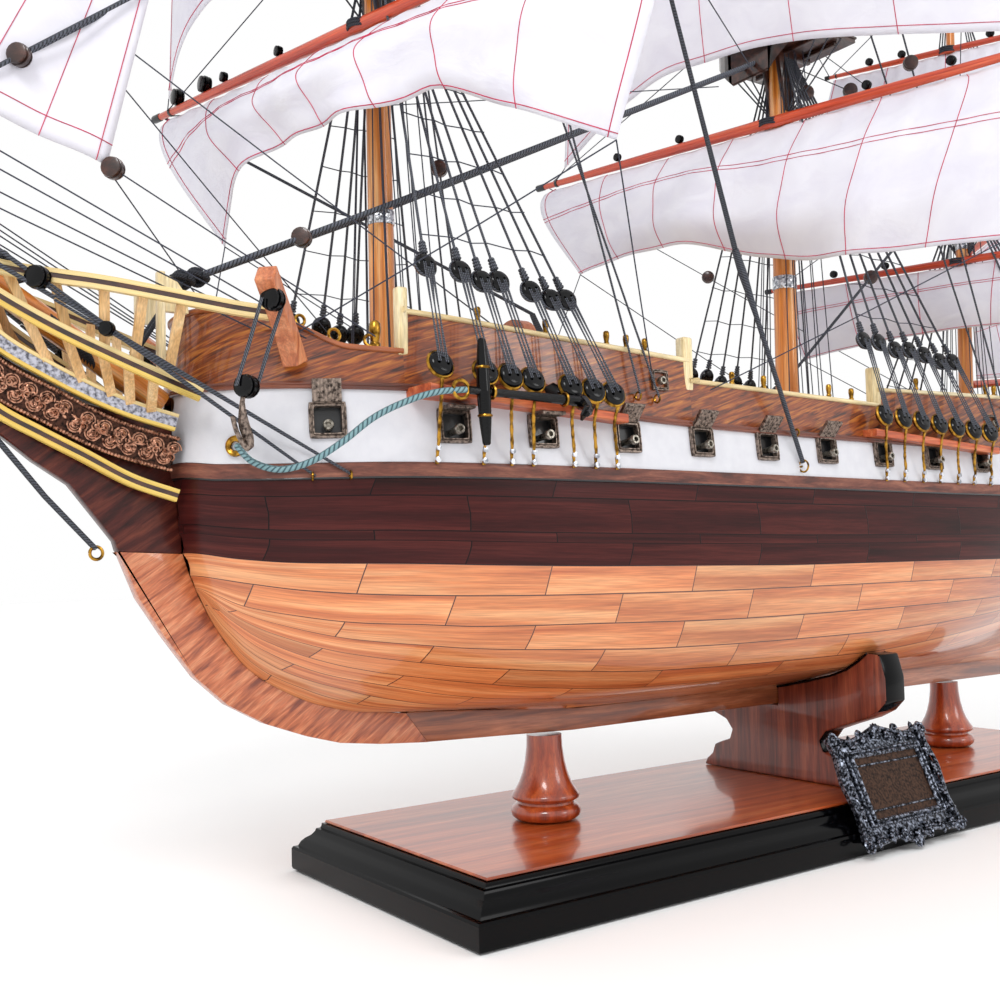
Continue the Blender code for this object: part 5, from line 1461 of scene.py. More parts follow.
shroud_rope = laid_cord("shroud_rope", "#0b0c0f", "#575a63", 0.0012)
thin_line = laid_cord("thin_rigging_line", "#15161c", "#3d4150", 0.0006)
low_eyes, high_eyes, strop_bits, chain_bits, pin_bits = [], [], [], [], []
shroud_bits, lanyard_bits, seizing_bits, ratline_bits = [], [], [], []
for mast, ((xf, zf), (xa, za), eyes) in CHANNELS.items():
    top = MASTS[mast][3]
    for side, hand in HAND.items():
        level_at = lambda x: za + (zf - za) * (x - xa) / (xf - xa)
        loops = []
        for x in evenly(xa, xf, 24):
            z = level_at(x)
            inner, eased = half_breadth(x, z) - 0.0006, CHANNEL_Y - 0.0004
            loops.append([(x, side * y, z + h) for y, h in
                          ((inner, -0.0017), (eased, -0.0017), (CHANNEL_Y, -0.0013),
                           (CHANNEL_Y, 0.0013), (eased, 0.0017), (inner, 0.0017))])
        keep(gather(mast + "_channel_plank_" + hand, [loft(loops)], angle=40), channel_wood, "cherry",
             mast + "_channel_" + hand)
        lines = []
        for k, x in enumerate(eyes):
            z = level_at(x)
            low = Vector((x, side * EYE_Y, z + EYE_RISE))
            spread = (k - (len(eyes) - 1) / 2) * 0.0011
            peak_at = Vector((mast_x(mast, top) - 0.001 - spread, side * 0.0052, top - 0.0030))
            along = (peak_at - low).normalized()
            out = Vector((0, side, 0))
            high = low + along * (UPPER_GAP[mast] + 0.0012 * math.sin(k * 2.3))
            low_frame, high_frame = frame_at(low, along, out), frame_at(high, along, out)
            low_eyes.append(low_frame @ Matrix.Scale(LOW_EYE_SIZE, 4))
            high_eyes.append(high_frame @ at((0, 0, 0), math.pi, size=HIGH_EYE_SIZE))
            strop_bits.append(ring(low_frame, 0.0049, 0.0008))
            seizing_bits.append(ring(high_frame, 0.0043, 0.0006))
            foot_x = x - 0.0045 + 0.0003 * (1 if k % 2 else -1)
            foot_z = BLACK_LINE(foot_x) + STRIP_TALL - 0.0006
            wall = lambda h: side * (half_breadth(foot_x, h) + 0.0012)
            hang, foot = Vector((x, side * 0.0712, z - 0.0020)), Vector((foot_x, wall(foot_z), foot_z))
            bend = hang.lerp(foot, 0.68) + Vector((0.0004, side * 0.0009, 0))
            chain = curve_through([low - along * 0.0048, hang, hang.lerp(foot, 0.4), bend,
                                   hang.lerp(foot, 0.78), foot], CHAIN_STEPS)
            twist = [0.00066 + 0.00010 * math.sin(i * 1.9) for i in range(CHAIN_STEPS)]
            chain_bits.append(tube(chain, twist, 7))
            for back in (2, 5):
                pin_bits.append(at(chain[-back] + Vector((0, side * 0.0008, 0))))
            for off in (-0.0015, 0.0, 0.0015):
                for twist_side in (-0.00042, 0.00042):
                    a = low_frame @ Vector((off + twist_side, 0.0019 if off == 0 else 0, 0.0023))
                    b = high_frame @ Vector((off - twist_side, -0.0017 if off == 0 else 0, 0.0020))
                    lanyard_bits.append(taut(a, b, LANYARD_THICK, 5))
            for turn_no in range(4):
                spot = high + along * (0.0056 + 0.0013 * turn_no)
                seizing_bits.append(ring(at(spot) @ pointing(along),
                                         0.0011 - 0.0001 * turn_no, 0.00065, 10, 5))
            shroud = [high + along * 0.0040, high.lerp(peak_at, 0.5), peak_at]
            shroud_bits.append(tube(shroud, SHROUD_THICK, 6))
            lines.append((high, peak_at))
        z = max(a.z for a, _ in lines) + 0.013
        while z < top - 0.020:
            path = []
            for a, b in lines:
                t = (z - a.z) / (b.z - a.z)
                sag = 0.0006 * math.sin(z * 900 + a.x * 300)
                path.append(a.lerp(b, t) + Vector((0, side * 0.0007, sag)))
            ratline_bits.append(tube(path, LANYARD_THICK, 4))
            z += RATLINE_RISE
keep(stamp("lower_deadeyes", deadeye, low_eyes), black_gloss, "black_paint")
keep(stamp("upper_deadeyes", deadeye, high_eyes), black_gloss, "black_paint")
keep(gather("brass_deadeye_strops", strop_bits), brass_wire, "pewter")
keep(gather("brass_chain_plates", chain_bits), brass_wire, "pewter")
pin = turned_pole("pin", (0, -0.0005, 0), (0, 0.0005, 0),
                  ((0, 0.0007), (0.1, 0.0011), (0.9, 0.0011), (1, 0.0007)), 12)
keep(stamp("chain_plate_pins", pin, pin_bits), steel_pin, "pewter")
keep(gather("deadeye_seizings", seizing_bits), shroud_rope, "black_paint")
keep(gather("deadeye_lanyards", lanyard_bits), shroud_rope, "black_paint")
keep(gather("lower_shrouds", shroud_bits), shroud_rope, "black_paint")
keep(gather("ratlines", ratline_bits, angle=80), thin_line, "black_paint")
scrap(pin)

# Topmast and topgallant rigging: thin shrouds from the rims of the tops to the crosstrees
# and on to the poles, set up with the same deadeyes at a smaller size.
upper_bits, small_eyes = [], []
for mast, (_, _, _, top, cap, head, truck, dia) in MASTS.items():
    half = TOP_HALF[mast]
    x, hx = mast_x(mast, top), mast_x(mast, head) + topmast_lead(dia)
    pole_x = hx + dia * TOPMAST_SHARE * POLE_LEAD
    for side in (1, -1):
        rungs = []
        for k, reach in enumerate((-0.55, -0.15, 0.25)):
            foot = Vector((x + half * TOP_DEEP * reach, side * half * 0.97, top + 0.0042))
            tip = Vector((hx - 0.002 + 0.003 * reach, side * 0.0042, head - 0.0200))
            along = (tip - foot).normalized()
            for lift in (0.0, 0.0125):
                eye = frame_at(foot + along * lift, along, (0, side, 0))
                small_eyes.append(eye @ Matrix.Scale(SMALL_EYE_SIZE, 4))
            upper_bits.append(tube([foot + along * 0.0146, tip], 0.00042, 5))
            upper_bits.append(tube([foot, foot + along * 0.0125], 0.0006, 5))
            below = top - 0.036
            anchorage = (mast_x(mast, below) + 0.002 * reach, side * dia * 0.42, below)
            upper_bits.append(tube([foot - Vector((0, 0, 0.0055)), anchorage], 0.00042, 5))
            rungs.append((foot + along * 0.0146, tip))
        z = rungs[0][0].z + 0.008
        while z < head - 0.045:
            rung = [a.lerp(b, (z - a.z) / (b.z - a.z)) for a, b in rungs]
            upper_bits.append(tube(rung, 0.00022, 4))
            z += RATLINE_RISE
        for reach in (-0.0060, 0.0080):
            upper_bits.append(tube([(hx + reach, side * 0.0148, head - 0.0168),
                                    (pole_x, side * 0.0012, head + (truck - head) * 0.62)], 0.0003, 5))
keep(stamp("topmast_deadeyes", deadeye, small_eyes), black_gloss, "black_paint")
scrap(deadeye)
keep(gather("upper_rigging", upper_bits), shroud_rope, "black_paint")


# Stays and running rigging: black laid cord for what holds the masts, thinner blue-black
# line for what works the yards and sails. Every line is rove taut and glued.
def on_yard(name, share):
    centre, across, _ = yard_frame(name)
    return centre + across * YARDS[name][2] * share


def clew_of(name, side):
    row = next(r for r in SQUARE_SAILS if r[0] == name)
    return square_place(row[1], *row[2:6], 0)(0.5 + 0.5 * side, 1.0)


def masthead(mast, z, lead=0.0):
    return Vector((mast_x(mast, z) + lead, 0, z))


def side_spot(x, z, side, out=0.0004):
    """Frame on the ship's side: X aft on the port side, Y up, Z straight out."""
    here = Vector((x, side * half_breadth(x, z), z))
    ahead_by = Vector((x + 0.001, side * half_breadth(x + 0.001, z), z)) - here
    above = Vector((x, side * half_breadth(x, z + 0.001), z + 0.001)) - here
    normal = ahead_by.cross(above).normalized()
    normal *= 1 if normal.y * side > 0 else -1
    return frame_at(here + normal * out, above, normal)


fore_lead = topmast_lead(MASTS["fore"][7])
main_lead = topmast_lead(MASTS["main"][7])
mizzen_lead = topmast_lead(MASTS["mizzen"][7])
sprit_at = lambda t: sprit_start.lerp(sprit_end, t) + Vector((0, 0, 0.0050))
boom_at = lambda t: boom_heel.lerp(boom_tip, t) + Vector((0, 0, 0.0026))
heavy, medium, fine = [], [], []
# Mast, height on it, lead ahead of the topmast, then x and z of the eye in the ship's side.
BACKSTAYS = (("fore", 0.5800, 0.0, 0.1335, 0.1985), ("main", 0.6100, 0.0, -0.1080, 0.1975),
             ("mizzen", 0.5000, 0.0, -0.2400, 0.2010), ("fore", 0.7100, 0.006, 0.1435, 0.1990),
             ("main", 0.7500, 0.007, -0.1180, 0.1975))
for side in (1, -1):
    heavy.append((masthead("fore", 0.4180) + Vector((0.006, side * 0.003, 0)),
                  sprit_at(0.74) + Vector((0, side * 0.0012, 0))))
    for mast, z, ahead_of, x, low in BACKSTAYS:
        tip = masthead(mast, z, topmast_lead(MASTS[mast][7]) + ahead_of)
        medium.append((tip, side_spot(x, low, side, 0.0036).translation))
heavy.append((masthead("mizzen", 0.3720), masthead("main", 0.2300, -0.0035)))
medium.append((masthead("main", 0.6050, main_lead + 0.004), masthead("fore", 0.4280, 0.004)))
medium.append((masthead("main", 0.7500, main_lead + 0.008), masthead("fore", 0.5860, fore_lead)))
medium.append((masthead("mizzen", 0.4950, mizzen_lead + 0.003), masthead("main", 0.4440, 0.004)))
medium.append((masthead("mizzen", 0.6100, mizzen_lead + 0.005), masthead("main", 0.4560, main_lead)))
stay_rope = laid_cord("three_strand_stay_rope", "#08090c", "#5a5e68", 0.0020)
keep(gather("heavy_stays", [taut(a, b, 0.00085, 8) for a, b in heavy]), stay_rope, "black_paint")
MAIN_STAY = ((0.3010, 0.0012, 0.2425), (0.2234, 0.0088, 0.2798), (0.1000, 0.0058, 0.3420),
             (-0.0110, 0.0030, 0.3975))
legs = [tube([(x, side * y, z) for x, y, z in MAIN_STAY], 0.0012, 10) for side in (1, -1)]
keep(gather("laid_main_stay", legs), stay_rope, "black_paint", "main_stay")
for name, stay in (("fore_topmast_stay", TOPMAST_STAY), ("jib_stay", JIB_STAY)):
    keep(gather("laid_" + name, [taut(*stay, 0.0008, 8)]), stay_rope, "black_paint", name)
keep(gather("topmast_stays", [taut(a, b, 0.0005, 6) for a, b in medium]), shroud_rope,
     "black_paint")
# Heights where the yards' lifts are made fast, in the order of the yards.
LIFTS = (0.425, 0.585, 0.735, 0.442, 0.615, 0.780, 0.380, 0.505)
for (name, mast, *_), lift_z in zip(SPAR_TABLE, LIFTS):
    lead = 0.0 if lift_z < MASTS[mast][4] else topmast_lead(MASTS[mast][7])
    for side in (1, -1):
        fine.append((on_yard(name, 0.95 * side), masthead(mast, lift_z, lead)))
for side in (1, -1):
    fine += [
        (on_yard("fore_course_yard", 0.96 * side), Vector((0.0100, side * 0.012, 0.3830))),
        (on_yard("fore_topsail_yard", 0.96 * side), masthead("main", 0.4360, 0.006)),
        (on_yard("fore_topgallant_yard", 0.96 * side), masthead("main", 0.6080, main_lead)),
        (on_yard("main_course_yard", 0.96 * side), Vector((-0.2620, side * 0.052, 0.2230))),
        (on_yard("main_topsail_yard", 0.96 * side), masthead("mizzen", 0.3800, 0.002)),
        (on_yard("main_topgallant_yard", 0.96 * side), masthead("mizzen", 0.5000, mizzen_lead)),
        (on_yard("crossjack_yard", 0.96 * side), masthead("main", 0.4000, -0.006)),
        (on_yard("mizzen_topsail_yard", 0.96 * side), masthead("main", 0.4400, -0.004)),
        (clew_of("fore_course", side), Vector((0.1300, side * 0.0590, 0.2080))),
        (clew_of("fore_course", side), Vector((0.2830, side * 0.0440, 0.2150))),
        (clew_of("main_course", side), Vector((-0.1200, side * 0.0600, 0.2080))),
        (clew_of("main_course", side), Vector((0.1100, side * 0.0590, 0.2000))),
        (clew_of("crossjack_sail", side), Vector((-0.2500, side * 0.0520, 0.2100))),
        (clew_of("fore_topsail", side), on_yard("fore_course_yard", 0.93 * side)),
        (clew_of("main_topsail", side), on_yard("main_course_yard", 0.93 * side)),
        (clew_of("fore_topgallant", side), on_yard("fore_topsail_yard", 0.93 * side)),
        (clew_of("main_topgallant", side), on_yard("main_topsail_yard", 0.93 * side)),
        (clew_of("mizzen_topsail", side), on_yard("crossjack_yard", 0.88 * side)),
        (peak + Vector((-0.004, 0, 0.004)), Vector((-0.2900, side * 0.0400, 0.2230))),
        (sprit_at(0.95), Vector((0.2900, side * 0.0330, 0.2160))),
        (boom_at(0.30), Vector((0.2860, side * 0.0380, 0.2160))),
        (boom_at(0.62), Vector((0.2780, side * 0.0420, 0.2140))),
        (boom_at(0.92), Vector((0.2690, side * 0.0450, 0.2120))),
        (Vector((0.3345, 0.001 * side, 0.2782)), Vector((0.2560, side * 0.0520, 0.2150))),
        (Vector((0.3560, -0.0180, 0.3500)), Vector((0.2000, side * 0.0560, 0.2190))),
    ]
fine.append((Vector((-0.3300, 0, 0.2540)), masthead("mizzen", 0.5000, mizzen_lead)))
fine.append((peak, masthead("mizzen", 0.3800)))
fine.append((beside_stay(JIB_STAY, 0.15, 0.001), masthead("fore", 0.7300, fore_lead + 0.005)))
for mast, lead, heights in (("fore", fore_lead, (0.40, 0.43, 0.52, 0.585)),
                            ("main", main_lead, (0.41, 0.445, 0.54, 0.615)),
                            ("mizzen", mizzen_lead, (0.36, 0.382, 0.44))):
    x_low = mast_x(mast, 0.21)
    for k, z in enumerate(heights):
        for side in (1, -1):
            for j in (0, 1):
                ahead_of = 0.010 - 0.008 * k - 0.004 * j
                fine.append((Vector((mast_x(mast, z) + 0.004, side * 0.004, z)),
                             Vector((x_low + ahead_of, side * (0.010 + 0.006 * j), 0.2040))))
keep(gather("running_rigging", [tube([a, a.lerp(b, 0.5) - Vector((0, 0, 0.0006)), b], 0.00028, 5)
                                for a, b in fine]), thin_line, "black_paint")

# Gunports: cast frames with a double raised edge, glued over square holes, each with its
# ribbed lid cast on and a gun's muzzle glued in a black lining. The main channel sits right
# on its ports' frames, so those have no lid.
def cast_bronze(name, dark, pale, gloss=0.42, patinated=0.0):
    """Dark patinated casting metal, bright on its raised grains."""
    mat, skin = begin(name, pale, gloss, metallic=0.85)
    place = add(mat, "ShaderNodeTexCoord", {})
    patina = noise(mat, place.outputs["Object"], 0.0012, 5.0)
    tint(mat, skin, patina.outputs["Fac"], (0.34 + patinated, dark), (0.60 + patinated, pale))
    emboss(mat, skin, patina.outputs["Fac"], 0.5, 0.0002)
    return mat


def square_loop(half_wide, half_tall, out):
    """A square with rounded corners, standing out from the side by out."""
    count, power = 28, 18
    loop = []
    for i in range(count):
        c, s = math.cos(TURN * (i + 0.5) / count), math.sin(TURN * (i + 0.5) / count)
        size = (abs(c) ** power + abs(s) ** power) ** (-1 / power)
        loop.append((half_wide * c * size, half_tall * s * size, out))
    return loop


FRAME_PROFILE = ((1.0, -0.0006), (1.0, 0.0010), (0.97, 0.0015), (0.91, 0.0015), (0.88, 0.0009),
                 (0.83, 0.0009), (0.80, 0.0016), (0.74, 0.0016), (0.71, 0.0010), (0.70, -0.0008))
LINING_PROFILE = ((0.71, 0.0008), (0.71, -0.0026), (0.02, -0.0026))
FRAME_WIDE, FRAME_TALL = 0.0066, 0.0065
frame_mould, lining_mould = [[square_loop(FRAME_WIDE * k, FRAME_TALL * k, out) for k, out in profile]
                             for profile in (FRAME_PROFILE, LINING_PROFILE)]
port_frame = gather("port_frame", [loft(frame_mould + frame_mould[:1], caps=False)], angle=50)
lining = gather("lining", [loft(lining_mould, caps=False)], angle=50)
LID_HALF = 0.0051
lid_loops = []
for i, x in enumerate(evenly(-LID_HALF, LID_HALF, 16)):
    face_out = 0.0008 + (0.0003 if i % 2 else 0.0)
    lid_loops.append([(x, 0.0, -0.0006), (x, 0.0076, -0.0006), (x, 0.0080, -0.0002),
                      (x, 0.0080, 0.0006), (x, 0.0076, face_out), (x, 0.0, face_out)])
port_lid = gather("port_lid", [loft(lid_loops)], smooth=False)
muzzle = turned_pole("muzzle", (0, 0, -0.0055), (0, 0, 0.0030),
                     ((0, 0.0012), (0.72, 0.0014), (0.76, 0.0019), (0.92, 0.0020), (1, 0.0017),
                      (1, 0.0010), (0.75, 0.0009)), 20)
# How far the lids swing out, in degrees: the foremost, those under a channel, the rest.
UPRIGHT_LID, FLAT_LID, OPEN_LID = 8, 96, 46
bronze = cast_bronze("patinated_bronze_casting", "#2c2320", "#95857a")
frames, lids, muzzles = [], [], []
for side in (1, -1):
    for k, x in enumerate(PORT_X):
        spot = side_spot(x, PORT_Z(x), side)
        frames.append(spot)
        over = [name for name, (fore, aft, _) in CHANNELS.items()
                if aft[0] - 0.004 < x < fore[0] + 0.004]
        swing = math.radians(UPRIGHT_LID if k == 0 else FLAT_LID if over else OPEN_LID)
        if "main" not in over:
            lids.append(spot @ at((0, 0.0064, 0.0012), swing, "X"))
        muzzles.append(spot @ at((0, -0.0020, 0.0026 if k else 0.0)))
    for x, z in ((0.1298, 0.2068), (-0.1065, 0.2010)):
        spot = side_spot(x, z, side)
        frames.append(spot @ Matrix.Scale(0.66, 4))
        muzzles.append(spot @ at((0, -0.0004, 0), size=0.9))
keep(stamp("gunport_frames", port_frame, frames), bronze, "pewter")
keep(stamp("gunport_linings", lining, frames, outward=False), black_satin, "black_paint")
keep(stamp("gunport_lids", port_lid, lids, smooth=False), bronze, "pewter")
gun_metal = cast_bronze("gun_metal", "#4b463f", "#b5aea2", 0.3)
keep(stamp("gun_muzzles", muzzle, muzzles), gun_metal, "pewter")
scrap(port_frame, lining, port_lid, muzzle)

# Small brass: hawse rings, ring eyes for the stays and tackles, and turned belaying pins
# along the rails.
RAIL_Z, BITT_X = 0.212, 0.2535
eye_bits, pin_places = [], []
for side in (1, -1):
    hawse = side_spot(0.2998, 0.1762, side, 0.0012)
    for thick, wide in ((0.0009, 0.0029), (0.0007, 0.0022)):
        eye_bits.append(ring(hawse, wide, thick, 28, 8))
    eye_bits.append(ring(hawse @ at((0, 0, -0.0024)), 0.0018, 0.0010, 20, 6))
    for x, z, wide in ((0.0492, 0.1732, 0.0026), (0.0512, 0.1883, 0.0014), (0.2781, 0.1651, 0.0014),
                       (0.2662, 0.1655, 0.0014)):
        eye_bits += ring_eye(side_spot(x, z, side, 0.0024), wide, 20, -0.0008)
    for _, _, _, x, z in BACKSTAYS:
        eye_bits += ring_eye(side_spot(x, z, side, 0.0022), 0.0016, 18, -0.0012)
    for x, wide in ((0.2790, 0.0022), (0.2680, 0.0026), (0.2560, 0.0024)):
        y = side * (half_breadth(x, RAIL_Z) - 0.0030)
        z = by_table(RUNS[3][3])(x) + 0.0021 + wide
        eye_bits.append(ring(at((x, y, z), math.pi / 2, "X"), wide - 0.0004, 0.0006, 20, 7))
        eye_bits.append(tube([(x, y, z - wide - 0.0030), (x, y, z - wide + 0.0004)], 0.0007, 7))
    for x, rail_z in ((0.1553, 0.2180), (0.1451, 0.2174), (0.1351, 0.2168), (0.0209, 0.2058),
                      (0.0047, 0.2050), (-0.0460, 0.2135), (-0.1071, 0.2146), (-0.1151, 0.2148),
                      (-0.1700, 0.2155), (0.1850, 0.2198), (0.2150, 0.2220), (0.0650, 0.2066),
                      (0.0850, 0.2068)):
        y = half_breadth(x, RAIL_Z) - 0.0016
        pin_places.append(at((x, side * y, rail_z + 0.0012)))
    y = half_breadth(BITT_X, RAIL_Z) - 0.0040
    pin_places.append(at((BITT_X, side * y, 0.2115), size=1.7))
eye_bits.append(ring(at((0.3390, 0, 0.1405), math.pi / 2, "X"), 0.0022, 0.0006, 22, 7))
keep(gather("brass_ring_eyes", eye_bits), brass_wire, "pewter")
belaying_pin = turned_pole("belaying_pin", (0, 0, -0.0040), (0, 0, 0.0060),
                           ((0, 0.0004), (0.40, 0.0006), (0.44, 0.0012), (0.52, 0.0012), (0.56, 0.0009),
                            (0.80, 0.0013), (0.95, 0.0012), (1, 0.0008)), 12)
keep(stamp("brass_belaying_pins", belaying_pin, pin_places), brass_wire, "pewter")
scrap(belaying_pin)

# Anchors: black-lacquered castings, lashed flat on the fore channels. Each has a tapered
# stock with brass hoops, a shank, and two curved arms with spade-shaped flukes.
hoop_bits = []
STOCK = ((0, 0.0026), (0.55, 0.0022), (0.90, 0.0016), (0.97, 0.0015), (1, 0.0009))
for side, hand in HAND.items():
    y = side * 0.0759
    ring_end, crown = Vector((0.2330, y, 0.1942)), Vector((0.1820, y, 0.1932))
    anchor_bits = [turned_pole("shank", ring_end, crown, ((0, 0.0015), (0.5, 0.0016), (1, 0.0021)), 10)]
    for end in (0.2130, 0.1750):
        middle = Vector((0.2264, y, 0.1940))
        tip = Vector((0.2268 if end > 0.2 else 0.2256, y, end))
        anchor_bits.append(turned_pole("stock", middle, tip, STOCK, 14))
        hoop_bits.append(ring(at(middle.lerp(tip, 0.45)), 0.0023, 0.0005, 16, 6))
    centre = Vector((0.1962, y, 0.1928))
    arc = [centre + Vector((math.cos(a), side * math.sin(a) * 0.86, -math.sin(a) * 0.5)) * 0.0142
           for a in (math.radians(degrees) for degrees in evenly(125, 235, 24))]
    thick = [0.0030 - 0.0018 * abs(i - 12) / 12 for i in range(25)]
    anchor_bits.append(gather("arms", [tube(arc, thick, 8)]))
    for end in (0, -1):
        near = arc[1] if end == 0 else arc[-2]
        point = (arc[end] - near).normalized()
        inward = (centre - arc[end]).normalized()
        spade = [arc[end] + point * a + Vector((0, b * 0.5, b * 0.86)) + inward * 0.0006
                 for a, b in ((0.0035, 0), (0.0005, 0.0030), (-0.0035, 0.0024), (-0.0042, 0),
                              (-0.0035, -0.0024), (0.0005, -0.0030))]
        back_face = [p + inward * 0.0009 for p in spade]
        anchor_bits.append(gather("fluke", [loft([spade, back_face])], angle=20))
    hoop_bits.append(ring(at(ring_end + Vector((0.0030, 0, 0)), 1.57, "X"), 0.0032, 0.0007, 24, 8))
    for t in (0.20, 0.84):
        hoop_bits.append(ring(at(ring_end.lerp(crown, t)) @ pointing(crown - ring_end),
                              0.0023, 0.0006, 16, 6))
    keep(join("cast_anchor_" + hand, anchor_bits), black_gloss, "black_paint", "anchor_" + hand)
keep(gather("anchor_hoops_and_rings", hoop_bits), brass_wire, "pewter")


# Catheads: square cherry timbers that stand out over the bow, each with a double block, its
# falls and a bronze hook for the anchor.
CORNERS = ((-1, -1), (1, -1), (1, 1), (-1, 1))


def bar(points, half_wide, half_tall):
    """A squared timber along points; its sides stay upright in plan."""
    pts = [Vector(p) for p in points]
    loops = []
    for i, here in enumerate(pts):
        along = heading(pts, i).normalized()
        flat = along.cross(Vector((0, 0, 1))).normalized()
        above = flat.cross(along)
        loops.append([here + flat * a * half_wide + above * b * half_tall for a, b in CORNERS])
    return loft(loops)


pulley = turned_pole("pulley", (-0.0026, 0, 0), (0.0026, 0, 0),
                     ((0, 0.0028), (0.05, 0.0036), (0.17, 0.0038), (0.22, 0.0029), (0.30, 0.0029),
                      (0.36, 0.0040), (0.64, 0.0040), (0.70, 0.0029), (0.78, 0.0029),
                      (0.83, 0.0038), (0.95, 0.0036), (1, 0.0028)), 16)
cathead_bits, falls, hook_bits, black_pulleys = [], [], [], []
for side in (1, -1):
    path = [(0.2836, 0.0445, 0.2040), (0.2850, 0.0452, 0.2075), (0.2880, 0.0480, 0.2125),
            (0.2940, 0.0545, 0.2195), (0.3030, 0.0640, 0.2295)]
    fat = gather("cathead", [bar([(x, side * y, z) for x, y, z in path], 0.0033, 0.0034)], angle=30)
    cathead_bits.append(shape(fat, "BEVEL", width=0.0005, segments=2, limit_method="ANGLE"))
    high, low = Vector((0.2996, side * 0.0620, 0.2215)), Vector((0.3074, side * 0.0580, 0.1928))
    for spot in (high, low):
        black_pulleys.append(at(spot, 0.5 * side))
    for k in range(4):
        off = Vector((0.0012 * (k % 2) - 0.0006, 0.0012 * (k // 2) - 0.0006, 0))
        wide = Vector((0.0030 * (1 if k % 2 else -1), 0, 0))
        middle = high.lerp(low, 0.5) + off * 1.4 + wide * 0.9
        falls.append(tube([high + off + wide * 1.1, middle, low + off + wide], 0.0004, 6))
    hook = [low + Vector((dx, 0, dz)) for dx, dz in
            ((0.0012, -0.0030), (0.0016, -0.0060), (0.0012, -0.0120), (-0.0004, -0.0170),
             (-0.0006, -0.0200), (0.0014, -0.0188), (0.0036, -0.0150), (0.0050, -0.0100))]
    swell = [0.0008 + 0.0012 * math.sin(math.pi * min(i / 18, 1)) ** 2 for i in range(24)]
    hook_bits.append(tube(curve_through(hook, 24), swell, 8))
cathead_wood = wood("cherry_timber", "#a8542c", "#c97548", "#e2986a", figure=0.004, pore=0.0006,
                    along=(1, 1, 1 / 8), gloss=0.5, coat=0.25)
keep(join("cherry_catheads", cathead_bits), cathead_wood, "cherry", "cathead_port", "cathead_starboard")
keep(gather("cathead_falls", falls), shroud_rope, "black_paint")
keep(gather("cathead_hooks", hook_bits), bronze, "pewter")

# Blocks: turned wooden pulleys threaded on the lines, brown or black, and the heavy ropes
# of the bow: bobstay, bowsprit shrouds and the fore braces' tackles.
ropes = heavy + medium + fine + [TOPMAST_STAY, JIB_STAY]
for side in (1, -1):
    ropes.append([Vector((x, side * y, z)) for x, y, z in MAIN_STAY[:2]])


def on_rope(spot):
    """The place on a rope that stands nearest to the camera's sight of a spot."""
    sight = (Vector(spot) - EYE).normalized()
    best = None
    for a, b in ropes:
        for i in range(2, 99):
            here = a.lerp(b, i / 100)
            away = here - EYE
            cost = (away - sight * away.dot(sight)).length + 0.03 * (here - Vector(spot)).length
            if best is None or cost < best[0]:
                best = (cost, here)
    return best[1]


BROWN = ((0.3642, 0, 0.3128), (0.3342, 0, 0.2782), (0.2850, 0.050, 0.2999),
         (0.2700, 0.050, 0.3102), (0.2257, 0.050, 0.2830), (0.2597, 0, 0.2641),
         (0.0131, 0.050, 0.3587), (-0.0195, 0.050, 0.3692), (-0.0602, 0.050, 0.3888),
         (0.0840, 0.050, 0.2605), (-0.0185, 0.050, 0.2761))
brown_pulleys = []
for x, y, z in BROWN:
    spot = on_rope((x, y, z))
    for side in ((1, -1) if abs(spot.y) > 0.004 and x < 0.1 else (1,)):
        brown_pulleys.append(at((spot.x, side * spot.y, spot.z), 0.8 * side))
centre, across, _ = yard_frame("fore_course_yard")
for share in (-0.87, -0.72):
    above = centre + across * YARDS["fore_course_yard"][2] * share + Vector((0, 0, 0.0058))
    black_pulleys.append(at(above))
for name, row in YARDS.items():
    centre, across, _ = yard_frame(name)
    for share in (-0.62, -0.35, 0.35, 0.62):
        above = centre + across * row[2] * share + Vector((0, 0, row[3] / 2 + 0.0022))
        black_pulleys.append(at(above, size=0.6))
bow_bits = []
for side in (1, -1):
    for k, eye in enumerate(((0.2781, 0.0475, 0.1651), (0.2662, 0.0520, 0.1655))):
        end = Vector((eye[0], side * eye[1], eye[2]))
        start = Vector((0.4200, side * 0.0035, 0.2730 - 0.011 * k))
        split = start.lerp(end, 0.40)
        heart = at(start.lerp(end, 0.40 + 0.10 * k), 0.7 * side)
        black_pulleys.append(heart @ Matrix.Scale(1.0 - 0.35 * k, 4))
        bow_bits.append(tube([start, split], 0.0008, 8))
        for off in (-0.0007, 0.0007):
            bow_bits.append(tube([split + Vector((0, 0, off)), end], 0.00052, 7))
    yard_end = on_yard("fore_course_yard", 0.96 * side)
    knot = Vector((0.0924, side * 0.0720, 0.2641))
    anchor_eye = Vector((0.0492, side * 0.0675, 0.1750))
    for off in (-0.0008, 0.0008):
        bow_bits.append(tube([yard_end, knot + Vector((off, 0, 0))], 0.0007, 7))
    bow_bits.append(tube([knot, knot.lerp(anchor_eye, 0.10), knot.lerp(anchor_eye, 0.3), anchor_eye],
                         (0.0015, 0.0019, 0.0011, 0.0010), 8))
for off in (-0.0009, 0.0009):
    bobstay = [(0.3392, off, 0.1420), (0.3560, off, 0.1600), (0.4520, off * 2, 0.2790)]
    bow_bits.append(tube(bobstay, 0.0008, 7))
served_rope = laid_cord("served_black_rope", "#0b0c0f", "#484b54", 0.0014)
keep(gather("bow_ropes_and_brace_tackles", bow_bits), served_rope, "black_paint")
keep(stamp("black_pulley_blocks", pulley, black_pulleys), black_gloss, "black_paint")
keep(stamp("brown_pulley_blocks", pulley, brown_pulleys), dark_oak, "dark_wood")
scrap(pulley)

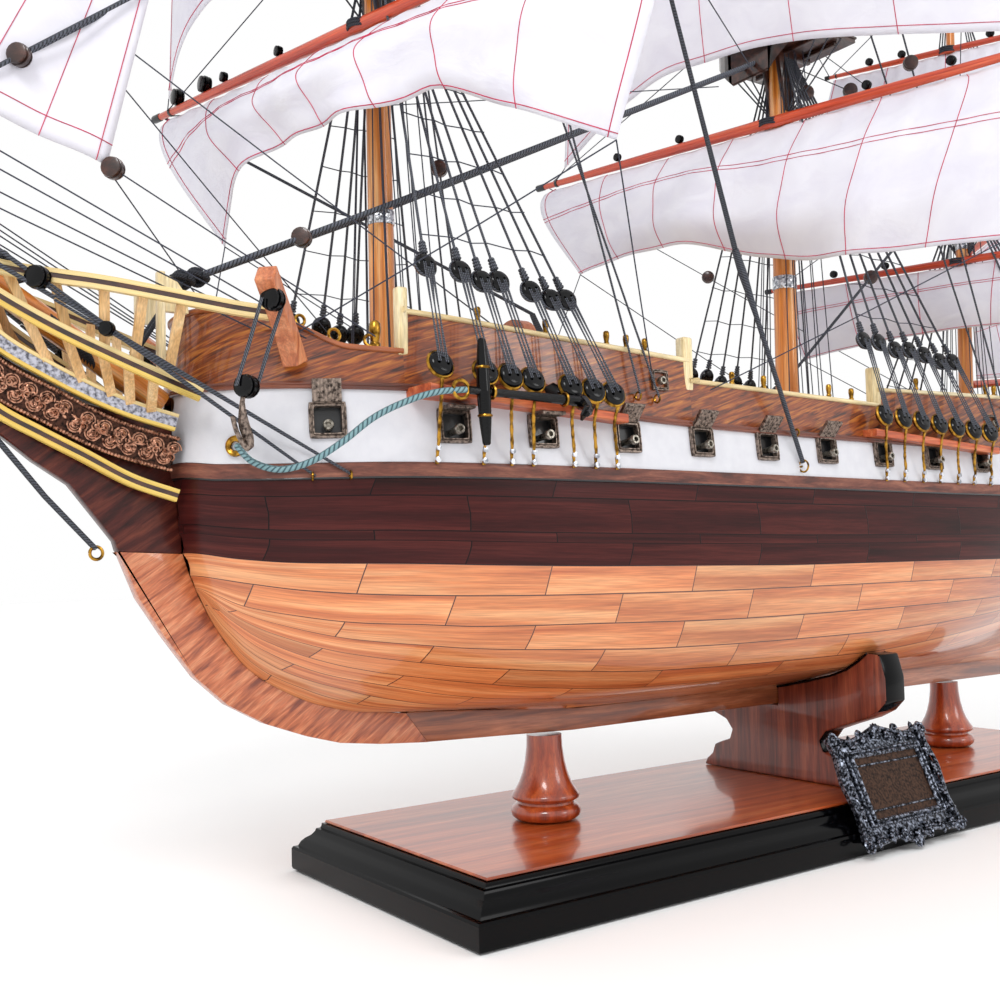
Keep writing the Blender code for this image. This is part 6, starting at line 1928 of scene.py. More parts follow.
# Beakhead: on each side three banded rails of cream, dark and yellow wood run from the bow
# to the scroll head, over a cast copper frieze. Sawn slats join the rails.
UPPER_RAIL = ((0.2935, 0.0490, 0.2198), (0.3050, 0.0440, 0.2215), (0.3180, 0.0385, 0.2240),
              (0.3430, 0.0270, 0.2290), (0.3700, 0.0150, 0.2330), (0.3900, 0.0085, 0.2380))
MIDDLE_RAIL = ((0.3120, 0.0300, 0.1935), (0.3300, 0.0265, 0.2010), (0.3560, 0.0180, 0.2140),
               (0.3760, 0.0120, 0.2260), (0.3890, 0.0080, 0.2360))
SILVER_RAIL = ((0.3160, 0.0165, 0.1852), (0.3350, 0.0135, 0.1910), (0.3560, 0.0100, 0.2010),
               (0.3750, 0.0080, 0.2125), (0.3880, 0.0070, 0.2290))
FRIEZE = ((0.3155, 0.0125, 0.1745), (0.3360, 0.0105, 0.1800), (0.3560, 0.0085, 0.1895),
          (0.3740, 0.0066, 0.1990), (0.3870, 0.0060, 0.2120))
CHEEK = ((0.3140, 0.0115, 0.1600), (0.3300, 0.0095, 0.1655), (0.3462, 0.0088, 0.1738),
         (0.3600, 0.0078, 0.1808), (0.3730, 0.0066, 0.1880), (0.3870, 0.0056, 0.2000))


HEAD_STEPS = 40


def on_side(points, side, count=HEAD_STEPS + 1):
    return curve_through([(x, side * y, z) for x, y, z in points], count)


def lifted(points, lift, out=0.0, side=1):
    """The same path set off square to its run: up its face, and outward."""
    moved = []
    for i, here in enumerate(points):
        along = heading(points, i).normalized()
        above = (Vector((0, 0, 1)) - along * along.z).normalized()
        moved.append(here + above * lift + Vector((0, side * out, 0)))
    return moved


def spiral(place, size, turns, thick, hand=1, count=26):
    """A scroll of tapering wire in the local XY plane, its knob at the middle."""
    path, radii = [], []
    for i in range(count):
        t = i / (count - 1)
        a = hand * TURN * turns * t
        r = size * (1 - t) ** 0.85
        path.append(place @ Vector((r * math.cos(a) - size, r * math.sin(a), 0)))
        radii.append(thick * (0.55 + 0.45 * t) + thick * 0.9 * max(t - 0.88, 0) / 0.12)
    return tube(path, radii, 5)


cream_strip = wood("cream_strip", "#d8b878", "#ecd394", "#f6e6b4", figure=0.004, pore=0.0004,
                   stretch=20, gloss=0.5, coat=0.2)
yellow_strip = wood("yellow_strip", "#cfa23c", "#e6c460", "#f2da86", figure=0.004, pore=0.0004,
                    stretch=20, gloss=0.5, coat=0.2)
copper = cast_bronze("copper_casting", "#43241a", "#cc977c", 0.38)
copper_ground = cast_bronze("copper_ground", "#120b08", "#4a2f25", 0.5)
silver = cast_bronze("silver_relief_strip", "#5d5d66", "#c6c6d2", 0.3)
slat_wood = wood("birch_slats", "#c99858", "#e0b47a", "#eccb98", figure=0.004, pore=0.0005,
                 along=(1, 1, 1 / 14), gloss=0.5, coat=0.2)
leaf = turned_pole("leaf", (0, 0, 0), (0, 0.0050, 0),
                   ((0, 0.0003), (0.2, 0.0009), (0.5, 0.0012), (0.8, 0.0008), (1, 0.0001)), 8)
bead = turned_pole("bead", (0, 0, -0.0005), (0, 0, 0.0005),
                   ((0, 0.0002), (0.25, 0.0005), (0.75, 0.0005), (1, 0.0002)), 7)
RAIL_STEPS = 200
# The rail and the share of its length where a slat starts, and the same where it ends.
SLATS = (("up", 0.81, "mid", 0.67), ("up", 0.67, "mid", 0.51), ("up", 0.52, "mid", 0.37),
         ("up", 0.40, "mid", 0.26), ("up", 0.28, "mid", 0.13), ("up", 0.93, "mid", 0.84),
         ("mid", 0.68, "low", 0.49), ("mid", 0.52, "low", 0.36), ("mid", 0.38, "low", 0.25),
         ("mid", 0.28, "low", 0.18), ("mid", 0.18, "low", 0.10), ("mid", 0.85, "low", 0.70))
cream_bits, dark_bits, yellow_bits, silver_bits, slat_bits = [], [], [], [], []
ground_bits, scroll_bits, leaf_places, bead_places = [], [], [], []
for side in (1, -1):
    for points, tall, lower in ((UPPER_RAIL, 0.0016, cream_bits), (MIDDLE_RAIL, 0.0016, yellow_bits),
                                (CHEEK, 0.0015, yellow_bits)):
        path = on_side(points, side)
        upper = cream_bits if points is not CHEEK else yellow_bits
        upper.append(bar(lifted(path, tall), 0.0014, tall * 0.48))
        lower.append(bar(lifted(path, -tall), 0.0014, tall * 0.48))
        dark_bits.append(bar(path, 0.0011, tall * 0.55))
    path = on_side(SILVER_RAIL, side)
    for lift in (0.0024, -0.0024):
        (cream_bits if lift > 0 else yellow_bits).append(bar(lifted(path, lift), 0.0014, 0.0006))
    silver_bits.append(bar(path, 0.0010, 0.0019))
    dark_bits.append(bar(lifted(path, 0.0, -0.0030, side), 0.0022, 0.0024))
    path = on_side(FRIEZE, side)
    ground_bits.append(bar(lifted(path, 0.0, -0.0018, side), 0.0022, 0.0060))
    for lift in (0.0057, -0.0057):
        edge = curve_through(lifted(path, lift, 0.0006, side), 76)
        bead_places += [at(p, size=1.35) for p in edge]
    cells = 13
    for k in range(cells):
        i = int((k + 0.5) * HEAD_STEPS / cells)
        along = heading(path, i).normalized()
        face = frame_at(path[i] + Vector((0, side * 0.0006, 0)), along, (0, side, 0))
        face = face @ Matrix.Rotation(math.pi / 2, 4, "Z")
        for turn_to in (0, math.pi):
            scroll = face @ Matrix.Rotation(turn_to, 4, "Z") @ at((0.0040, 0.0018, 0))
            scroll_bits.append(spiral(scroll, 0.0028, 1.6, 0.00055))
            curl = scroll @ at((-0.0040, -0.0038, 0))
            scroll_bits.append(spiral(curl, 0.0017, 1.4, 0.00045, -1))
        for turn_k in range(3):
            turned_by = face @ Matrix.Rotation(turn_k * math.pi / 1.5 + 0.9 * k, 4, "Z")
            leaf_places.append(turned_by @ at((0, 0.0016, 0), size=0.50))
            knob = turned_by @ at((0.0030, 0, 0.0003))
            scroll_bits.append(spiral(knob, 0.0015, 1.3, 0.00050, 1 if turn_k else -1))
    rails = {name: on_side(points, side, RAIL_STEPS + 1) for name, points in
             (("up", UPPER_RAIL), ("mid", MIDDLE_RAIL), ("low", SILVER_RAIL))}
    for start, high, end, low in SLATS:
        inside = Vector((0, -side * 0.0012, 0))
        a = rails[start][int(high * RAIL_STEPS)] + inside
        b = rails[end][int(low * RAIL_STEPS)] + inside
        down = (b - a).normalized()
        fore_aft = (Vector((1, 0, 0)) - down * down.x).normalized()
        flat = fore_aft.cross(down)
        loops = [[p + fore_aft * u * 0.0016 + flat * v * 0.0008 for u, v in CORNERS] for p in (a, b)]
        slat_bits.append(loft(loops))
keep(gather("cream_rail_strips", cream_bits, angle=30), cream_strip, "pale_wood", "head_rails_port",
     "head_rails_starboard")
keep(gather("dark_rail_strips", dark_bits, angle=30), dark_oak, "dark_wood")
keep(gather("yellow_rail_strips", yellow_bits, angle=30), yellow_strip, "pale_wood")
keep(gather("silver_relief_strips", silver_bits, angle=30), silver, "pewter")
keep(gather("birch_head_slats", slat_bits, angle=30), slat_wood, "pale_wood")
keep(gather("frieze_ground", ground_bits, angle=30), copper_ground, "pewter")
keep(gather("frieze_scrolls", scroll_bits), copper, "pewter")
keep(stamp("frieze_leaves", leaf, leaf_places), copper, "pewter")
keep(stamp("frieze_beading", bead, bead_places), copper, "pewter")

# Stem head and knightheads: a sawn scroll ends the stem, and two pale maple posts with
# knees stand each side of the bowsprit.
NECK = [(0.3880, 0.2040), (0.3960, 0.2085), (0.3990, 0.2150), (0.4010, 0.2240)]
NECK += [(0.4040 + 0.0085 * math.cos(a), 0.2330 + 0.0085 * math.sin(a))
         for a in [math.radians(-80 + 20 * i) for i in range(14)]]
NECK += [(0.3925, 0.2290), (0.3912, 0.2200)]
neck = plate("scroll_head", NECK, 0.0034, bevel=0.0006)
keep(neck, dark_stem, "keel_wood")
volutes = []
for side in (1, -1):
    face = frame_at((0.4040, side * 0.0036, 0.2330), (0, 0, 1), (0, side, 0))
    volutes.append(spiral(face @ at((0.0068, 0, 0)), 0.0068, 2.2, 0.0009, side, 48))
keep(gather("stem_head_volutes", volutes), yellow_strip, "pale_wood")
KNEE = ((0.3190, 0.2250), (0.3190, 0.2384), (0.3164, 0.2378), (0.3138, 0.2360), (0.3116, 0.2330),
        (0.3102, 0.2292), (0.3098, 0.2250))
knight_bits = []
for side in (1, -1):
    y = side * 0.0120
    knight_bits.append(plate("knee", KNEE, 0.0012, bevel=0.0003, middle=y))
    knight_bits.append(block("post", (0.3184, y - 0.0018, 0.1990), (0.3210, y + 0.0018, 0.2392),
                             bevel=0.0004))
keep(join("maple_knightheads", knight_bits), maple_block, "pale_wood")

# Gammoning and hearts: black rope wound round the bowsprit and the stem head's knee, and
# the stays' hearts seized to the bowsprit with many turns.
wound, heart_bits = [], []
for k in range(9):
    t = 0.20 + 0.0075 * k
    spot = sprit_start.lerp(sprit_end, t)
    hoop = [spot + Vector((0.004 * math.sin(a), 0.0056 * math.cos(a), 0.0066 * math.sin(a) - 0.0008))
            for a in evenly(0, TURN, 20)]
    wound.append(tube(hoop, 0.0006, 6))
for x, z in ((0.3575, 0.2350), (0.3703, 0.2394), (0.3020, 0.2420), (0.3075, 0.2403)):
    slope_at = Vector((0.9, 0, 0.25))
    for off in (-0.0018, 0.0018):
        turn_about = frame_at((x, off, z), slope_at, (0.25, 0, -0.9))
        heart_bits.append(ring(turn_about, 0.0034, 0.0012, 18, 7))
    heart_bits.append(ring(frame_at((x, 0, z), slope_at, (0, 1, 0)), 0.0030, 0.0010, 18, 7))
for off in (-0.0022, 0.0022):
    for (x0, z0), (x1, z1), (x2, z2), spread in (
            ((0.3010, 0.2425), (0.3075, 0.2400), (0.3253, 0.2120), 1.5),
            ((0.3575, 0.2360), (0.3640, 0.2335), (0.3700, 0.2290), 1.4)):
        wound.append(tube([(x0, off, z0), (x1, off, z1), (x2, off * spread, z2)], 0.0009, 7))
keep(gather("gammoning_and_collars", wound), black_rope, "black_paint")
keep(gather("stay_hearts", heart_bits), black_rope, "black_paint")

# Cradle board: a scrolled walnut-red board across the base that the hull rests in, its
# sawn edges eased, its seat and horns lacquered black.
HORN = ((0.0034, 0.0586), (0.0034, 0.0680), (0.0100, 0.0692), (0.0220, 0.0718), (0.0374, 0.0756),
        (0.0470, 0.0790), (0.0545, 0.0836), (0.0590, 0.0872), (0.0660, 0.0868), (0.0690, 0.0760),
        (0.0690, 0.0650), (0.0640, 0.0600), (0.0560, 0.0560), (0.0440, 0.0520), (0.0330, 0.0480),
        (0.0290, 0.0430), (0.0310, 0.0380), (0.0370, 0.0360), (0.0420, 0.0340), (0.0440, 0.0290),
        (0.0480, 0.0260), (0.0500, 0.0223))
board_line = [(y, z) for y, z in reversed(HORN)] + [(-y, z) for y, z in HORN]
cradle = plate("cradle_scroll_board", board_line, 0.0072, bevel=0.0008, middle=0.0075)
cradle.data.transform(Matrix.Rotation(math.pi / 2, 4, "Z"))
cradle_wood = wood("walnut_red_board", "#4a1c10", "#7c3522", "#9d5236", figure=0.004, pore=0.0005,
                   along=(1, 1, 1 / 16), gloss=0.4, coat=0.4)
for mat in (cradle_wood, lacquer):
    cradle.data.materials.append(mat)
for face in cradle.data.polygons:
    horn = face.center.z > 0.0600 and (face.normal.z > 0.1 or abs(face.center.y) > 0.0610)
    curl = abs(face.center.y) < 0.0335 and 0.0350 < face.center.z < 0.0500
    face.material_index = int(abs(face.normal.x) < 0.9 and (horn or curl))
keep(cradle, cradle_wood, "walnut", "cradle_board")
seat_bits = [tube([(x, side * y, z - 0.0003) for y, z in HORN[1:8]], 0.0006, 8)
             for side in (1, -1) for x in (-0.0146, -0.0004)]
keep(gather("black_seat_edging", seat_bits), lacquer, "black_lacquer")

# Plaque: a cast pewter frame of scrolls and leaves round a dark, blank panel, leaning on
# the base moulding.
low_edge, high_edge = Vector((-0.0030, 0.0807, 0.0048)), Vector((-0.0030, 0.0595, 0.0513))
leans = frame_at(low_edge, high_edge - low_edge, (0, 0.9, 0.4))
PLAQUE_WIDE, PLAQUE_TALL = 0.0360, (high_edge - low_edge).length
OUTLINE = ((-1, 0.03), (-0.8, 0), (-0.3, 0.03), (0, -0.05), (0.3, 0.03), (0.8, 0), (1, 0.03),
           (0.94, 0.3), (1, 0.6), (0.94, 0.86), (1, 1.02), (0.62, 0.96), (0.3, 1), (0, 1.05),
           (-0.3, 1), (-0.62, 0.96), (-1, 1.02), (-0.94, 0.86), (-1, 0.6), (-0.94, 0.3))
pewter = cast_bronze("pewter_casting", "#0e1017", "#a4abbc", 0.28, 0.11)
back_line = [(a * PLAQUE_WIDE * 0.95, (0.02 + b * 0.95) * PLAQUE_TALL) for a, b in OUTLINE]
back = plate("plaque_back", back_line, 0.0013, bevel=0.0004, middle=0.0019)
back.data.transform(leans @ Matrix.Rotation(-math.pi / 2, 4, "X"))
keep(back, pewter, "pewter", "nameplate")
INNER = ((-0.66, 0.22), (0.66, 0.22), (0.66, 0.78), (-0.66, 0.78))
flat_spot = lambda a, b, out=0.0: leans @ Vector((a * PLAQUE_WIDE, b * PLAQUE_TALL, out))
panel_mat = cast_bronze("dark_bronze_panel", "#1f1410", "#4b3529", 0.5)
panel_loops = [[flat_spot(a, b, out) for a, b in INNER] for out in (-0.0008, 0.0002)]
keep(gather("blank_plaque_panel", [loft(panel_loops)], angle=20), panel_mat, "pewter")
frame_bits, frame_leaves, frame_beads = [], [], []
for grow, thick in ((1.0, 0.0011), (1.12, 0.0008)):
    corners = [flat_spot(a * grow, 0.5 + (b - 0.5) * grow * 1.03, 0.0004) for a, b in INNER]
    for a, b in zip(corners, corners[1:] + corners[:1]):
        frame_bits.append(tube([a, b], thick, 8))
for b in (0.30, 0.70):
    frame_bits.append(tube([flat_spot(-0.62, b, 0.0003), flat_spot(0.62, b, 0.0003)], 0.0005, 6))
border = [flat_spot(a * 0.96, 0.02 + b * 0.95, 0.0002) for a, b in OUTLINE]
BORDER_STEPS = 96
border = curve_through(border + border[:1], BORDER_STEPS + 1)
frame_bits.append(tube(border, 0.0010, 8))
plaque_out = leans.to_3x3().col[2]
for i in range(0, BORDER_STEPS, 2):
    away = (border[i] - flat_spot(0, 0.5)).normalized()
    lean = 0.9 if (i // 2) % 2 else -0.9
    placed = frame_at(border[i] - away * 0.0042, away, plaque_out) @ Matrix.Rotation(lean, 4, "Z")
    frame_leaves.append(placed @ Matrix.Scale(1.05, 4))
    frame_beads.append(at(border[i] - away * 0.0022 + plaque_out * 0.0008, size=1.5))
for a, b, hand in ((-1, 1, 1), (1, 1, -1), (-1, 0, -1), (1, 0, 1), (-0.36, 1.02, -1), (0.36, 1.02, 1),
                   (-1.0, 0.60, 1), (1.0, 0.60, -1), (-0.3, 0.0, 1), (0.3, 0.0, -1)):
    size = 0.0036 if abs(a) == 1 and b in (0, 1) else 0.0025
    x, y = a * PLAQUE_WIDE * 0.92 + hand * 0.001, (0.03 + b * 0.93) * PLAQUE_TALL
    spot = leans @ at((x, y, 0.0007)) @ at((size, 0, 0))
    frame_bits.append(spiral(spot, size, 1.5, 0.0010, hand, 30))
for b, tall in ((0.97, 1), (0.01, -1)):
    for k in range(-3, 4):
        turned_by = Matrix.Rotation(-0.42 * k, 4, "Z") @ Matrix.Scale(tall, 4, (0, 1, 0))
        shell = leans @ at((0, b * PLAQUE_TALL, 0.0004)) @ turned_by
        frame_leaves.append(shell @ Matrix.Scale(0.95, 4))
keep(gather("pewter_plaque_frame", frame_bits), pewter, "pewter")
keep(stamp("pewter_plaque_leaves", leaf, frame_leaves), pewter, "pewter")
keep(stamp("pewter_plaque_beads", bead, frame_beads), pewter, "pewter")
scrap(leaf, bead)

# Sternpost and counter: a sapele post glued up the hull's aft end for the rudder, and a
# walnut board over it that closes the planking up to the stern gallery.
post_line = [(-0.2689, 0.0594), (-0.2714, 0.1000), (-0.2721, 0.1380), (-0.2716, 0.1400)]
post_line += [(aft_end(z) + 0.0012, z)
              for z in (0.1330, 0.1260, 0.1100, 0.0960, 0.0865, 0.0765, 0.0688)]
keep(plate("sapele_sternpost", post_line, 0.0029, bevel=0.0005), keel_wood, "keel_wood")
counter_loops = []
for z in evenly(0.1330, 0.1800, 24):
    x, half = aft_end(z), half_breadth(aft_end(z), z)
    counter_loops.append([(x + 0.0016, -half + 0.0003, z)]
                         + [(x - 0.0008 * (1 - (j / 5) ** 2), half * j / 5, z) for j in range(-5, 6)]
                         + [(x + 0.0016, half - 0.0003, z)])
keep(gather("walnut_counter", [loft(counter_loops)], angle=40), walnut_planks, "dark_wood")

# Stern gallery: a dark board across the quarterdeck's end with cream window frames, gilt
# mouldings and cast scrolls, and a windowed quarter gallery glued on each side. STERN gives
# height, distance behind the hull's end and half width, GALLERY height and distance out.
STERN = ((0.1785, 0.0007, 0.0475), (0.1900, 0.0007, 0.0500), (0.2060, 0.0007, 0.0495),
         (0.2210, 0.0010, 0.0440), (0.2240, 0.0020, 0.0400), (0.2290, 0.0018, 0.0300))
GALLERY = ((0.1765, 0.0010), (0.1800, 0.0050), (0.1880, 0.0072), (0.2010, 0.0072), (0.2080, 0.0050),
           (0.2130, 0.0010))


def stern_at(across, z, out=0.0):
    """A place on the aft face of the stern board, across from -1 to 1."""
    behind, half = smooth_table(STERN, z)
    return Vector((aft_end(z) - behind - 0.0030 - out, across * half, z))


def gallery_at(x, z, side, out=0.0):
    """A place on the outer face of a quarter gallery."""
    end = aft_end(z)
    y = half_breadth(max(x, end), z) + 0.0014 + smooth_table(GALLERY, z)[0] + out
    return Vector((max(x, end - 0.0020), side * y, z))


stern_loops = []
for z in sorted([row[0] for row in STERN] + [0.1840, 0.1950, 0.2010, 0.2110, 0.2160]):
    fore, aft = aft_end(z) - smooth_table(STERN, z)[0], stern_at(1, z)
    stern_loops.append([(fore, -aft.y, z), (aft.x, -aft.y, z), (aft.x, aft.y, z), (fore, aft.y, z)])
stern_bits = [loft(stern_loops)]
cream_bits, glass_bits, gilt_bits = [], [], []
for side in (1, -1):
    loops = []
    for z in evenly(GALLERY[0][0], GALLERY[-1][0], 15):
        end = aft_end(z) - 0.0020
        inner = [(x, side * (half_breadth(max(x, aft_end(z)), z) + 0.0014), z)
                 for x in (end, -0.2880, -0.2720, -0.2560)]
        outer = [gallery_at(x, z, side) for x in (-0.2600, -0.2720, -0.2850)]
        loops.append(inner + outer + [gallery_at(-1, z, side)])
    stern_bits.append(loft(loops))
    for z, thick in ((0.1800, 0.0008), (0.1868, 0.0006), (0.2028, 0.0006), (0.2085, 0.0008)):
        run = [gallery_at(-0.2590 - 0.002 * k, z, side, 0.0002) for k in range(24)]
        gilt_bits.append(tube([p for p in run if p.x > aft_end(z) - 0.0018], thick, 7))
windows = [(lambda a, z, out, c=c: stern_at(c + a, z, out), 0.085) for c in
           (-0.78, -0.468, -0.156, 0.156, 0.468, 0.78)]
for side in (1, -1):
    for c in (-0.2690, -0.2830, -0.2950):
        windows.append((lambda a, z, out, c=c, side=side: gallery_at(c + a, z, side, out), 0.0042))
low, high = 0.1886, 0.2010
for face_at, wide in windows:
    panes = [[face_at(a * wide, z, out) for z in (low, (low + high) / 2, high)]
             for out in (0.0001, 0.0004) for a in (-1, 1)]
    glass_bits.append(loft([[panes[0][k], panes[1][k], panes[3][k], panes[2][k]] for k in range(3)]))
    for a in (-1, 0, 1):
        upright_bar = [face_at(a * wide, z, 0.0004) for z in evenly(low, high, 4)]
        cream_bits.append(tube(upright_bar, 0.0006 if a else 0.00035, 6))
    for z, thick in zip(evenly(low, high, 3), (0.0007, 0.00035, 0.00035, 0.0007)):
        cream_bits.append(tube([face_at(a * wide * 1.12, z, 0.0004) for a in (-1, 0, 1)], thick, 6))
for z, thick in ((0.1790, 0.0010), (0.1862, 0.0007), (0.2035, 0.0007), (0.2078, 0.0010)):
    gilt_bits.append(tube([stern_at(0.985 * (k / 12 - 1), z, 0.0003) for k in range(25)], thick, 7))
arch = [stern_at(a, z, 0.0004) for a, z in
        ((-0.98, 0.2085), (-0.97, 0.2150), (-0.95, 0.2205), (-0.90, 0.2238), (-0.85, 0.2265),
         (-0.60, 0.2284), (0, 0.2284))]
arch += [Vector((p.x, -p.y, p.z)) for p in reversed(arch[:-1])]
gilt_bits.append(tube(curve_through(arch, 60), 0.0011, 8))
scroll_bits, leaf_spots = [], []
stern_out = Vector((-1, 0, 0))
for k, across_at in enumerate((-0.80, -0.55, -0.28, 0.28, 0.55, 0.80)):
    hand = 1 if across_at > 0 else -1
    spot = frame_at(stern_at(across_at * 0.92, 0.2148, 0.0004), (0, 0, 1), stern_out)
    scroll_bits.append(spiral(spot, 0.0042, 1.6, 0.0006, hand))
    for swing in (0.5, 1.9, 3.3, 4.9):
        turned_by = Matrix.Rotation(swing + k, 4, "Z")
        leaf_spots.append(spot @ turned_by @ at((0, 0.0040, 0.0)))
spot = frame_at(stern_at(0, 0.2156, 0.0004), (0, 0, 1), stern_out)
for a in evenly(0, TURN, 8)[:-1]:
    leaf_spots.append(spot @ Matrix.Rotation(a, 4, "Z") @ at((0, 0.0030, 0)))
for k in range(13):
    leaf_spots.append(frame_at(stern_at((k - 6) / 6.4, 0.1826, 0.0004), (0, 0, 1), stern_out))
LEAF_ROWS = ((0.0001, -0.0021, -0.0020, 0.0003), (0.0010, -0.0004, -0.0004, 0.0010),
             (0.0008, 0.0008, 0.0008, 0.0008), (0.0001, 0.0022, 0.0021, 0.0002))
leaf_loops = [[(-half, y, 0), (half, y, 0), (0, ridge_y, ridge_z)]
              for half, y, ridge_y, ridge_z in LEAF_ROWS]
stern_leaf = gather("stern_leaf", [loft(leaf_loops)], angle=60)
keep(gather("walnut_stern_and_galleries", stern_bits, angle=30), dark_oak, "dark_wood", "stern_gallery")
keep(gather("stern_window_frames", cream_bits, angle=40), cream_strip, "pale_wood")
window_glass, _ = begin("dark_window_glass", "#10141c", 0.08, coat=0.4, shine=0.4)
keep(gather("stern_window_panes", glass_bits, angle=30), window_glass, "black_paint")
keep(gather("yellow_stern_mouldings", gilt_bits, angle=40), yellow_strip, "pale_wood")
keep(gather("cast_stern_scrolls", scroll_bits), copper, "pewter")
keep(stamp("cast_stern_leaves", stern_leaf, leaf_spots), copper, "pewter")
scrap(stern_leaf)

# Rudder hangings: four brass pintle straps pinned round the blade, each over a gudgeon
# strap on the sternpost. The straps of the blade turn with it.
RUDDER_AXIS = -0.2745


def strap(z, start, end, half):
    """Brass strap round both faces of a board, from its fore to its aft edge."""
    thick, tall = 0.0003, 0.0013
    bits = []
    for side in (1, -1):
        path = [(x, side * (half + thick), z) for x in (start, (start + end) / 2, end)]
        bits.append(bar(path, thick, tall))
        for t in (0.3, 0.6, 0.9):
            x = start + (end - start) * t
            nail = [(x, side * half, z), (x, side * (half + thick * 2 + 0.0003), z)]
            bits.append(tube(nail, 0.0005, 6))
    return bits


blade_straps, post_straps = [], []
for z in (0.0730, 0.0930, 0.1130, 0.1320):
    blade_straps += strap(z + 0.0014, RUDDER_AXIS - 0.0006, RUDDER_AXIS - 0.0085, 0.0019)
    blade_straps.append(tube([(RUDDER_AXIS, 0, z + 0.0002), (RUDDER_AXIS, 0, z + 0.0030)], 0.0023, 14))
    post_straps += strap(z - 0.0016, -0.2713, aft_end(z) + 0.0045, 0.0031)
keep(gather("rudder_pintle_straps", blade_straps, angle=30), brass_wire, "pewter", body="rudder")
keep(gather("sternpost_gudgeons", post_straps, angle=30), brass_wire, "pewter")

# Helm wheel: a turned rim on eight handled spokes with a brass hub, on a brass spindle in
# its walnut stand.
HUB = Vector((-0.2060, 0, 0.2120))
SPOKE = ((0, 0.0004), (0.3, 0.0006), (0.52, 0.0004), (0.60, 0.0007), (0.72, 0.0004),
         (0.80, 0.0005), (0.93, 0.0006), (1, 0.0003))
spokes = []
for a in evenly(0, TURN, 8)[:-1]:
    out = Vector((0, math.cos(a), math.sin(a)))
    spokes.append(turned_pole("spoke", HUB + out * 0.0012, HUB + out * 0.0098, SPOKE, 8))
facing = at(HUB, math.pi / 2, "Y")
rim = gather("rim", [ring(facing, 0.0069, 0.0007, 40, 8)])
rim_edges = [ring(facing, 0.0064, 0.00045, 40, 6), ring(facing, 0.0074, 0.00035, 40, 6)]
rim_edge = gather("rim_edge", rim_edges)
helm_wood = wood("turned_walnut_wheel", "#4a1d0e", "#84401f", "#b06a38", figure=0.002, pore=0.0004,
                 along=(1, 1, 1), gloss=0.3, coat=0.5)
keep(join("turned_helm_wheel", spokes + [rim, rim_edge]), helm_wood, "mast_wood", "helm_wheel",
     body="helm_wheel")
hub = turned_pole("brass_wheel_hub", HUB - Vector((0.0012, 0, 0)), HUB + Vector((0.0012, 0, 0)),
                  ((0, 0.0012), (0.1, 0.0020), (0.9, 0.0020), (1, 0.0012)), 20)
keep(hub, brass_wire, "pewter", body="helm_wheel")
stand = [block("wheel_stand", (-0.2116, side * 0.0040 - 0.0016, 0.2000),
               (-0.2078, side * 0.0040 + 0.0016, 0.2035), bevel=0.0005) for side in (1, -1)]
stand.append(block("stand", (-0.2112, -0.0022, 0.1960), (-0.2082, 0.0022, 0.2145), bevel=0.0006))
keep(join("walnut_wheel_stand", stand), dark_oak, "dark_wood")
spindle = turned_pole("brass_wheel_spindle", HUB - Vector((0.0030, 0, 0)), HUB + Vector((0.0016, 0, 0)),
                      ((0, 0.0006), (0.9, 0.0006), (1, 0.0004)), 12)
keep(spindle, brass_wire, "pewter")

# Deck fittings: gratings in cherry coamings, a belfry with its bell, a capstan, small guns
# on carriages behind the rail ports, fife rails and steps, all glued to the decks.
UPPER_DECK = 0.2000
LATTICE = 0.0024
fitting_bits, lattice_bits, brass_bits, gun_bits, black_bits = [], [], [], [], []
for x0, x1, half, z in ((0.0150, 0.0480, 0.0140, DECK_Z), (0.0580, 0.0900, 0.0140, DECK_Z),
                        (-0.0780, -0.0560, 0.0110, UPPER_DECK), (-0.1560, -0.1360, 0.0100, UPPER_DECK),
                        (0.1680, 0.1860, 0.0090, UPPER_DECK)):
    for ax, ay, bx, by in ((x0, -half, x1, -half + 0.0018), (x0, half - 0.0018, x1, half),
                           (x0, -half, x0 + 0.0018, half), (x1 - 0.0018, -half, x1, half)):
        fitting_bits.append(block("coaming", (ax, ay, z), (bx, by, z + 0.0030), bevel=0.0003))
    for k in range(1, round((x1 - x0) / LATTICE)):
        x = x0 + LATTICE * k
        lath = [(x, -half + 0.0012, z + 0.0022), (x, half - 0.0012, z + 0.0022)]
        lattice_bits.append(bar(lath, 0.0005, 0.0005))
    for k in range(1, round(2 * half / LATTICE)):
        y = -half + LATTICE * k
        lath = [(x0 + 0.0012, y, z + 0.0024), (x1 - 0.0012, y, z + 0.0024)]
        lattice_bits.append(bar(lath, 0.0005, 0.0005))
BELFRY_X = 0.1560
for side in (1, -1):
    fitting_bits.append(centred("belfry_post", BELFRY_X, side * 0.0062, 0.0016, 0.0016, UPPER_DECK,
                                0.2330, bevel=0.0005))
arch_path = [(BELFRY_X, 0.0098 * math.cos(a), 0.2325 + 0.0068 * math.sin(a))
             for a in evenly(0, math.pi, 12)]
fitting_bits.append(gather("belfry_arch", [bar(arch_path, 0.0030, 0.0013)], angle=30))
BELL = ((0, 0.0036), (0.12, 0.0032), (0.4, 0.0024), (0.75, 0.0020), (0.9, 0.0010), (1, 0.0006))
brass_bits.append(turned_pole("bell", (BELFRY_X, 0, 0.2240), (BELFRY_X, 0, 0.2320), BELL, 20))
bell_loop = tube([(BELFRY_X, 0, 0.2315), (BELFRY_X, 0, 0.2392)], 0.0005, 6)
brass_bits.append(gather("bell_loop", [bell_loop]))
CAPSTAN_X = -0.1150
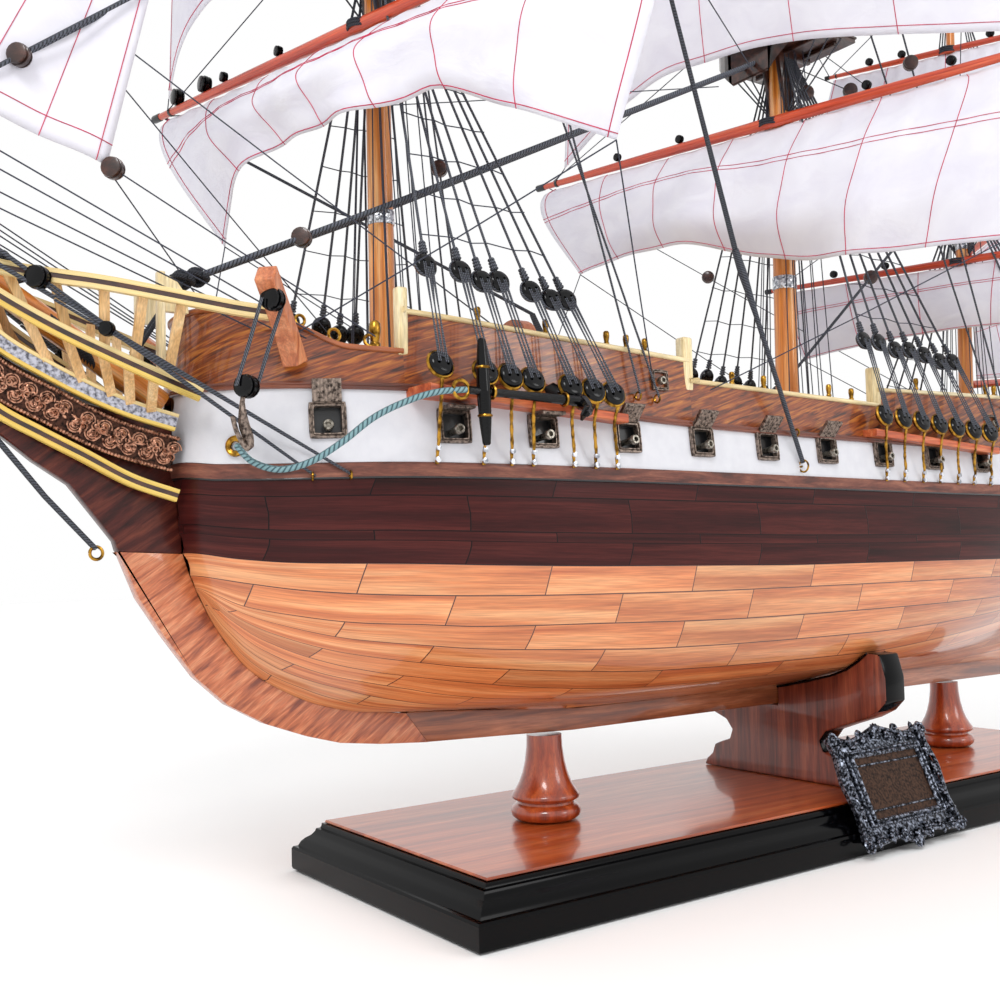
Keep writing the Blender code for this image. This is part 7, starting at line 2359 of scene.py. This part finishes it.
capstan = turned_pole("capstan", (CAPSTAN_X, 0, UPPER_DECK), (CAPSTAN_X, 0, UPPER_DECK + 0.0120),
                      ((0, 0.0062), (0.10, 0.0062), (0.16, 0.0046), (0.50, 0.0034), (0.66, 0.0038),
                       (0.70, 0.0060), (0.92, 0.0060), (1, 0.0050)), 24)
fitting_bits.append(capstan)
for a in evenly(0, TURN, 8)[:-1]:
    whelp = [(CAPSTAN_X + r * math.cos(a), r * math.sin(a), UPPER_DECK + 0.0052 + h)
             for r, h in ((0.0030, -0.003), (0.0036, 0.003))]
    fitting_bits.append(gather("whelp", [bar(whelp, 0.0008, 0.0014)]))
barrel = ((0, 0.0006), (0.04, 0.0012), (0.08, 0.0007), (0.12, 0.0019), (0.30, 0.0018), (0.34, 0.0020),
          (0.38, 0.0016), (0.90, 0.0012), (0.94, 0.0015), (1, 0.0013), (1, 0.0008), (0.9, 0.0007))
for side in (1, -1):
    for x in (0.1302, 0.2010, -0.0450, -0.1065, -0.1380, -0.1950, -0.2250):
        y = half_breadth(x, 0.2050) - WALL - 0.0010
        tip, breech = Vector((x, side * y, 0.2062)), Vector((x, side * (y - 0.0165), 0.2058))
        gun_bits.append(turned_pole("gun", breech, tip, barrel, 14))
        for end in (-1, 1):
            fitting_bits.append(centred("cheek", x + end * 0.0024, side * (y - 0.0085), 0.0006, 0.0060,
                                        UPPER_DECK + 0.0012, UPPER_DECK + 0.0052, bevel=0.0004))
        for back in (0.0045, 0.0125):
            for end in (-1, 1):
                hub_at = Vector((x + end * 0.0030, side * (y - back), UPPER_DECK + 0.0015))
                black_bits.append(turned_pole("truck", hub_at, hub_at + Vector((end * 0.0010, 0, 0)),
                                              ((0, 0.0015), (1, 0.0015)), 12))
            fitting_bits.append(centred("axletree", x, side * (y - back), 0.0030, 0.0006,
                                        UPPER_DECK + 0.0009, UPPER_DECK + 0.0021))
fife_pins = []
for mast, ahead_of in (("fore", -0.0150), ("main", 0.0190), ("main", -0.0150), ("mizzen", -0.0120)):
    x, z = mast_x(mast, 0.2000) + ahead_of, UPPER_DECK if mast != "main" or ahead_of < 0 else DECK_Z
    for y in (-0.0110, 0.0110):
        fitting_bits.append(centred("fife_post", x, y, 0.0013, 0.0013, z, z + 0.0150, bevel=0.0004))
    fitting_bits.append(centred("fife_rail", x, 0, 0.0016, 0.0140, z + 0.0108, z + 0.0128,
                                bevel=0.0004))
    for k in range(-2, 3):
        pin_at = Vector((x, k * 0.0038, z + 0.0125))
        pin_path = [pin_at + Vector((0, 0, h)) for h in (-0.0040, 0, 0.0008, 0.0040)]
        fife_pins.append(gather("fife_pin", [tube(pin_path, (0.0004, 0.0004, 0.0009, 0.0006), 8)]))
for edge, way in ((-0.0060, 1), (0.1170, -1)):
    for side in (1, -1):
        for k in range(3):
            x = edge + way * (0.0020 + 0.0034 * k)
            high = UPPER_DECK - 0.0025 * (k + 1)
            fitting_bits.append(centred("step", x, side * 0.034, 0.0018, 0.0065, DECK_Z, high,
                                        bevel=0.0003))
keep(join("cherry_deck_fittings", fitting_bits), cathead_wood, "cherry")
keep(gather("birch_grating_lattice", lattice_bits, angle=30), slat_wood, "pale_wood")
keep(join("brass_bell_and_fife_pins", brass_bits + fife_pins), brass_wire, "pewter")
keep(join("black_deck_gun_barrels", gun_bits), black_gloss, "black_paint")
keep(join("black_gun_trucks", black_bits), black_satin, "black_paint")
